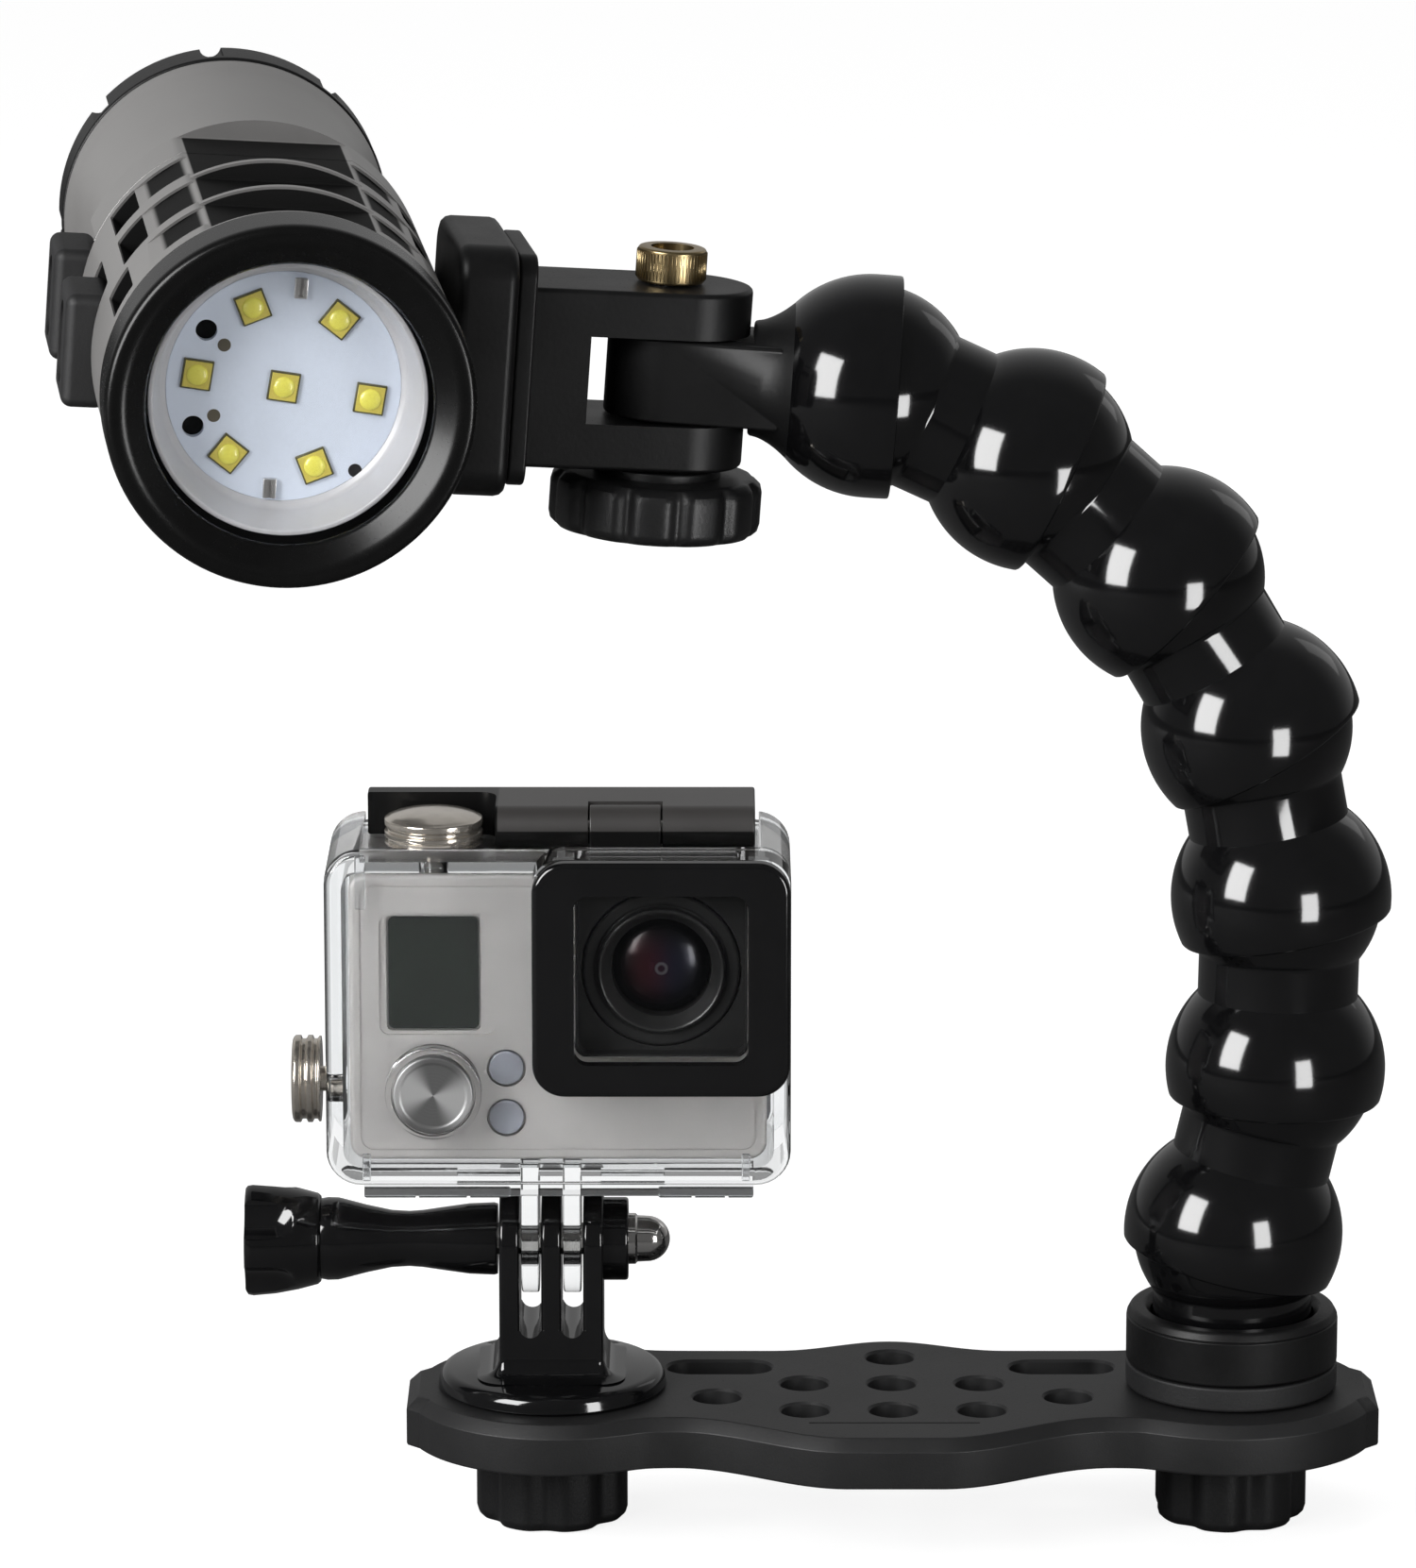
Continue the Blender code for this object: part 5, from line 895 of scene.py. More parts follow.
# Black latch colour whose top half is painted grey as painted light.
LATCH_PAINTED_LIGHT = LatchPaintedLight("latch_painted_light", (0.034, 0.032, 0.031), (0.0055, 0.0055, 0.0055), 18.7 * MM)
FROSTED = Clear("frosted_strip", (0.90, 0.91, 0.92), 0.10, 1.40, 0.1)

Finish = (Moulded | Metal | Clear | Pane | HeadCoat | LatchPaintedLight | Emitter | Turned | PaintedReflectionLens)
_materials: dict[Finish, bpy.types.Material] = {}


def material_of(finish: Finish) -> bpy.types.Material:
    """The material of a finish, made once."""
    if finish not in _materials:
        _materials[finish] = finish.material()
    return _materials[finish]


def dress_node(node: str, finish: Finish) -> None:
    """Gives a CAD node that stays visible a finish of its own."""
    mesh = frame["nodes"][node].data
    mesh.materials.clear()
    mesh.materials.append(material_of(finish))


def piece(shape: Shape, name: str, finish: Finish, body: str, stands_for: Sequence[str] = (),
          sharp: float = 38.0) -> bpy.types.Object:
    """Makes a finished piece of a shape.

    Args:
        shape: The closed shape, in place.
        name: The piece's name.
        finish: Its finish.
        body: The body that it moves with.
        stands_for: The CAD nodes that it replaces.
        sharp: Edges sharper than this many degrees stay crisp.

    Returns:
        The piece's object.
    """
    mesh = shape.mesh
    mesh.name = name
    mesh.materials.clear()
    mesh.materials.append(material_of(finish))
    mesh.shade_smooth()
    mesh.set_sharp_from_angle(angle=radians(sharp))
    made = bpy.data.objects.new(name, mesh)
    bpy.context.scene.collection.objects.link(made)
    even = made.modifiers.new("even_normals", "WEIGHTED_NORMAL")
    even.keep_sharp = True
    made.data = evaluated_mesh(made)
    made.modifiers.clear()
    made.data.name = name
    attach(made, body)
    if stands_for:
        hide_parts(*stands_for)
    LOG.info("%s rides on %s, %d faces", name, body, len(made.data.polygons))
    return made


# Repeats

class Repeater:
    """A Geometry Nodes tree that sets a template on points, each turned by its own angle."""

    tree: bpy.types.NodeTree | None = None
    sockets: dict[str, str] = {}

    @classmethod
    def _grow(cls) -> None:
        """Builds the tree and notes the identifiers of its inputs."""
        tree = bpy.data.node_groups.new("set_on_points", "GeometryNodeTree")
        for name, kind in (("Points", "NodeSocketGeometry"), ("Template", "NodeSocketObject"),
                           ("Size", "NodeSocketFloat"), ("Finish", "NodeSocketMaterial")):
            made = tree.interface.new_socket(name, in_out="INPUT", socket_type=kind)
            cls.sockets[name] = made.identifier
        tree.interface.new_socket("Pieces", in_out="OUTPUT", socket_type="NodeSocketGeometry")
        new, link = tree.nodes.new, tree.links.new
        start, end = new("NodeGroupInput"), new("NodeGroupOutput")
        template, angle = new("GeometryNodeObjectInfo"), new("GeometryNodeInputNamedAttribute")
        angle.data_type = "FLOAT"
        angle.inputs["Name"].default_value = "turn"
        spin, setting = new("ShaderNodeCombineXYZ"), new("GeometryNodeInstanceOnPoints")
        real, coat = new("GeometryNodeRealizeInstances"), new("GeometryNodeSetMaterial")
        link(start.outputs["Template"], template.inputs["Object"])
        link(angle.outputs["Attribute"], spin.inputs["Z"])
        link(start.outputs["Points"], setting.inputs["Points"])
        link(template.outputs["Geometry"], setting.inputs["Instance"])
        link(spin.outputs[0], setting.inputs["Rotation"])
        link(start.outputs["Size"], setting.inputs["Scale"])
        link(setting.outputs[0], real.inputs[0])
        link(real.outputs[0], coat.inputs["Geometry"])
        link(start.outputs["Finish"], coat.inputs["Material"])
        link(coat.outputs[0], end.inputs[0])
        cls.tree = tree

    @classmethod
    def set_out(cls, template: Shape, points: Sequence[Sequence[float]], turns: Sequence[float],
                finish: Finish) -> Shape:
        """Sets a template on points.

        Args:
            template: The shape to repeat; it is used up.
            points: Where its origin goes.
            turns: Its turn about Z at each point, in radians.
            finish: The finish of the repeats.

        Returns:
            All repeats as one shape.
        """
        if cls.tree is None:
            cls._grow()
        mesh = bpy.data.meshes.new("points")
        mesh.from_pydata([tuple(p) for p in points], [], [])
        mesh.attributes.new("turn", "FLOAT", "POINT").data.foreach_set("value", list(turns))
        owner = bpy.data.objects.new("points", mesh)
        model = bpy.data.objects.new("template", template.mesh)
        for item in (owner, model):
            bpy.context.scene.collection.objects.link(item)
        step = owner.modifiers.new("repeat", "NODES")
        step.node_group = cls.tree
        step[cls.sockets["Template"]] = model
        step[cls.sockets["Size"]] = 1.0
        step[cls.sockets["Finish"]] = material_of(finish)
        owner.update_tag()
        made = Shape(evaluated_mesh(owner))
        bpy.data.objects.remove(owner, do_unlink=True)
        bpy.data.objects.remove(model, do_unlink=True)
        return made

    @classmethod
    def round(cls, template: Shape, count: int, finish: Finish, start: float = 0.0) -> Shape:
        """Sets a template, already at its radius, count times about Z."""
        turns = [start + 2 * pi * i / count for i in range(count)]
        return cls.set_out(template, [(0, 0, 0)] * count, turns, finish)


# The tray and what it stands on

@dataclass
class Tray:
    """The contoured plate with its bolt holes, two slots and the engraved line."""

    places: Places
    half_length: float = 70.3 * MM
    chamfer: float = 1.7 * MM
    pad_x: float = 48.6 * MM
    pad_radius: float = 21.7 * MM
    tab_half: float = 8.8 * MM
    front_neck: float = 17.8 * MM
    front_bulge: float = 27.6 * MM
    front_flat: float = 6.7 * MM
    front_reach: float = 31.6 * MM
    back_neck: float = 17.6 * MM
    back_bulge: float = 22.25 * MM
    back_reach: float = 17.0 * MM
    pitch: float = 12.7 * MM
    hole: float = 3.5 * MM
    hole_edge: float = 0.35 * MM
    slot_x: float = 25.0 * MM
    slot_y: float = 7.9 * MM
    slot_length: float = 15.3 * MM
    slot_width: float = 6.6 * MM
    stud_hole: float = 3.4 * MM
    line_length: float = 24.6 * MM
    line_width: float = 0.55 * MM
    line_depth: float = 0.3 * MM
    line_y: float = -18.9 * MM

    def half_width(self, x: float, front: bool) -> float:
        """Half width at a distance from the middle, with round fillets into the pads."""
        x = abs(x)
        if front:
            share = (x - self.front_flat) / (self.front_reach - self.front_flat)
            neck, bulge = self.front_neck, self.front_bulge
        else:
            share, neck, bulge = x / self.back_reach, self.back_neck, self.back_bulge
        share = min(max(share, 0.0), 1.0)
        waist = neck + (bulge - neck) * (1 + cos(pi * share)) / 2
        pad = sqrt(max(self.pad_radius ** 2 - (x - self.pad_x) ** 2, 0.0))
        if x > self.pad_x:
            return pad
        ease = 1.2 * MM * min(1.0, (self.pad_x - x) / (12 * MM))
        return (waist + pad + sqrt((waist - pad) ** 2 + ease ** 2)) / 2

    def outline(self) -> Loop:
        """The plate's contour, anticlockwise."""
        edge = self.pad_x + sqrt(self.pad_radius ** 2 - self.tab_half ** 2)
        count = 150
        stations = [edge * cos(pi * i / count) for i in range(count + 1)]
        front = [(x, -self.half_width(x, True)) for x in reversed(stations)]
        back = [(x, self.half_width(x, False)) for x in stations]
        shoulder = self.tab_half - (self.half_length - edge)
        right = [(self.half_length, -shoulder), (self.half_length, shoulder)]
        return front + right + back + [(-x, -y) for x, y in right]

    def cutters(self) -> list[Shape]:
        """The tools for holes and slots, with their small chamfers."""
        low, high, past = self.places.tray_low, self.places.tray_top, MM
        edge = self.hole_edge

        def drill(radius: float) -> Shape:
            """A chamfered drill through the plate."""
            wide = radius + edge + past
            return Shape.lathe([(0, high + past), (wide, high + past), (radius, high - edge),
                                (radius, low + edge), (wide, low - past), (0, low - past)], 40)

        pitch = self.pitch
        spots = [(0, pitch)] + [(s * pitch, r * pitch) for r in (0, -1) for s in (-1, 0, 1)]
        spots += [(side * 2 * pitch, -pitch / 2) for side in (-1, 1)]
        holes = Repeater.set_out(drill(self.hole), [(x, y, 0) for x, y in spots],
                                 [0.0] * len(spots), ANODISED)
        station = self.places.station
        studs = Repeater.set_out(drill(self.stud_hole), [(-station, 0, 0), (station, 0, 0)],
                                 [0.0, 0.0], ANODISED)
        slot = Shape.plate(stadium(self.slot_length, self.slot_width),
                           [(-edge - past, low - past), (0, low + edge), (0, high - edge),
                            (-edge - past, high + past)])
        slots = Repeater.set_out(slot, [(s * self.slot_x, self.slot_y, 0) for s in (-1, 1)],
                                 [0.0, 0.0], ANODISED)
        half, width = self.line_length / 2, self.line_width / 2
        line = Shape.slab(stadium(2 * half, 2 * width, 6), high - self.line_depth, high + past)
        return [holes, studs, slots, line.placed(shift(0, self.line_y, 0))]

    def build(self) -> None:
        """Makes the plate."""
        low, high, chamfer = self.places.tray_low, self.places.tray_top, self.chamfer
        rim = [(0.5, low), (0.16, low + 0.14 * MM), (0.0, low + 0.5 * MM)]
        layers = [(a * MM, z) for a, z in rim]
        layers += [(0, high - chamfer * 1.06), (chamfer * 0.05, high - chamfer * 0.95),
                   (chamfer * 0.93, high - chamfer * 0.07), (chamfer * 1.08, high)]
        plate = Shape.plate(self.outline(), layers).cut(*self.cutters())
        plate.placed(Matrix.Translation(self.places.centre))
        piece(plate, "tray_deck", ANODISED, "tray", ["tray_plate"], 30)


@dataclass
class ClampKnob:
    """A lobed hand knob under the tray, on which the tray stands."""

    places: Places
    label: str
    side: int
    first_groove: float
    radius: float = 11.1 * MM
    height: float = 12.0 * MM
    lobes: int = 7
    groove: float = 1.35 * MM
    bore: float = 3.3 * MM
    bore_depth: float = 7.3 * MM

    def build(self) -> None:
        """Makes the knob and dresses its stud."""
        top = self.height
        layers = [(a * MM, z * MM) for a, z in ((1.6, 0), (0.8, 0.2), (0.25, 0.75), (0.0, 1.6))]
        layers += [(0, top - 0.8 * MM), (0.25 * MM, top - 0.2 * MM), (0.8 * MM, top)]
        shape = Shape.loft(knob_levels(self.radius, self.lobes, self.groove, 5, self.first_groove,
                                       layers))
        shape.cut(Shape.rod(self.bore, top - self.bore_depth, top + MM, steps=40))
        spot = self.places.centre + Vector((self.side * self.places.station, 0, 0))
        shape.placed(Matrix.Translation(spot))
        name = f"{self.label}_clamp"
        piece(shape, f"{self.label}_foot_knob", GRIP_BLACK, name, [f"{name}_knob"], 30)
        dress_node(f"{name}_stud", STEEL)


# The camera mount and its thumb screw

@dataclass
class CameraMount:
    """The flared disc with three prongs, the captive nut and the thumb screw."""

    places: Places
    disc_radius: float = 16.6 * MM
    disc_top: float = 3.1 * MM
    disc_foot: float = 0.3 * MM
    flare: float = 3.2 * MM
    prong: float = 2.9 * MM
    gap: float = 3.15 * MM
    prong_radius: float = 7.75 * MM
    slot_floor: float = 9.2 * MM
    axis_height: float = 21.9 * MM
    bore: float = 2.8 * MM
    boss_radius: float = 6.0 * MM
    boss_length: float = 3.6 * MM
    nut_flats: float = 8.0 * MM
    nut_depth: float = 3.4 * MM
    dome_radius: float = 3.3 * MM
    dome_length: float = 6.0 * MM
    insert: float = 4.9 * MM
    insert_height: float = 7.2 * MM
    handle_length: float = 36.4 * MM
    head_radius: float = 8.25 * MM
    head_length: float = 10.8 * MM
    head_lobes: int = 5

    @property
    def width(self) -> float:
        """Width over the three prongs."""
        return 3 * self.prong + 2 * self.gap

    def base(self) -> None:
        """Makes the disc with its prongs and the nut's boss."""
        half, top, reach = self.width / 2, self.disc_top, self.prong_radius
        body = softened([(0, top + 0.3 * MM, 0), (reach + self.flare, top + 0.2 * MM, 2 * MM),
                         (self.disc_radius - 0.5 * MM, top - 0.5 * MM, 1.2 * MM),
                         (self.disc_radius, self.disc_foot, 0.25 * MM), (0, self.disc_foot, 0)],
                        steps=7)
        shape = Shape.lathe(body, 128)
        loops, flare = [], self.flare
        for lift in [i * flare / 10 for i in range(11)]:
            out = flare - sqrt(flare ** 2 - (flare - lift) ** 2)
            loop = rounded_rectangle(2 * (half + out), 2 * (reach + out), 0.9 * MM + out, 8)
            loops.append([(x, y, top + 0.1 * MM + lift) for x, y in loop])
        shape.add(Shape.loft(loops))
        edge = 0.55 * MM
        sides = [(-reach, top), (reach, top)]
        outline = sides + arc((0, self.axis_height), reach, 0, pi, 36)
        for i in range(3):
            start = -half + i * (self.prong + self.gap)
            prong = Shape.slab(outline, start, start + self.prong, edge).placed(side_on())
            shape.add(prong)
        lip = self.slot_floor + 1.1 * MM
        core = [(-reach, top - MM), (reach, top - MM), (reach, lip), (-reach, lip)]
        shape.add(Shape.slab(core, -half + MM, half - MM).placed(side_on()))
        for side in (-1, 1):
            groove = Shape.rod(self.gap / 2, -reach - MM, reach + MM, steps=40)
            shape.cut(groove.placed(shift(side * (self.prong + self.gap) / 2, 0,
                                          self.slot_floor + self.gap / 2) @ FORWARD))
        boss = Shape.rod(self.boss_radius, half - MM, half + self.boss_length, 0.5 * MM)
        axis = shift(z=self.axis_height) @ ALONG_X
        shape.add(boss.placed(axis))
        flats = [(self.nut_flats / 2 + 0.3 * MM) / cos(pi / 6)] * 6
        hexagon = [(r * cos(pi * i / 3), r * sin(pi * i / 3)) for i, r in enumerate(flats)]
        pocket = Shape.slab(hexagon, half + self.boss_length - self.nut_depth,
                            half + self.boss_length + MM)
        bore = Shape.rod(self.bore, -half - MM, half + MM, steps=32)
        shape.cut(pocket.placed(axis), bore.placed(axis.copy()),
                  Shape.rod(self.insert, 0, self.insert_height, steps=32))
        shape.placed(self.places.mount)
        piece(shape, "mount_disc", GLOSS_BLACK, "camera_mount", ["camera_mount_base"], 34)
        dress_node("mount_thread_insert", BRASS)

    def nut(self) -> None:
        """Makes the chromed dome nut."""
        face = self.width / 2 + self.boss_length
        inner = face - self.nut_depth + 0.3 * MM
        radius = self.nut_flats / 2 / cos(pi / 6)
        hexagon = [(radius * cos(pi * i / 3), radius * sin(pi * i / 3)) for i in range(6)]
        shape = Shape.slab(hexagon, inner, face, 0.25 * MM)
        tip, dome = face + self.dome_length, self.dome_radius
        profile = [(dome * sin(a), tip - dome + dome * cos(a))
                   for a in (radians(9 * i) for i in range(11))]
        profile += [(dome * 1.02, face + 1.3 * MM), (dome * 1.12, face + 1.0 * MM),
                    (dome * 1.12, inner + MM), (0, inner + MM)]
        shape.add(Shape.lathe(profile, 64))
        shape.cut(Shape.rod(2.7 * MM, inner - MM, tip - dome, steps=32))
        shape.placed(self.places.mount @ shift(z=self.axis_height) @ ALONG_X)
        piece(shape, "dome_nut", CHROME, "camera_mount", ["acorn_nut"], 34)

    def thumb_screw(self) -> None:
        """Makes the long handle with its scalloped head."""
        face = self.width / 2 + 0.3 * MM
        head_start = self.handle_length - self.head_length
        body = head_start
        stations = [(0.0, 5.1, 0), (0.02, 5.25, 0), (0.16, 5.1, 0), (0.3, 4.6, 0), (0.42, 4.15, 0),
                    (0.5, 4.0, 0), (0.6, 4.15, 0), (0.74, 4.9, 0), (0.86, 5.7, 0), (0.9, 5.95, 0),
                    (0.96, 6.0, 0), (1.0, 5.8, 0)]
        rings = [(body * s, r * MM, d * MM) for s, r, d in stations]
        head = [(0.0, 6.2, 0), (0.04, 6.6, 0), (0.3, 7.35, 0), (0.6, 7.95, 0), (0.9, 8.25, 0),
                (0.97, 8.1, 0), (1.0, 7.6, 0)]
        rings += [(head_start + self.head_length * s, r * MM, d * MM) for s, r, d in head]
        loops = []
        for along, radius, depth in rings:
            loop = lobed(radius, self.head_lobes, depth, 2.2, radians(18), 20)
            loops.append([(x, y, face + along) for x, y in loop])
        shape = Shape.loft(loops)
        dish = Shape.lathe([(0, face + self.handle_length + MM),
                            (5.4 * MM, face + self.handle_length + MM),
                            (5.2 * MM, face + self.handle_length - 0.7 * MM),
                            (0, face + self.handle_length - 1.1 * MM)], 64)
        bore = Shape.rod(2.7 * MM, face - MM, face + 12.3 * MM, steps=32)
        nose = 4.8 * MM
        first = face + head_start + 1.6 * MM + nose
        tip = [(nose * cos(a), first - nose * sin(a)) for a in (radians(90 - 15 * i) for i in range(7))]
        scallop = Shape.lathe([(0, tip[0][1])] + tip[1:] + [(nose, face + self.handle_length + MM),
                                                           (0, face + self.handle_length + MM)], 32)
        scallop.placed(shift(self.head_radius + nose - 1.75 * MM, 0, 0))
        shape.cut(dish, bore, Repeater.round(scallop, self.head_lobes, GLOSS_BLACK, radians(18)))
        shape.placed(self.places.mount @ shift(z=self.axis_height) @ ALONG_MINUS_X)
        piece(shape, "thumb_handle", GLOSS_BLACK, "thumb_screw", ["thumb_screw_handle"], 50)
        dress_node("thumb_screw_bolt", STEEL)

    def build(self) -> None:
        """Makes all of the mount."""
        self.base()
        self.nut()
        self.thumb_screw()


# The arm

@dataclass
class BallArm:
    """The base post, its collar and pad, six links and the end cup with its tongue."""

    places: Places
    ball: float = 14.4 * MM
    gap: float = 0.3 * MM
    wall: float = 1.1 * MM
    neck: float = 11.5 * MM
    rim_drop: float = 4.5 * MM
    cup_rim_drop: float = 3.6 * MM
    lip: float = 0.6 * MM
    top_angle: float = 58.0
    ceiling_angle: float = 36.0
    base_height: float = 23.1 * MM
    collar_radius: float = 15.3 * MM
    collar_height: float = 7.9 * MM
    pad_height: float = 3.5 * MM
    stud: float = 3.3 * MM
    stud_depth: float = 8.0 * MM
    tongue_width: float = 16.5 * MM
    tongue_height: float = 11.8 * MM
    tongue_bore: float = 3.4 * MM
    steps: int = 96

    @property
    def outer(self) -> float:
        """Radius over a socket."""
        return self.ball + self.gap + self.wall

    @staticmethod
    def sphere(radius: float, start: float, stop: float, lift: float = 0.0,
               count: int = 20) -> Loop:
        """A sphere's profile between two angles in degrees from its top."""
        angles = [radians(start + (stop - start) * i / count) for i in range(count + 1)]
        return [(radius * sin(a), lift + radius * cos(a)) for a in angles]

    def ball_profile(self, lift: float) -> Loop:
        """The ball, flat on top, down to where its neck starts."""
        junction = 180 - asin(self.neck / self.ball) * 180 / pi
        points = self.sphere(self.ball, self.top_angle, junction, lift)
        r, z = points[0]
        return [(0, z), (r - 0.5 * MM, z), (r - 0.15 * MM, z - 0.1 * MM)] + points[1:]

    def socket_profile(self, back: float, drop: float, straight: bool) -> Loop:
        """A socket from its neck over the bulge, round the rim and back inside."""
        inner, outer = self.ball + self.gap, self.outer
        start = asin(min(back / outer, 1.0)) * 180 / pi
        if straight:
            points = self.sphere(outer, start, 90, 0, 24)
            points += [(outer, -drop * 0.5), (outer - 0.04 * MM, -drop + 0.35 * MM)]
            rim_radius = outer
        else:
            rim = acos(-drop / outer) * 180 / pi
            points = self.sphere(outer, start, rim - 1.2, 0, 26)
            rim_radius = sqrt(outer ** 2 - drop ** 2)
        points += [(rim_radius - 0.10 * MM, -drop + 0.10 * MM), (rim_radius - 0.32 * MM, -drop)]
        mouth = sqrt(inner ** 2 - drop ** 2) + self.lip
        points.append((min(mouth, rim_radius - 0.4 * MM), -drop))
        low = acos((self.lip - drop) / inner) * 180 / pi
        inside = self.sphere(inner, low, self.ceiling_angle, 0, 14)
        return points + inside + [(0, inside[-1][1])]

    def link_shape(self) -> Shape:
        """One link, its socket at the origin and its ball one pitch up."""
        upper, lower = self.ball_profile(self.places.pitch), self.socket_profile(
            self.neck, self.rim_drop, False)
        return Shape.lathe(upper[:-1] + [(self.neck, upper[-1][1]), (self.neck, lower[0][1])]
                           + lower[1:], self.steps)

    def base(self) -> None:
        """Makes the post, its collar and the pad under it."""
        place, foot = self.places.arm_base, self.gap
        pad_top = foot + self.pad_height
        pad = softened([(self.collar_radius, pad_top, 0.4 * MM), (self.collar_radius, foot, 0.5 * MM),
                        (self.stud, foot, 0), (self.stud, pad_top, 0)], True, 3)
        piece(Shape.lathe(pad, self.steps, True).placed(place), "base_pad", RUBBER, "arm_base",
              ["arm_base_pad"])
        low = pad_top + self.gap
        ball = self.ball_profile(self.base_height)
        post = Shape.lathe(ball[:-1] + [(self.neck, ball[-1][1]), (self.neck, low), (0, low)],
                           self.steps)
        post.cut(Shape.rod(self.stud, low - MM, low + self.stud_depth, steps=32))
        piece(post.placed(place), "base_post", GLOSS_BLACK, "arm_base", ["arm_base_post"])
        top, bore = low + self.collar_height, self.neck + self.gap
        rim, groove = self.collar_radius, top - 1.3 * MM
        collar = softened([(bore, top - 0.9 * MM, 0.1 * MM), (bore + 0.9 * MM, top, 0.3 * MM),
                           (rim - 0.7 * MM, top, 0.5 * MM), (rim - 0.05 * MM, groove + 0.1 * MM, 0.1 * MM),
                           (rim - 0.3 * MM, groove, 0.05 * MM), (rim, groove - 0.25 * MM, 0.1 * MM),
                           (rim, low, 0.35 * MM), (bore, low, 0)], True, 5)
        piece(Shape.lathe(collar, self.steps, True).placed(place), "base_collar", SATIN_BLACK,
              "arm_base", ["arm_base_collar"])

    def cup(self) -> None:
        """Makes the end cup with the tongue that the clevis holds."""
        shape = Shape.lathe(self.socket_profile(0, self.cup_rim_drop, True), self.steps)
        half, reach = self.tongue_width / 2, self.places.reach
        start = sqrt(self.outer ** 2 - half ** 2) - self.wall / 2
        outline = [(start, -half)] + arc((reach, 0), half, -pi / 2, pi / 2, 32) + [(start, half)]
        tongue = Shape.slab(outline, -self.tongue_height / 2, self.tongue_height / 2, 0.4 * MM)
        upright = Matrix(((0, 0, 1, 0), (0, 1, 0, 0), (-1, 0, 0, 0), (0, 0, 0, 1)))
        flip = turn("Y", 180)
        piece(shape.placed(self.places.links[6]), "end_cup", GLOSS_BLACK, "arm_end",
              ["arm_end_cup"])
        root = softened([(9.0, 12.3, 0), (11.2, 11.1, 0.2), (9.6, 13.0, 1.5), (8.4, 15.2, 1.2),
                         (8.1, 16.9, 0.5), (0, 16.9, 0), (0, 12.3, 0)], True, 5)
        tongue.placed(flip @ upright)
        tongue.add(Shape.lathe([(r * MM, z * MM) for r, z in root], self.steps))
        bore = Shape.rod(self.tongue_bore, -self.tongue_height, self.tongue_height, steps=40)
        tongue.cut(bore.placed(shift(z=reach) @ ALONG_X))
        made = piece(tongue.placed(self.places.links[6]), "end_tongue", SATIN_BLACK, "arm_end")

    def build(self) -> None:
        """Makes the whole arm."""
        self.base()
        for number in range(1, 7):
            shape = self.link_shape().placed(self.places.links[number - 1])
            piece(shape, f"arm_link_{number}_shell", GLOSS_BLACK, f"arm_link_{number}",
                  [f"arm_segment_{number}"])
        self.cup()


# The clevis, its knob and the saddle

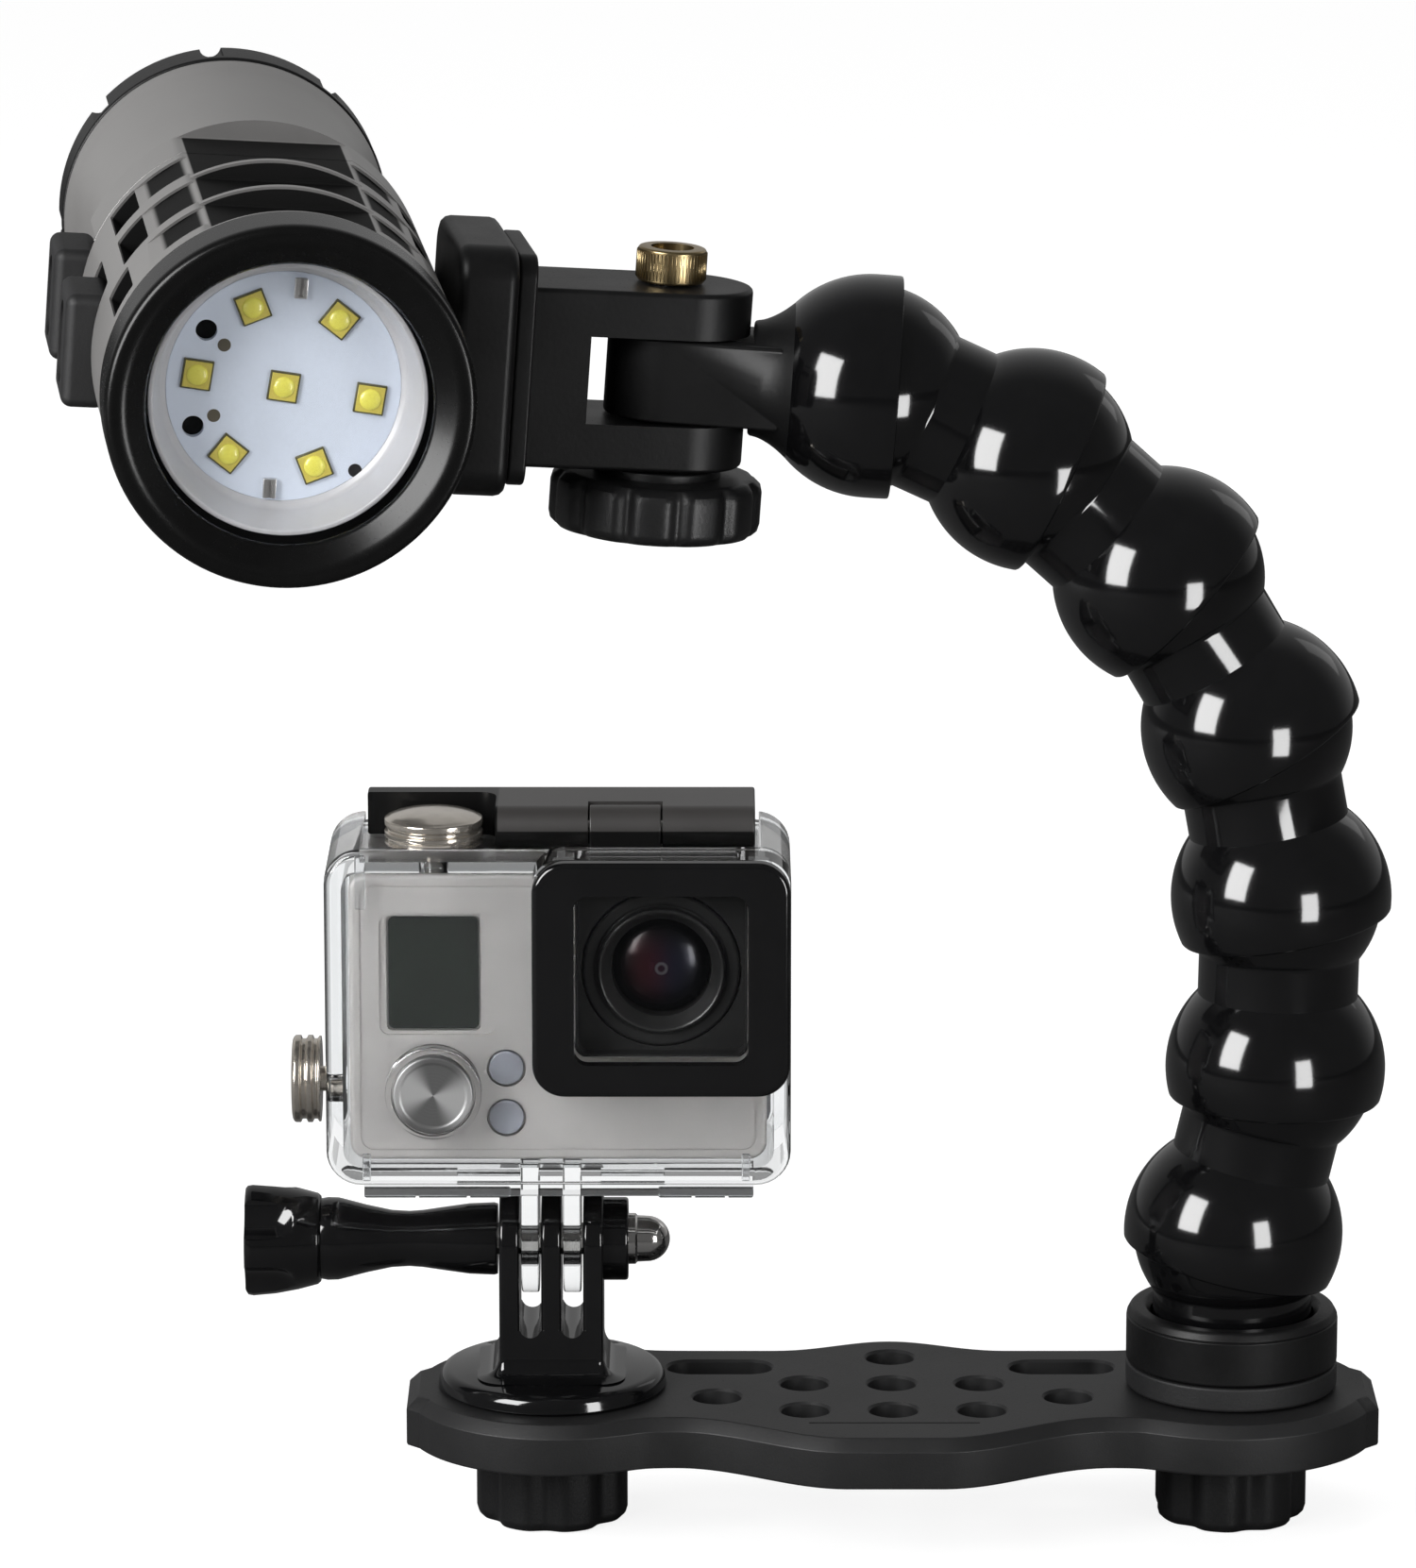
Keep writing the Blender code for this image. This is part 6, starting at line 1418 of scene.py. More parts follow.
@dataclass
class Clevis:
    """The clevis with its flange, the brass nut, the knob below and the saddle plate."""

    places: Places
    tongue_height: float = 11.8 * MM
    slide: float = 0.3 * MM
    ear: float = 6.6 * MM
    depth: float = 18.5 * MM
    nose: float = 11.8 * MM
    slot: float = 11.9 * MM
    body: float = 20.3 * MM
    flange: float = 2.6 * MM
    flange_depth: float = 25.0 * MM
    flange_top: float = 17.6 * MM
    flange_bottom: float = 15.2 * MM
    bolt: float = 3.3 * MM
    brass: float = 5.0 * MM
    brass_height: float = 4.8 * MM
    knob_radius: float = 15.0 * MM
    knob_height: float = 8.2 * MM
    knob_lobes: int = 12
    shoulder: float = 1.2 * MM
    saddle: float = 8.5 * MM
    saddle_depth: float = 32.0 * MM
    saddle_top: float = 19.0 * MM
    saddle_bottom: float = 16.5 * MM
    head_radius: float = 25.6 * MM

    @property
    def half(self) -> float:
        """Half the clevis's height."""
        return self.tongue_height / 2 + self.slide + self.ear

    def fork(self) -> None:
        """Makes the clevis itself."""
        half, side = self.half, self.depth / 2
        end = -self.body - self.flange / 2
        outline = [(end, -side)] + arc((self.nose - side, 0), side, -pi / 2, pi / 2, 36)
        shape = Shape.slab(outline + [(end, side)], -half, half, 0.7 * MM)
        gap = self.tongue_height / 2 + self.slide
        shape.cut(Shape.block((-self.slot, -side - MM, -gap), (self.nose + MM, side + MM, gap)),
                  Shape.rod(self.bolt, -half - MM, half + MM, steps=40))
        height = self.flange_top + self.flange_bottom
        plate = Shape.slab(rounded_rectangle(self.flange_depth, height, 3.0 * MM),
                           -self.body - self.flange, -self.body, 0.45 * MM)
        lift = (self.flange_top - self.flange_bottom) / 2
        shape.add(plate.placed(shift(z=lift) @ side_on()))
        piece(shape.placed(self.places.clevis), "clevis_fork", SATIN_BLACK, "light",
              ["light_clevis"], 34)

    def nut(self) -> None:
        """Makes the knurled brass nut."""
        low = self.half + self.slide
        top = low + self.brass_height
        body = self.brass - 0.16 * MM
        profile = softened([(3.05, 0, 0.25), (body / MM - 0.2, 0, 0.3), (body / MM, -0.35, 0.1)],
                           steps=3)
        ring = [(r * MM, top + z * MM) for r, z in profile]
        ring += [(body, low + 0.3 * MM), (body - 0.25 * MM, low), (3.3 * MM, low)]
        shape = Shape.lathe(ring, 72, True)
        ridge = Shape.block((body - 0.3 * MM, -0.11 * MM, low + 0.45 * MM),
                            (self.brass, 0.11 * MM, top - 0.5 * MM), 0.07 * MM, 1)
        shape.add(Repeater.round(ridge, 56, BRASS))
        piece(shape.placed(self.places.clevis), "knurled_nut", BRASS, "light",
              ["clevis_brass_nut"], 40)

    def knob(self) -> None:
        """Makes the ridged knob below the clevis."""
        top = -self.half - self.slide
        shoulder = top - self.shoulder
        foot = shoulder - self.knob_height
        layers = [(1.8, 0.0), (0.9, 0.25), (0.25, 0.85), (0.0, 1.8)]
        rings = [(a * MM, foot + z * MM) for a, z in layers]
        rings += [(0, shoulder - 2.0 * MM), (0.25 * MM, shoulder - 1.0 * MM),
                  (1.1 * MM, shoulder - 0.25 * MM), (2.2 * MM, shoulder)]
        shape = Shape.loft(knob_levels(self.knob_radius, self.knob_lobes, 0.9 * MM, 9, 0.1, rings))
        shape.add(Shape.rod(9.0 * MM, shoulder - 3 * MM, top, 0.3 * MM))
        shape.cut(Shape.rod(3.3 * MM, foot + self.knob_height / 3, top + MM, steps=32))
        piece(shape.placed(self.places.clevis), "pivot_hand_knob", GRIP_BLACK, "pivot_knob",
              ["clevis_pivot_knob"], 34)
        dress_node("clevis_stud", STEEL)

    def seat(self) -> None:
        """Makes the saddle plate between the flange and the light."""
        right = -self.body - self.flange - self.slide
        height = self.saddle_top + self.saddle_bottom
        shape = Shape.slab(rounded_rectangle(self.saddle_depth, height, 4.6 * MM, 10),
                           right - self.saddle, right, 1.5 * MM)
        lift = (self.saddle_top - self.saddle_bottom) / 2
        shape.placed(self.places.clevis @ shift(z=lift) @ side_on())
        hollow = Shape.rod(self.head_radius, -60 * MM, 60 * MM, steps=128)
        shape.cut(hollow.placed(self.places.light))
        piece(shape, "saddle_plate", SATIN_BLACK, "light", ["light_saddle"], 34)

    def build(self) -> None:
        """Makes all of the clevis."""
        self.fork()
        self.nut()
        self.knob()
        self.seat()


# The video light

@dataclass
class VideoLight:
    """Head with fins, bezel, glass, diffuser, board with emitters, tube, cap and switches."""

    places: Places
    radius: float = 25.3 * MM
    bezel_radius: float = 25.5 * MM
    front: float = 38.0 * MM
    bezel_length: float = 9.0 * MM
    opening: float = 19.6 * MM
    seat: float = 21.6 * MM
    glass: float = 2.0 * MM
    recess: float = 3.0 * MM
    slot_floor: float = 22.2 * MM
    slots: tuple[Point, ...] = ((13.2 * MM, 27.9 * MM), (-3.1 * MM, 12.0 * MM))
    rear_slot: Point = (-29.0 * MM, -4.3 * MM)
    flank_slots: tuple[tuple[float, float, float], ...] = (
        (143.5, -17.0 * MM, -5.5 * MM), (143.5, -1.5 * MM, 12.0 * MM), (154.0, 14.5 * MM, 25.5 * MM))
    flank_width: float = 5.2 * MM
    flank_depth: float = 3.0 * MM
    facet_angle: float = 126.5
    facet_half: float = 5.6 * MM
    facet_floor: float = 24.75 * MM
    back: float = 19.0 * MM
    shoulder: float = 30.4 * MM
    waist: float = 22.5 * MM
    tail_radius: float = 24.0 * MM
    tail_end: float = 76.0 * MM
    cap_length: float = 8.5 * MM
    cap_radius: float = 24.3 * MM
    notches: int = 8
    tube_bore: float = 20.5 * MM
    cell_floor: float = 4.0 * MM
    board: float = 16.2 * MM
    board_thickness: float = 1.2 * MM
    diffuser_depth: float = 4.5 * MM
    diffuser: float = 19.2 * MM
    chip_height: float = 0.7 * MM
    chip: float = 4.2 * MM
    ring_turn: float = -5.8
    switch_height: float = 18.0 * MM
    switch_length: float = 13.0 * MM
    switch_proud: float = 3.8 * MM
    switch_depth: float = 2.6 * MM
    stations: tuple[float, float] = (1.0 * MM, -26.0 * MM)
    gap: float = 0.3 * MM

    @property
    def bezel_back(self) -> float:
        """Where the bezel ends."""
        return self.front - self.bezel_length

    def slot_cutters(self) -> list[Shape]:
        """The tools for the flat-floored slots, the shallow facets and the slots on the flanks."""
        rim, past, tools = self.radius, self.radius + 5 * MM, []
        for low, high in (*self.slots, self.rear_slot):
            for side in (0, 180):
                tools.append(Shape.block((-15 * MM, self.slot_floor, low), (15 * MM, past, high),
                                         0.2 * MM, 1).placed(turn("Z", side)))
        half = self.flank_width / 2
        for mirror in (False, True):
            for angle, low, high in self.flank_slots:
                spin = 180 - angle if mirror else angle
                block = Shape.block((rim - self.flank_depth, -half, low), (past, half, high),
                                    0.25 * MM, 1)
                tools.append(block.placed(turn("Z", spin)))
                facet = Shape.block((self.facet_floor, -self.facet_half, low + 0.4 * MM),
                                    (past, self.facet_half, high - 0.4 * MM))
                spin = 180 - self.facet_angle if mirror else self.facet_angle
                tools.append(facet.placed(turn("Z", spin)))
        return tools

    def head(self) -> None:
        """Makes the slotted head."""
        front, rim, soft = self.bezel_back - self.gap, self.radius, 0.3 * MM
        corners = [(0, front, 0), (rim, front, soft), (rim, -self.back, 0.1 * MM), (0, -self.back, 0)]
        shape = Shape.lathe(softened(corners, steps=3), 128)
        floor = self.bezel_back - self.diffuser_depth - self.board_thickness - self.gap
        shape.cut(Shape.rod(self.diffuser + self.gap, floor, front + MM, steps=96),
                  Shape.rod(self.tube_bore, -self.back - MM, self.cell_floor, steps=96),
                  self.switch_seat(self.stations[0]), *self.slot_cutters())
        piece(shape.placed(self.places.light), "slotted_head", HEAD_GREY_PAINTED_SLOT_SHADE, "light", ["light_head"],
              30)

    def switch_seat(self, station: float) -> Shape:
        """The shallow seat of one switch."""
        inner = -self.radius + self.switch_depth + 1.3 * MM
        high, long = self.switch_height / 2 + self.gap, self.switch_length / 2 + self.gap
        return Shape.block((-self.radius - 5 * MM, -high, station - long),
                           (inner, high, station + long), 0.9 * MM)

    def optics(self) -> None:
        """Makes the bezel, the glass, the diffuser ring and the board with its emitters."""
        front, back = self.front, self.bezel_back
        glass_front = front - self.recess
        glass_back = glass_front - self.glass
        ring = softened([(self.opening + 3.4 * MM, front, 0.9 * MM),
                         (self.bezel_radius, front, 1.6 * MM), (self.bezel_radius, back, 0.2 * MM),
                         (self.seat, back, 0), (self.seat, glass_front + self.gap, 0),
                         (self.opening, glass_front + self.gap, 0.2 * MM),
                         (self.opening + 0.3 * MM, glass_front + 0.9 * MM, 0.3 * MM)], True, 6)
        light = self.places.light
        piece(Shape.lathe(ring, 128, True).placed(light), "lens_bezel", BEZEL_BLACK, "light",
              ["light_bezel"], 34)
        pane = Shape.rod(self.seat - self.gap, glass_back, glass_front, 0.15 * MM, 96)
        piece(pane.placed(light), "front_pane", CLEAR_PANE, "light", ["light_front_glass"])
        ring_back, ring_front = back - self.diffuser_depth, glass_back - self.gap
        inner = self.board + 0.03 * MM
        ring = softened([(self.diffuser, ring_front, 0.2 * MM), (self.diffuser, ring_back, 0),
                         (inner, ring_back, 0), (inner, ring_back + self.chip_height, 0.05 * MM),
                         (inner + 0.9 * MM, ring_back + 1.4 * MM, 0.7 * MM),
                         (self.diffuser - 0.7 * MM, ring_front, 0.3 * MM)], True, 6)
        piece(Shape.lathe(ring, 128, True).placed(light), "diffuser", DIFFUSER, "light",
              ["light_diffuser_ring"])
        top = ring_back + self.chip_height
        self.emitter_board(top)

    def emitter_board(self, top: float) -> None:
        """Makes the board, the emitters' bases, their yellow coats and the small parts."""
        light, chip = self.places.light, self.chip
        plate = Shape.rod(self.board, top - self.board_thickness, top, 0.05 * MM, 96)
        angles = [radians(self.ring_turn)]
        angles += [radians(self.ring_turn + 60 * i) for i in range(6)]
        places = [(0.0, 0.0, top)]
        places += [(12.05 * MM * cos(a), 12.05 * MM * sin(a), top) for a in angles[1:]]
        base = Shape.block((-chip / 2, -chip / 2, -0.4 * MM), (chip / 2, chip / 2, 0.5 * MM),
                           0.08 * MM, 1)
        drill = Shape.rod(1.5 * MM, top - 2 * MM, top + MM, steps=32)
        holes = [(-11.05 * MM, 7.43 * MM, 0), (-12.1 * MM, -6.2 * MM, 0)]
        plate.cut(Repeater.set_out(drill, holes, [0.0, 0.0], BOARD))
        piece(plate.placed(light), "emitter_board", BOARD, "light", ["light_led_board"])
        parts = ((base, places, angles, "emitter_bases", CHIP_EDGE),
                 (self.coat(), places, angles, "emitter_coats", PHOSPHOR),
                 (self.dome(1.5 * MM, 0.62 * MM, 0.5 * MM), places, angles, "emitter_domes", GLOW),
                 (Shape.rod(0.92 * MM, -0.2 * MM, 0.03 * MM, steps=24),
                  [(-8.5 * MM, 5.45 * MM, top), (-9.35 * MM, -4.55 * MM, top)], [0.0, 0.0],
                  "board_rivets", HOLE_BROWN),
                 (Shape.rod(0.95 * MM, -0.2 * MM, 0.03 * MM, steps=24),
                  [(10.6 * MM, -11.5 * MM, top)], [0.0], "board_dot", HOLE_DARK),
                 (self.clip(), [(1.5 * MM, 14.0 * MM, top), (-1.1 * MM, -14.4 * MM, top)],
                  [0.0, pi], "board_clips", SOLDER))
        for template, spots, turns, name, finish in parts:
            shape = Repeater.set_out(template, spots, turns, finish)
            made = piece(shape.placed(light), name, finish, "light")

    def coat(self) -> Shape:
        """The square yellow coat on one emitter."""
        inner = self.chip * 0.445
        return Shape.block((-inner, -inner, 0.3 * MM), (inner, inner, 0.64 * MM), 0.06 * MM, 1)

    @staticmethod
    def clip() -> Shape:
        """A small metal part with two legs."""
        shape = Shape.block((-0.9 * MM, -1.4 * MM, 0), (0.9 * MM, 1.4 * MM, 0.9 * MM), 0.15 * MM, 2)
        shape.cut(Shape.block((-0.35 * MM, -1.1 * MM, 0.45 * MM), (0.35 * MM, 2 * MM, 2 * MM)))
        return shape

    @staticmethod
    def dome(radius: float, low: float, height: float) -> Shape:
        """A low dome."""
        profile = [(radius * sin(a), low + height * cos(a))
                   for a in (radians(15 * i) for i in range(7))]
        return Shape.lathe([(0, low + height)] + profile[1:] + [(0, low)], 24)

    def tail(self) -> None:
        """Makes the battery tube and the notched tail cap."""
        front, end, light = -self.back - self.gap, -self.tail_end, self.places.light
        back = -self.shoulder
        tube = softened([(self.radius, front, 0.1 * MM), (self.radius, back, 0.35 * MM),
                         (self.waist + 0.5 * MM, back, 0.4 * MM),
                         (self.waist, back - 14 * MM, 12 * MM),
                         (self.tail_radius - 0.9 * MM, end + 9 * MM, 8 * MM),
                         (self.tail_radius, end + 1.2 * MM, 0.8 * MM),
                         (self.tail_radius, end, 0.3 * MM), (self.tube_bore, end, 0),
                         (self.tube_bore, front, 0)], True, 8)
        shape = Shape.lathe(tube, 128, True)
        low, high = self.rear_slot
        cuts = [Shape.block((-15 * MM, self.slot_floor, low), (15 * MM, 40 * MM, high), 0.2 * MM,
                            1).placed(turn("Z", side)) for side in (0, 180)]
        shape.cut(self.switch_seat(self.stations[1]), *cuts)
        piece(shape.placed(light), "battery_tube", HEAD_GREY_PAINTED_SLOT_SHADE, "light", ["light_battery_tube"], 30)
        cap_front = end - self.gap
        cap_end, bore = cap_front - self.cap_length, self.tube_bore - self.gap
        boss = self.cell_floor - self.gap - 65 * MM - self.gap
        corners = [(0, boss, 0), (10 * MM, boss, 0.3 * MM), (10 * MM, cap_front, 0),
                   (bore - 2 * MM, cap_front, 0), (bore - 2 * MM, cap_front + 6 * MM, 0),
                   (bore, cap_front + 6 * MM, 0), (bore, cap_front, 0),
                   (self.cap_radius, cap_front, 0.5 * MM), (self.cap_radius, cap_end, 1.4 * MM),
                   (0, cap_end, 0)]
        shape = Shape.lathe(softened(corners, steps=4), 128)
        notch = Shape.rod(1.6 * MM, cap_end - MM, cap_front - 1.4 * MM, steps=24)
        notch.placed(shift(self.cap_radius, 0, 0))
        shape.cut(Repeater.round(notch, self.notches, SATIN_BLACK, radians(7.5)))
        piece(shape.placed(light), "tail_cap", SATIN_BLACK, "tail_cap", ["light_tail_cap"], 34)
        dress_node("light_battery", CELL_WRAP)

    def switches(self) -> None:
        """Makes the two push pads on the light's side."""
        high, long = self.switch_height / 2, self.switch_length / 2
        inner, outer = -self.radius + self.switch_depth, -self.radius - self.switch_proud
        for label, station in zip(("front", "rear"), self.stations):
            pad = Shape.block((outer, -high, station - long), (inner, high - 1.8 * MM, station + long),
                              1.5 * MM, 5)
            dish = Shape.slab(stadium(high * 1.3, long * 1.1), outer - MM, outer + 0.35 * MM)
            pad.cut(dish.placed(shift(0, -0.9 * MM, station) @ side_on()))
            piece(pad.placed(self.places.light), f"{label}_switch_pad", RUBBER, f"{label}_switch",
                  [f"{label}_switch_button"], 34)

    def build(self) -> None:
        """Makes the whole light."""
        self.head()
        self.optics()
        self.tail()
        self.switches()


# The housing, the camera in it, the latch and the buttons

@dataclass
class Housing:
    """The clear housing with its port, door, latch and buttons, and the camera inside."""

    places: Places
    width: float = 66.2 * MM
    height: float = 49.3 * MM
    centre_x: float = 1.3 * MM
    floor: float = 12.2 * MM
    front: float = -15.5 * MM
    depth: float = 24.4 * MM
    wall: float = 2.4 * MM
    top_wall: float = 3.6 * MM
    recess_depth: float = 1.9 * MM
    corner: float = 5.0 * MM
    lens_width: float = 36.4 * MM
    lens_height: float = 34.0 * MM
    lens_reach: float = 6.8 * MM
    lens_dx: float = 14.7 * MM
    lens_lift: float = 32.7 * MM
    port: float = 24.6 * MM
    pane: float = 26.8 * MM
    pane_depth: float = 1.8 * MM
    frame_depth: float = 2.2 * MM
    camera_width: float = 59.4 * MM
    camera_height: float = 42.0 * MM
    camera_depth: float = 19.8 * MM
    camera_lift: float = 3.4 * MM
    display: tuple[float, float] = (12.8 * MM, 16.3 * MM)
    display_at: tuple[float, float] = (-17.7 * MM, 6.4 * MM)
    windows: tuple[float, float] = (-7.4 * MM, -14.7 * MM)
    window_x: float = -7.4 * MM
    mode_z: float = -10.1 * MM
    side_z: float = -12.6 * MM
    latch_length: float = 55.4 * MM
    latch_height: float = 6.2 * MM
    latch_top: float = 14.5 * MM
    latch_front: float = -10.0 * MM
    gap: float = 0.3 * MM
    finger: float = 2.55 * MM
    finger_radius: float = 7.75 * MM
    knuckle: float = 2.2 * MM

    @property
    def back(self) -> float:
        """Where the shell ends behind."""
        return self.front + self.depth

    @property
    def middle(self) -> float:
        """Height of the shell's middle."""
        return self.floor + self.height / 2

    @property
    def camera_middle(self) -> float:
        """Height of the camera's middle."""
        return self.floor + self.camera_lift + self.camera_height / 2

    @property
    def face(self) -> float:
        """The camera's front face."""
        return self.front + self.wall + 0.5 * MM

    @property
    def lens_at(self) -> Point:
        """Where the lens is, across and up."""
        return self.centre_x + self.lens_dx, self.floor + self.lens_lift

    @property
    def recess(self) -> float:
        """Floor of the recess in the housing's top."""
        return self.floor + self.height - self.recess_depth

    def facing(self, outline: Loop, near: float, far: float, x: float, z: float,
               edge: float = 0.0, soft_back: bool = True) -> Shape:
        """A slab whose outline is seen from the front.

        Args:
            outline: The outline, across and up.
            near: Its front face along Y.
            far: Its back face.
            x: Where its middle is across.
            z: Where its middle is up.
            edge: How far its rims are rounded.
            soft_back: Whether the back rim is rounded as well.

        Returns:
            The slab.
        """
        if edge > 0 and not soft_back:
            turns = [radians(a) for a in (0, 30, 60, 90)]
            head = [(edge * (1 - cos(a)), -near - edge * (1 - sin(a))) for a in turns]
            shape = Shape.plate(outline, [(0, -far)] + head)
        else:
            shape = Shape.slab(outline, -far, -near, edge)
        return shape.placed(shift(x, 0, z) @ FORWARD)

    def shell(self) -> None:
        """Makes the clear front shell."""
        x, z = self.centre_x, self.middle
        lens_x, lens_z = self.lens_at
        port = self.front - self.lens_reach
        shape = self.facing(rounded_rectangle(self.width, self.height, self.corner), self.front,
                            self.back, x, z, 1.2 * MM, False)
        box = rounded_rectangle(self.lens_width, self.lens_height, 4 * MM)
        shape.add(self.facing(box, port, self.front + self.wall / 3, lens_x, lens_z))
        rail_front = self.front + self.wall
        shape.add(Shape.block((x - 27.8 * MM, rail_front, self.floor - 2.1 * MM),
                              (x + 27.8 * MM, rail_front + 6 * MM, self.floor + 1.2 * MM),
                              0.3 * MM))
        radius = self.finger_radius
        outline = arc((0, 0), radius, pi, 2 * pi, 30) + [(radius, self.floor + 1.2 * MM),
                                                         (-radius, self.floor + 1.2 * MM)]
        prong, gap = 2.9 * MM, 3.15 * MM
        half = (3 * prong + 2 * gap) / 2
        for i in range(2):
            start = -half + (i + 1) * prong + i * gap + (gap - self.finger) / 2
            shape.add(Shape.slab(outline, start, start + self.finger, 0.3 * MM).placed(side_on()))
        ring = softened([(6.85, 2.4, 0.3), (6.85, -1.2, 0), (5.95, -1.2, 0), (5.95, 2.4, 0.3)],
                        True, 3)
        shroud = Shape.lathe([(r * MM, h * MM) for r, h in ring], 96, True)
        button_x, mode = x + self.display_at[0], self.camera_middle + self.mode_z
        shape.add(shroud.placed(shift(button_x, self.front, mode) @ FORWARD))
        inner_height = self.height - self.wall - self.top_wall
        bay = rounded_rectangle(self.width - 2 * self.wall, inner_height, self.corner - self.wall)
        half_latch = self.latch_length / 2 + 0.6 * MM
        latch_x = x + 0.3 * MM
        cuts = [self.facing(bay, self.front + self.wall, self.back + MM, x,
                            self.floor + self.wall + inner_height / 2),
                Shape.block((latch_x - half_latch, self.front + 1.8 * MM, self.recess),
                            (latch_x + half_latch, self.back + 2 * MM,
                             self.recess + 6 * MM)),
                self.facing(rounded_rectangle(self.port, self.port, 2 * MM), port - MM,
                            self.front + self.wall + MM, lens_x, lens_z),
                self.facing(rounded_rectangle(self.pane + 0.6 * MM, self.pane + 0.6 * MM, 2 * MM),
                            port - MM, port + self.pane_depth + self.gap, lens_x, lens_z),
                Shape.rod(2.8 * MM, -self.width / 2, self.width / 2, steps=32).placed(ALONG_X)]
        for place in (shift(button_x, self.front + self.wall, mode) @ FORWARD,
                      shift(button_x, -6.5 * MM, self.recess - self.wall),
                      shift(x - self.width / 2 + self.wall, 0, self.camera_middle + self.side_z)
                      @ ALONG_MINUS_X):
            cuts.append(Shape.rod(2.1 * MM, -MM, self.wall + MM, steps=32).placed(place))
        shape.cut(*cuts)
        shape.placed(self.places.housing)
        piece(shape, "clear_shell", POLYCARBONATE, "camera_housing", ["housing_front_shell"], 34)

    def door(self) -> None:
        """Makes the clear back door."""
        bottom, top = self.floor + 2.5 * MM, self.recess
        near = self.back + 4.4 * MM - 2 * self.knuckle + self.gap
        outline = rounded_rectangle(self.width, top - bottom, self.corner)
        shape = self.facing(outline, near, near + 3.2 * MM, self.centre_x, (top + bottom) / 2,
                            0.8 * MM)
        hinge_y, hinge_z = self.back + self.knuckle + self.gap, self.floor
        for side in (-1, 1):
            low, high = sorted((side * 5.8 * MM, side * 15.0 * MM))
            leaf = Shape.block((self.centre_x + low, near + 1.1 * MM, hinge_z),
                               (self.centre_x + high, near + 3.2 * MM, hinge_z + 6.6 * MM),
                               0.2 * MM)
            roll = Shape.rod(self.knuckle, low, high, 0.2 * MM, 40)
            shape.add(leaf, roll.placed(shift(self.centre_x, hinge_y, hinge_z) @ ALONG_X))
        pin = Shape.rod(1.3 * MM, -30 * MM, 30 * MM, steps=24)
        shape.cut(pin.placed(shift(self.centre_x, hinge_y, hinge_z) @ ALONG_X))
        piece(shape.placed(self.places.housing), "clear_door", POLYCARBONATE, "housing_door",
              ["housing_back_door"], 34)

    def port_parts(self) -> None:
        """Makes the black frame and the pane of the lens port."""
        lens_x, lens_z = self.lens_at
        port = self.front - self.lens_reach
        back = port - self.gap
        rim = self.facing(rounded_rectangle(self.lens_width, self.lens_height, 4.6 * MM, 12),
                          back - self.frame_depth, back, lens_x, lens_z, 0.8 * MM, False)
        rim.cut(self.facing(rounded_rectangle(self.port, self.port, 2 * MM),
                            back - self.frame_depth - MM, back + MM, lens_x, lens_z))
        piece(rim.placed(self.places.housing), "port_surround", GLOSS_BLACK, "camera_housing",
              ["port_frame"], 34)
        pane = self.facing(rounded_rectangle(self.pane, self.pane, 2 * MM), port,
                           port + self.pane_depth, lens_x, lens_z, 0.1 * MM)
        piece(pane.placed(self.places.housing), "port_pane", CLEAR_PANE, "camera_housing",
              ["port_glass"], 34)

    def camera(self) -> None:
        """Makes the camera: body, display, windows, lens ring and lens."""
        x, z, face = self.centre_x, self.camera_middle, self.face
        outline = rounded_rectangle(self.camera_width, self.camera_height, 2.6 * MM, 8)
        body = self.facing(outline, face, face + self.camera_depth, x, z, 0.7 * MM)
        groove_out = rounded_rectangle(self.camera_width - 3 * MM, self.camera_height - 3 * MM,
                                       2 * MM, 8)
        groove = self.facing(groove_out, face - MM, face + 0.25 * MM, x, z)
        inner = rounded_rectangle(self.camera_width - 3.6 * MM, self.camera_height - 3.6 * MM,
                                  1.7 * MM, 8)
        groove.cut(self.facing(inner, face - 2 * MM, face + MM, x, z))
        lcd_x, lcd_z = x + self.display_at[0], z + self.display_at[1]
        seat = self.facing(rounded_rectangle(16.4 * MM, 17.8 * MM, 1.4 * MM), face - MM,
                           face + 0.55 * MM, lcd_x + 0.5 * MM, lcd_z)
        width, height = self.display
        pocket = self.facing(rounded_rectangle(width + 0.6 * MM, height + 0.6 * MM, 0.9 * MM),
                             face - MM, face + 1.5 * MM, lcd_x, lcd_z)
        cuts = [groove, seat, pocket]
        for label, lift in zip(("upper", "lower"), self.windows):
            spot = shift(x + self.window_x, face, z + lift) @ FORWARD
            cuts.append(Shape.rod(2.8 * MM, -1.3 * MM, MM, steps=48).placed(spot))
            pane = Shape.rod(2.5 * MM, -MM, 0.15 * MM, 0.3 * MM, 48).placed(spot)
            piece(pane.placed(self.places.housing), f"{label}_round_window", WINDOW,
                  "camera_housing", [f"{label}_window"])
        body.cut(*cuts)
        piece(body.placed(self.places.housing), "camera_case", SILVER_FACE, "camera_housing",
              ["camera_body"], 34)
        screen = self.facing(rounded_rectangle(width, height, 0.8 * MM), face + 0.6 * MM,
                             face + 1.4 * MM, lcd_x, lcd_z, 0.15 * MM)
        piece(screen.placed(self.places.housing), "camera_screen", LCD, "camera_housing",
              ["camera_display"])
        self.lens(shift(self.lens_at[0], face, self.lens_at[1]) @ FORWARD)
        self.clips()

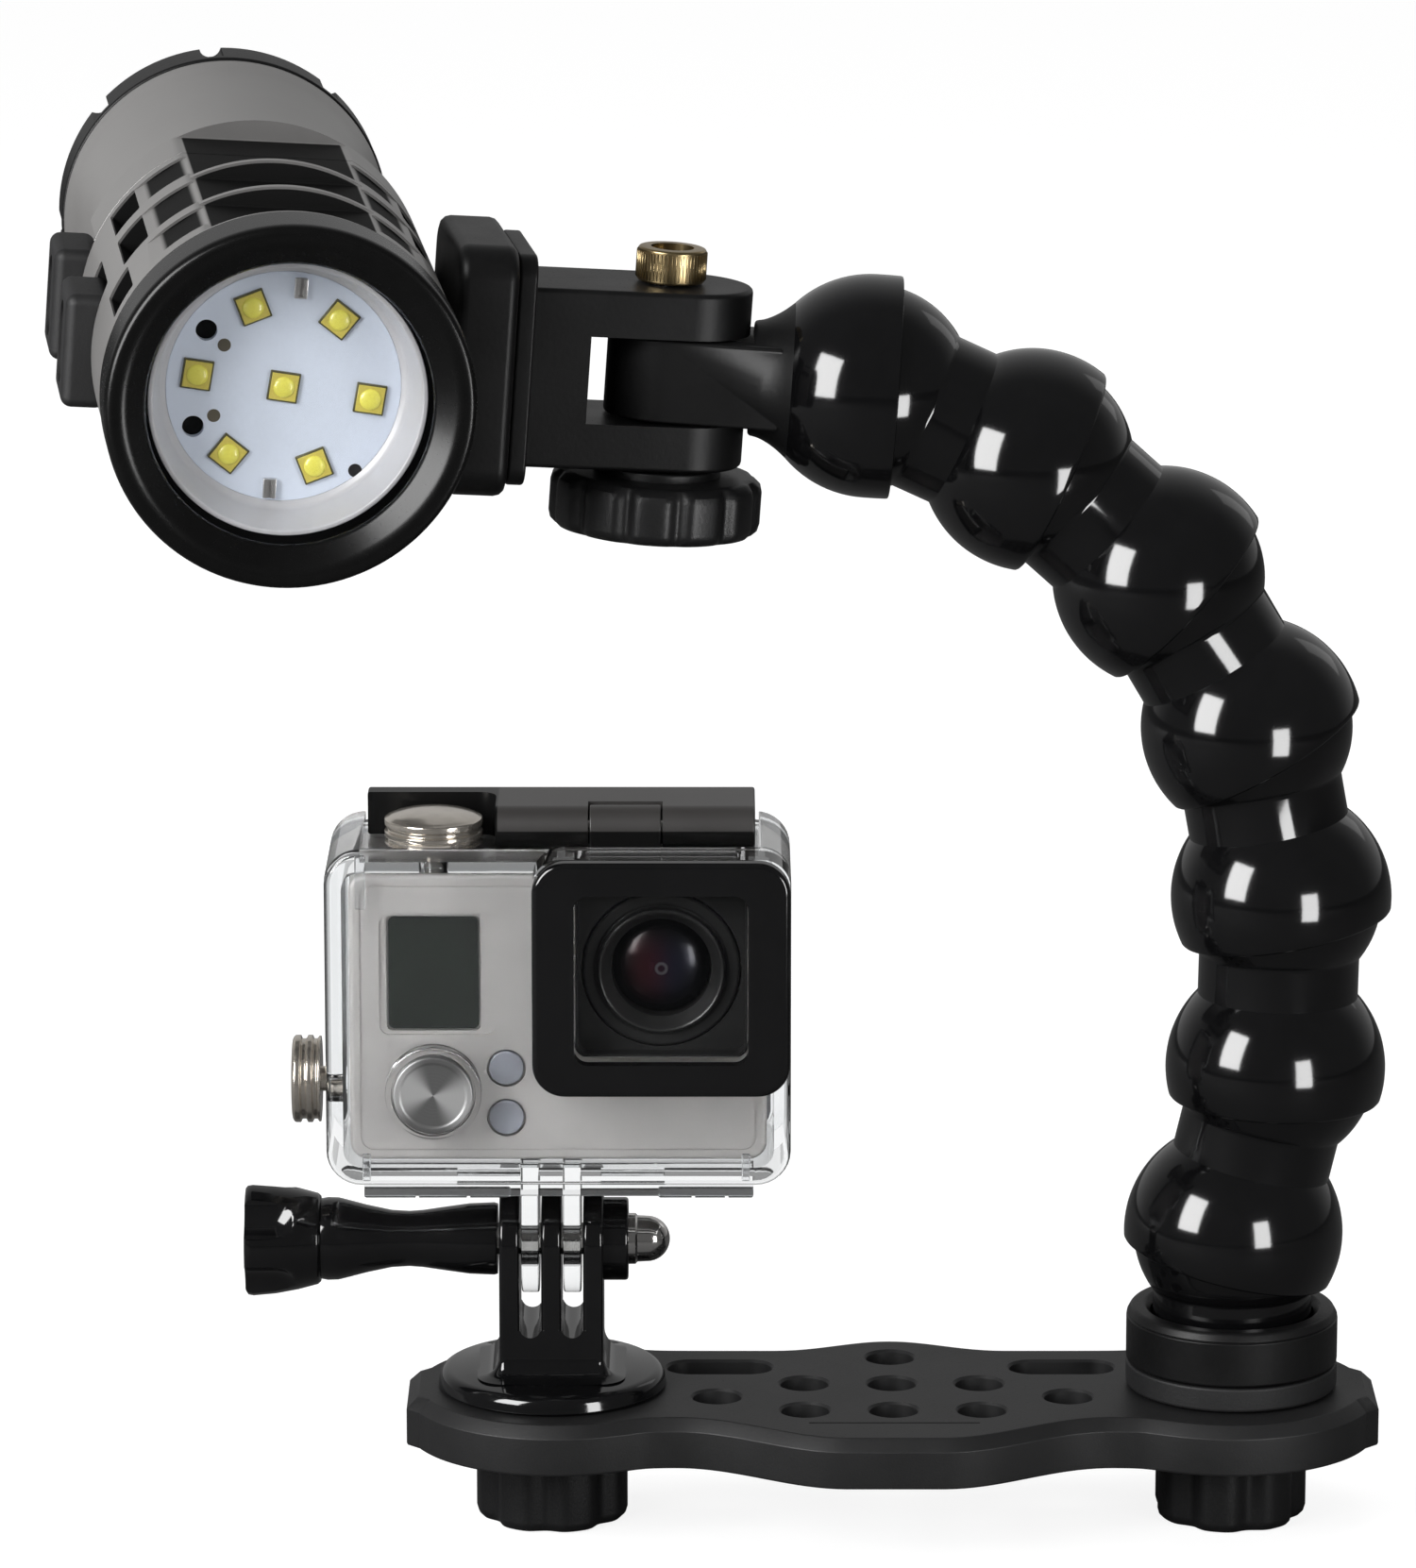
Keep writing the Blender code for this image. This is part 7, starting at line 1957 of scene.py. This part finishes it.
    def lens(self, spot: Matrix) -> None:
        """Makes the square panel in the port, the lens ring with its steps and the domed lens."""
        side, inner = self.port - 0.3 * MM, self.port - 0.9 * MM
        panel = Shape.slab(rounded_rectangle(side, side, 1.9 * MM), 0.05 * MM, 7.6 * MM)
        panel.cut(Shape.rod(11.35 * MM, -MM, 6 * MM, steps=96),
                  Shape.slab(rounded_rectangle(inner, inner, 1.6 * MM), 4.9 * MM, 9 * MM))
        made = piece(panel.placed(self.places.housing @ spot), "lens_panel", PANEL_BLACK,
                     "camera_housing")
        ring = softened([(7.1, 4.3, 0.1), (8.45, 6.45, 0.2), (8.75, 6.6, 0.1), (9.0, 6.4, 0.1),
                         (9.0, 5.3, 0.1), (9.3, 5.05, 0.1), (9.6, 5.3, 0.1), (10.9, 5.3, 0.2),
                         (11.2, 5.0, 0.2), (11.2, 0.3, 0), (7.1, 0.3, 0)], True, 3)
        shape = Shape.lathe([(r * MM, h * MM) for r, h in ring], 128, True)
        piece(shape.placed(self.places.housing @ spot), "lens_ring", PANEL_BLACK,
              "camera_housing", ["camera_lens_ring"])
        crown = [(6.95 * sin(a) * MM, (1.9 + 3.0 * cos(a)) * MM)
                 for a in (radians(5 * i) for i in range(19))]
        lens = Shape.lathe([(0, 4.9 * MM)] + crown[1:] + [(6.95 * MM, 0.3 * MM), (0, 0.3 * MM)], 128)
        piece(lens.placed(self.places.housing @ spot), "lens_dome", LENS_PAINTED_REFLECTION, "camera_housing",
              ["camera_lens"])

    def clips(self) -> None:
        """Makes the small clear tabs and frosted strips on the housing's outside."""
        x, low, face = self.centre_x, self.floor, self.front
        left, right, top = x - self.width / 2, x + self.width / 2, self.floor + self.height
        tabs = ((left + 5.2 * MM, top - 8.4 * MM, top - 0.6 * MM, 1.5 * MM),
                (left + 5.8 * MM, low + 1.0 * MM, low + 5.0 * MM, 1.2 * MM),
                (right - 6.4 * MM, low + 1.0 * MM, low + 5.0 * MM, 1.2 * MM))
        for number, (spot, start, stop, width) in enumerate(tabs, 1):
            tab = Shape.block((spot - width / 2, face - 0.55 * MM, start),
                              (spot + width / 2, face + 0.1 * MM, stop), 0.22 * MM, 2)
            made = piece(tab.placed(self.places.housing), f"clip_tab_{number}", FROSTED,
                         "camera_housing")
        rail = face + self.wall
        for label, start, stop in (("left", -27.8, -6.9), ("right", 14.2, 27.8)):
            strip = Shape.block((x + start * MM, rail - 0.5 * MM, low - 2.2 * MM),
                                (x + stop * MM, rail + 0.9 * MM, low - 0.7 * MM), 0.3 * MM, 2)
            gaps = [Shape.block((x + (start + share * (stop - start)) * MM, rail - MM, low - 3 * MM),
                                (x + (start + share * (stop - start) + 0.5) * MM, rail + 2 * MM,
                                 low - 1.4 * MM)) for share in (0.35, 0.7)]
            strip.cut(*gaps)
            made = piece(strip.placed(self.places.housing), f"{label}_rail_strip", FROSTED,
                         "camera_housing")

    def latch(self) -> None:
        """Makes the latch over the housing's top."""
        nose, half = self.latch_height / 2, self.latch_length / 2
        y, z = self.latch_front + nose, self.recess + self.gap + nose
        beam = self.latch_front + self.latch_top - y
        end = self.back + self.gap + 3.2 * MM - y
        strap = 2.8 * MM - nose
        outline = arc((0, 0), nose, pi / 2, 3 * pi / 2, 20)
        outline += [(end, -nose), (end, strap), (beam, strap), (beam, nose)]
        shape = Shape.slab(outline, -half, half, 0.35 * MM).placed(side_on())
        far, wide = 1.4 * MM - y, -half + 18.5 * MM
        plan = softened([(-half - 3 * MM, -nose - MM, 0), (wide, -nose - MM, 0), (wide, far, 3 * MM),
                         (-half - 3 * MM, far, 0)], True, 8)
        notch = Shape.slab(plan, -nose - MM, nose + MM)
        lug = 9.25 * MM
        slot = Shape.block((lug - 5.3 * MM, -nose - MM, -nose - MM),
                           (lug + 5.3 * MM, 2.5 * MM, nose + MM))
        pin = Shape.rod(1.2 * MM, -9 * MM, 9 * MM, steps=24).placed(shift(lug, 0, 0) @ ALONG_X)
        shape.cut(notch, slot, pin)
        place = self.places.housing @ shift(self.centre_x + 0.3 * MM, y, z)
        piece(shape.placed(place), "latch_beam", LATCH_PAINTED_LIGHT, "housing_latch",
              ["housing_latch_bar"], 34)
        outline = arc((0, 0), nose, 0, pi, 20) + [(-nose, -nose - 0.25 * MM), (nose, -nose - 0.25 * MM)]
        eye = Shape.slab(outline, lug - 5.05 * MM, lug + 5.05 * MM, 0.2 * MM).placed(side_on())
        eye.cut(Shape.rod(1.2 * MM, -9 * MM, 20 * MM, steps=24).placed(ALONG_X))
        made = piece(eye.placed(place), "latch_eye", LATCH_PAINTED_LIGHT, "camera_housing")

    def button(self, name: str, place: Matrix, body: str, profile: Sequence[Corner],
               finish: Finish) -> None:
        """Makes one push button from its profile in millimetres."""
        points = softened([(r * MM, z * MM, s * MM) for r, z, s in profile], steps=4)
        piece(Shape.lathe(points, 96).placed(self.places.housing @ place), name, finish, body,
              [body], 30)

    def buttons(self) -> None:
        """Makes the shutter, mode and side buttons."""
        x, stem = self.centre_x + self.display_at[0], 1.8
        lift = self.recess - self.floor - self.camera_lift - self.camera_height
        rings = [(7.0, 3.6, 0.2), (7.0, 2.7, 0.1), (6.5, 2.5, 0.1), (6.5, 2.0, 0.1),
                 (7.0, 1.8, 0.1), (7.0, 1.1, 0.1), (6.5, 0.9, 0.1), (6.5, 0.4, 0.1), (7.0, 0.2, 0.1)]
        cap = [(0, 4.75, 0), (3.6, 4.6, 1.5), (6.0, 4.05, 0.8), (6.6, 3.75, 0.3)] + rings
        self.button("shutter_cap", shift(x, -6.5 * MM, self.recess + 1.1 * MM), "shutter_button",
                    cap + [(7.0, 0, 0.1), (stem, 0, 0), (stem, -lift / MM, 0), (0, -lift / MM, 0)],
                    CHAMPAGNE)
        depth = 1.3 + 2.4 - 0.3 - 1.0 + 0.5
        turned = [(0, 1.62, 0)]
        for i in range(26):
            turned.append((0.3 + i * 0.17, 1.62 + (0.012 if i % 2 else 0.0), 0))
        turned += [(4.85, 1.8, 0.15), (5.65, 1.8, 0.3), (5.65, 0, 0.1), (stem, 0, 0),
                   (stem, -depth, 0), (0, -depth, 0)]
        self.button("mode_cap", shift(x, self.front - 1.3 * MM, self.camera_middle + self.mode_z)
                    @ FORWARD, "mode_button", turned, TURNED_PAINTED_SHEEN)
        reach = 1.3 + 2.4 + (self.width - self.camera_width) / 2 / MM - 2.4 - 1.3
        rings = [(0, 4.1, 0), (5.8, 4.1, 0.4), (6.3, 3.7, 0.2), (6.3, 2.9, 0.1), (5.8, 2.7, 0.1),
                 (5.8, 2.1, 0.1), (6.3, 1.9, 0.1), (6.3, 1.2, 0.1), (5.8, 1.0, 0.1),
                 (5.8, 0.5, 0.1), (6.2, 0.3, 0.1), (6.2, 0, 0.1)]
        spot = shift(self.centre_x - self.width / 2 - 1.3 * MM, 0,
                     self.camera_middle + self.side_z) @ ALONG_MINUS_X
        self.button("side_cap", spot, "side_button",
                    rings + [(stem, 0, 0), (stem, -reach, 0), (0, -reach, 0)], CHAMPAGNE)

    def build(self) -> None:
        """Makes the whole housing and the camera in it."""
        self.shell()
        self.door()
        self.port_parts()
        self.camera()
        self.latch()
        self.buttons()
        dress_node("housing_gasket", SEAL)
        dress_node("door_hinge_pin", STEEL)
        dress_node("latch_hinge_pin", STEEL)


# The studio

@dataclass
class Studio:
    """Camera, lamps, floor and world."""

    places: Places
    eye: tuple[float, float, float] = (-26.7 * MM, -1138.0 * MM, 358.5 * MM)
    dip: float = 13.3
    sensor: float = 36.0
    lens: float = 8671 * 36.0 / 1661
    soft: float = 0.42
    room: float = 0.11
    backdrop: float = 0.45

    def camera(self) -> None:
        """Sets the camera at the photograph's place."""
        data = bpy.data.cameras.new("camera")
        data.sensor_fit = "VERTICAL"
        data.sensor_height = self.sensor
        data.lens = self.lens
        data.clip_start, data.clip_end = 0.05, 50.0
        camera = bpy.data.objects.new("camera", data)
        bpy.context.scene.collection.objects.link(camera)
        centre = self.places.centre
        camera.location = (centre.x + self.eye[0], centre.y + self.eye[1],
                           self.places.tray_top + self.eye[2])
        camera.rotation_euler = (radians(90 - self.dip), 0, 0)
        bpy.context.scene.camera = camera

    def lamp(self, name: str, spot: Sequence[float], target: Sequence[float],
             size: tuple[float, float], power: float, shows: bool = False) -> None:
        """Adds a softbox.

        Args:
            name: Its name.
            spot: Where it is, from the middle of the tray's top.
            target: What it faces, from there too.
            size: Its width and height.
            power: Its power in watts.
            shows: Whether it is what gloss shows, or else what lights the colours.
        """
        top = self.places.centre + Vector((0, 0, self.places.tray_top))
        spot, target = top + Vector(spot), top + Vector(target)
        data = bpy.data.lights.new(name, "AREA")
        data.shape = "RECTANGLE"
        data.size, data.size_y = size
        data.energy = power
        lamp = bpy.data.objects.new(name, data)
        bpy.context.scene.collection.objects.link(lamp)
        lamp.location = spot
        lamp.rotation_euler = (target - spot).to_track_quat("-Z", "Y").to_euler()
        lamp.visible_glossy, lamp.visible_diffuse = shows, not shows
        lamp.visible_transmission = shows

    def floor(self) -> None:
        """Lays the white floor, which keeps the object's shadow."""
        mesh = bpy.data.meshes.new("floor")
        reach = 6.0
        mesh.from_pydata([(-reach, -reach, 0), (reach, -reach, 0), (reach, reach, 0),
                          (-reach, reach, 0)], [], [(0, 1, 2, 3)])
        floor = bpy.data.objects.new("floor", mesh)
        bpy.context.scene.collection.objects.link(floor)
        r = Recipe("floor_white")
        grain = r.noise(r.place(), 700.0, 2.0)
        path = r.node("ShaderNodeLightPath")
        seen, through, bounced, shone = (Channel(r, path.outputs[name]) for name in (
            "Is Camera Ray", "Is Transmission Ray", "Diffuse Depth", "Glossy Depth"))
        through = through * (1 - (bounced + shone * 0.4).bounded())
        pale = r.blend(grain, (0.24, 0.24, 0.24), (0.26, 0.26, 0.26))
        r.dress(Base_Color=r.blend(path.outputs["Is Glossy Ray"], pale, (0.10, 0.10, 0.10)),
                Roughness=0.9,
                Specular_IOR_Level=0.1, Emission_Color=(1, 1, 1, 1))
        r.feed(r.shader.inputs["Emission Strength"], (seen + through).bounded() * 0.86)
        mesh.materials.append(r.material)

    def world(self) -> None:
        """A white surround behind the object, and an even, weaker light elsewhere."""
        world = bpy.data.worlds.new("studio")
        world.use_nodes = True
        bpy.context.scene.world = world
        tree = world.node_tree
        tree.nodes.clear()
        new, link = tree.nodes.new, tree.links.new

        def sky(shade: float) -> bpy.types.Node:
            """An even light of one strength."""
            made = new("ShaderNodeBackground")
            made.inputs["Color"].default_value = (1, 1, 1, 1)
            made.inputs["Strength"].default_value = shade
            return made

        def either(share: Any, one: Any, two: Any) -> bpy.types.Node:
            """A mix of two lights."""
            made = new("ShaderNodeMixShader")
            for socket, value in zip(made.inputs, (share, one, two)):
                link(value, socket)
            return made

        def maths(operation: str, one: Any, two: Any) -> bpy.types.NodeSocket:
            """The result of one operation on two sockets."""
            made = new("ShaderNodeMath")
            made.operation = operation
            for value, socket in zip((one, two), made.inputs):
                if isinstance(value, float):
                    socket.default_value = value
                else:
                    link(value, socket)
            return made.outputs[0]

        path, out = new("ShaderNodeLightPath"), new("ShaderNodeOutputWorld")
        rays = path.outputs
        kept = maths("POWER", maths("ADD", rays["Glossy Depth"], rays["Is Transmission Ray"]), -0.4)
        direct = maths("GREATER_THAN", rays["Is Transmission Ray"], rays["Diffuse Depth"])
        straight = maths("MULTIPLY", direct, kept)
        most = maths("MAXIMUM", rays["Is Camera Ray"], straight)
        spot, parts, behind = (new("ShaderNodeTexCoord"), new("ShaderNodeSeparateXYZ"),
                               new("ShaderNodeMapRange"))
        behind.interpolation_type = "SMOOTHSTEP"
        behind.inputs["From Min"].default_value = 0.1
        behind.inputs["From Max"].default_value = 1.0
        link(spot.outputs["Generated"], parts.inputs[0])
        link(parts.outputs["Y"], behind.inputs["Value"])
        gloss = either(behind.outputs[0], sky(self.room).outputs[0], sky(self.backdrop).outputs[0])
        soft = either(rays["Is Glossy Ray"], sky(self.soft).outputs[0], gloss.outputs[0])
        whole = either(most, soft.outputs[0], sky(1.0).outputs[0])
        link(whole.outputs[0], out.inputs[0])

    def build(self) -> None:
        """Sets up everything that isn't the object."""
        self.camera()
        self.floor()
        self.world()
        self.lamp("left_fill", (-0.75, -0.75, 0.55), (0, 0, 0.1), (0.5, 0.6), 10.5)
        self.lamp("side_fill", (-0.95, 0.15, 0.3), (-0.1, 0, 0.15), (0.5, 0.5), 9.0)
        self.lamp("right_fill", (0.75, -0.75, 0.30), (0, 0, 0.1), (0.4, 0.5), 3.2)
        self.lamp("top_fill", (0.0, 0.1, 1.1), (0, 0, 0.1), (0.7, 0.7), 2.5)
        self.lamp("left_softbox", (-0.343, -0.295, 0.27), (0.04, 0, 0.08), (0.22, 0.33), 3.9, True)
        self.lamp("right_softbox", (0.173, -0.246, 0.075), (0.05, 0, 0.075), (0.08, 0.13), 0.5, True)
        self.lamp("rear_softbox", (0.5, 0.55, 0.45), (0, 0, 0.1), (0.2, 0.35), 0.1, True)
        bpy.context.scene.view_settings.view_transform = "Standard"


def main() -> None:
    """Builds the pieces in order."""
    logging.basicConfig(level=logging.INFO, format="%(message)s")
    places = Places()
    Studio(places).build()
    Tray(places).build()
    ClampKnob(places, "left", -1, radians(8)).build()
    ClampKnob(places, "right", 1, radians(26)).build()
    CameraMount(places).build()
    BallArm(places).build()
    Clevis(places).build()
    VideoLight(places).build()
    Housing(places).build()


if __name__ == "__main__":
    main()
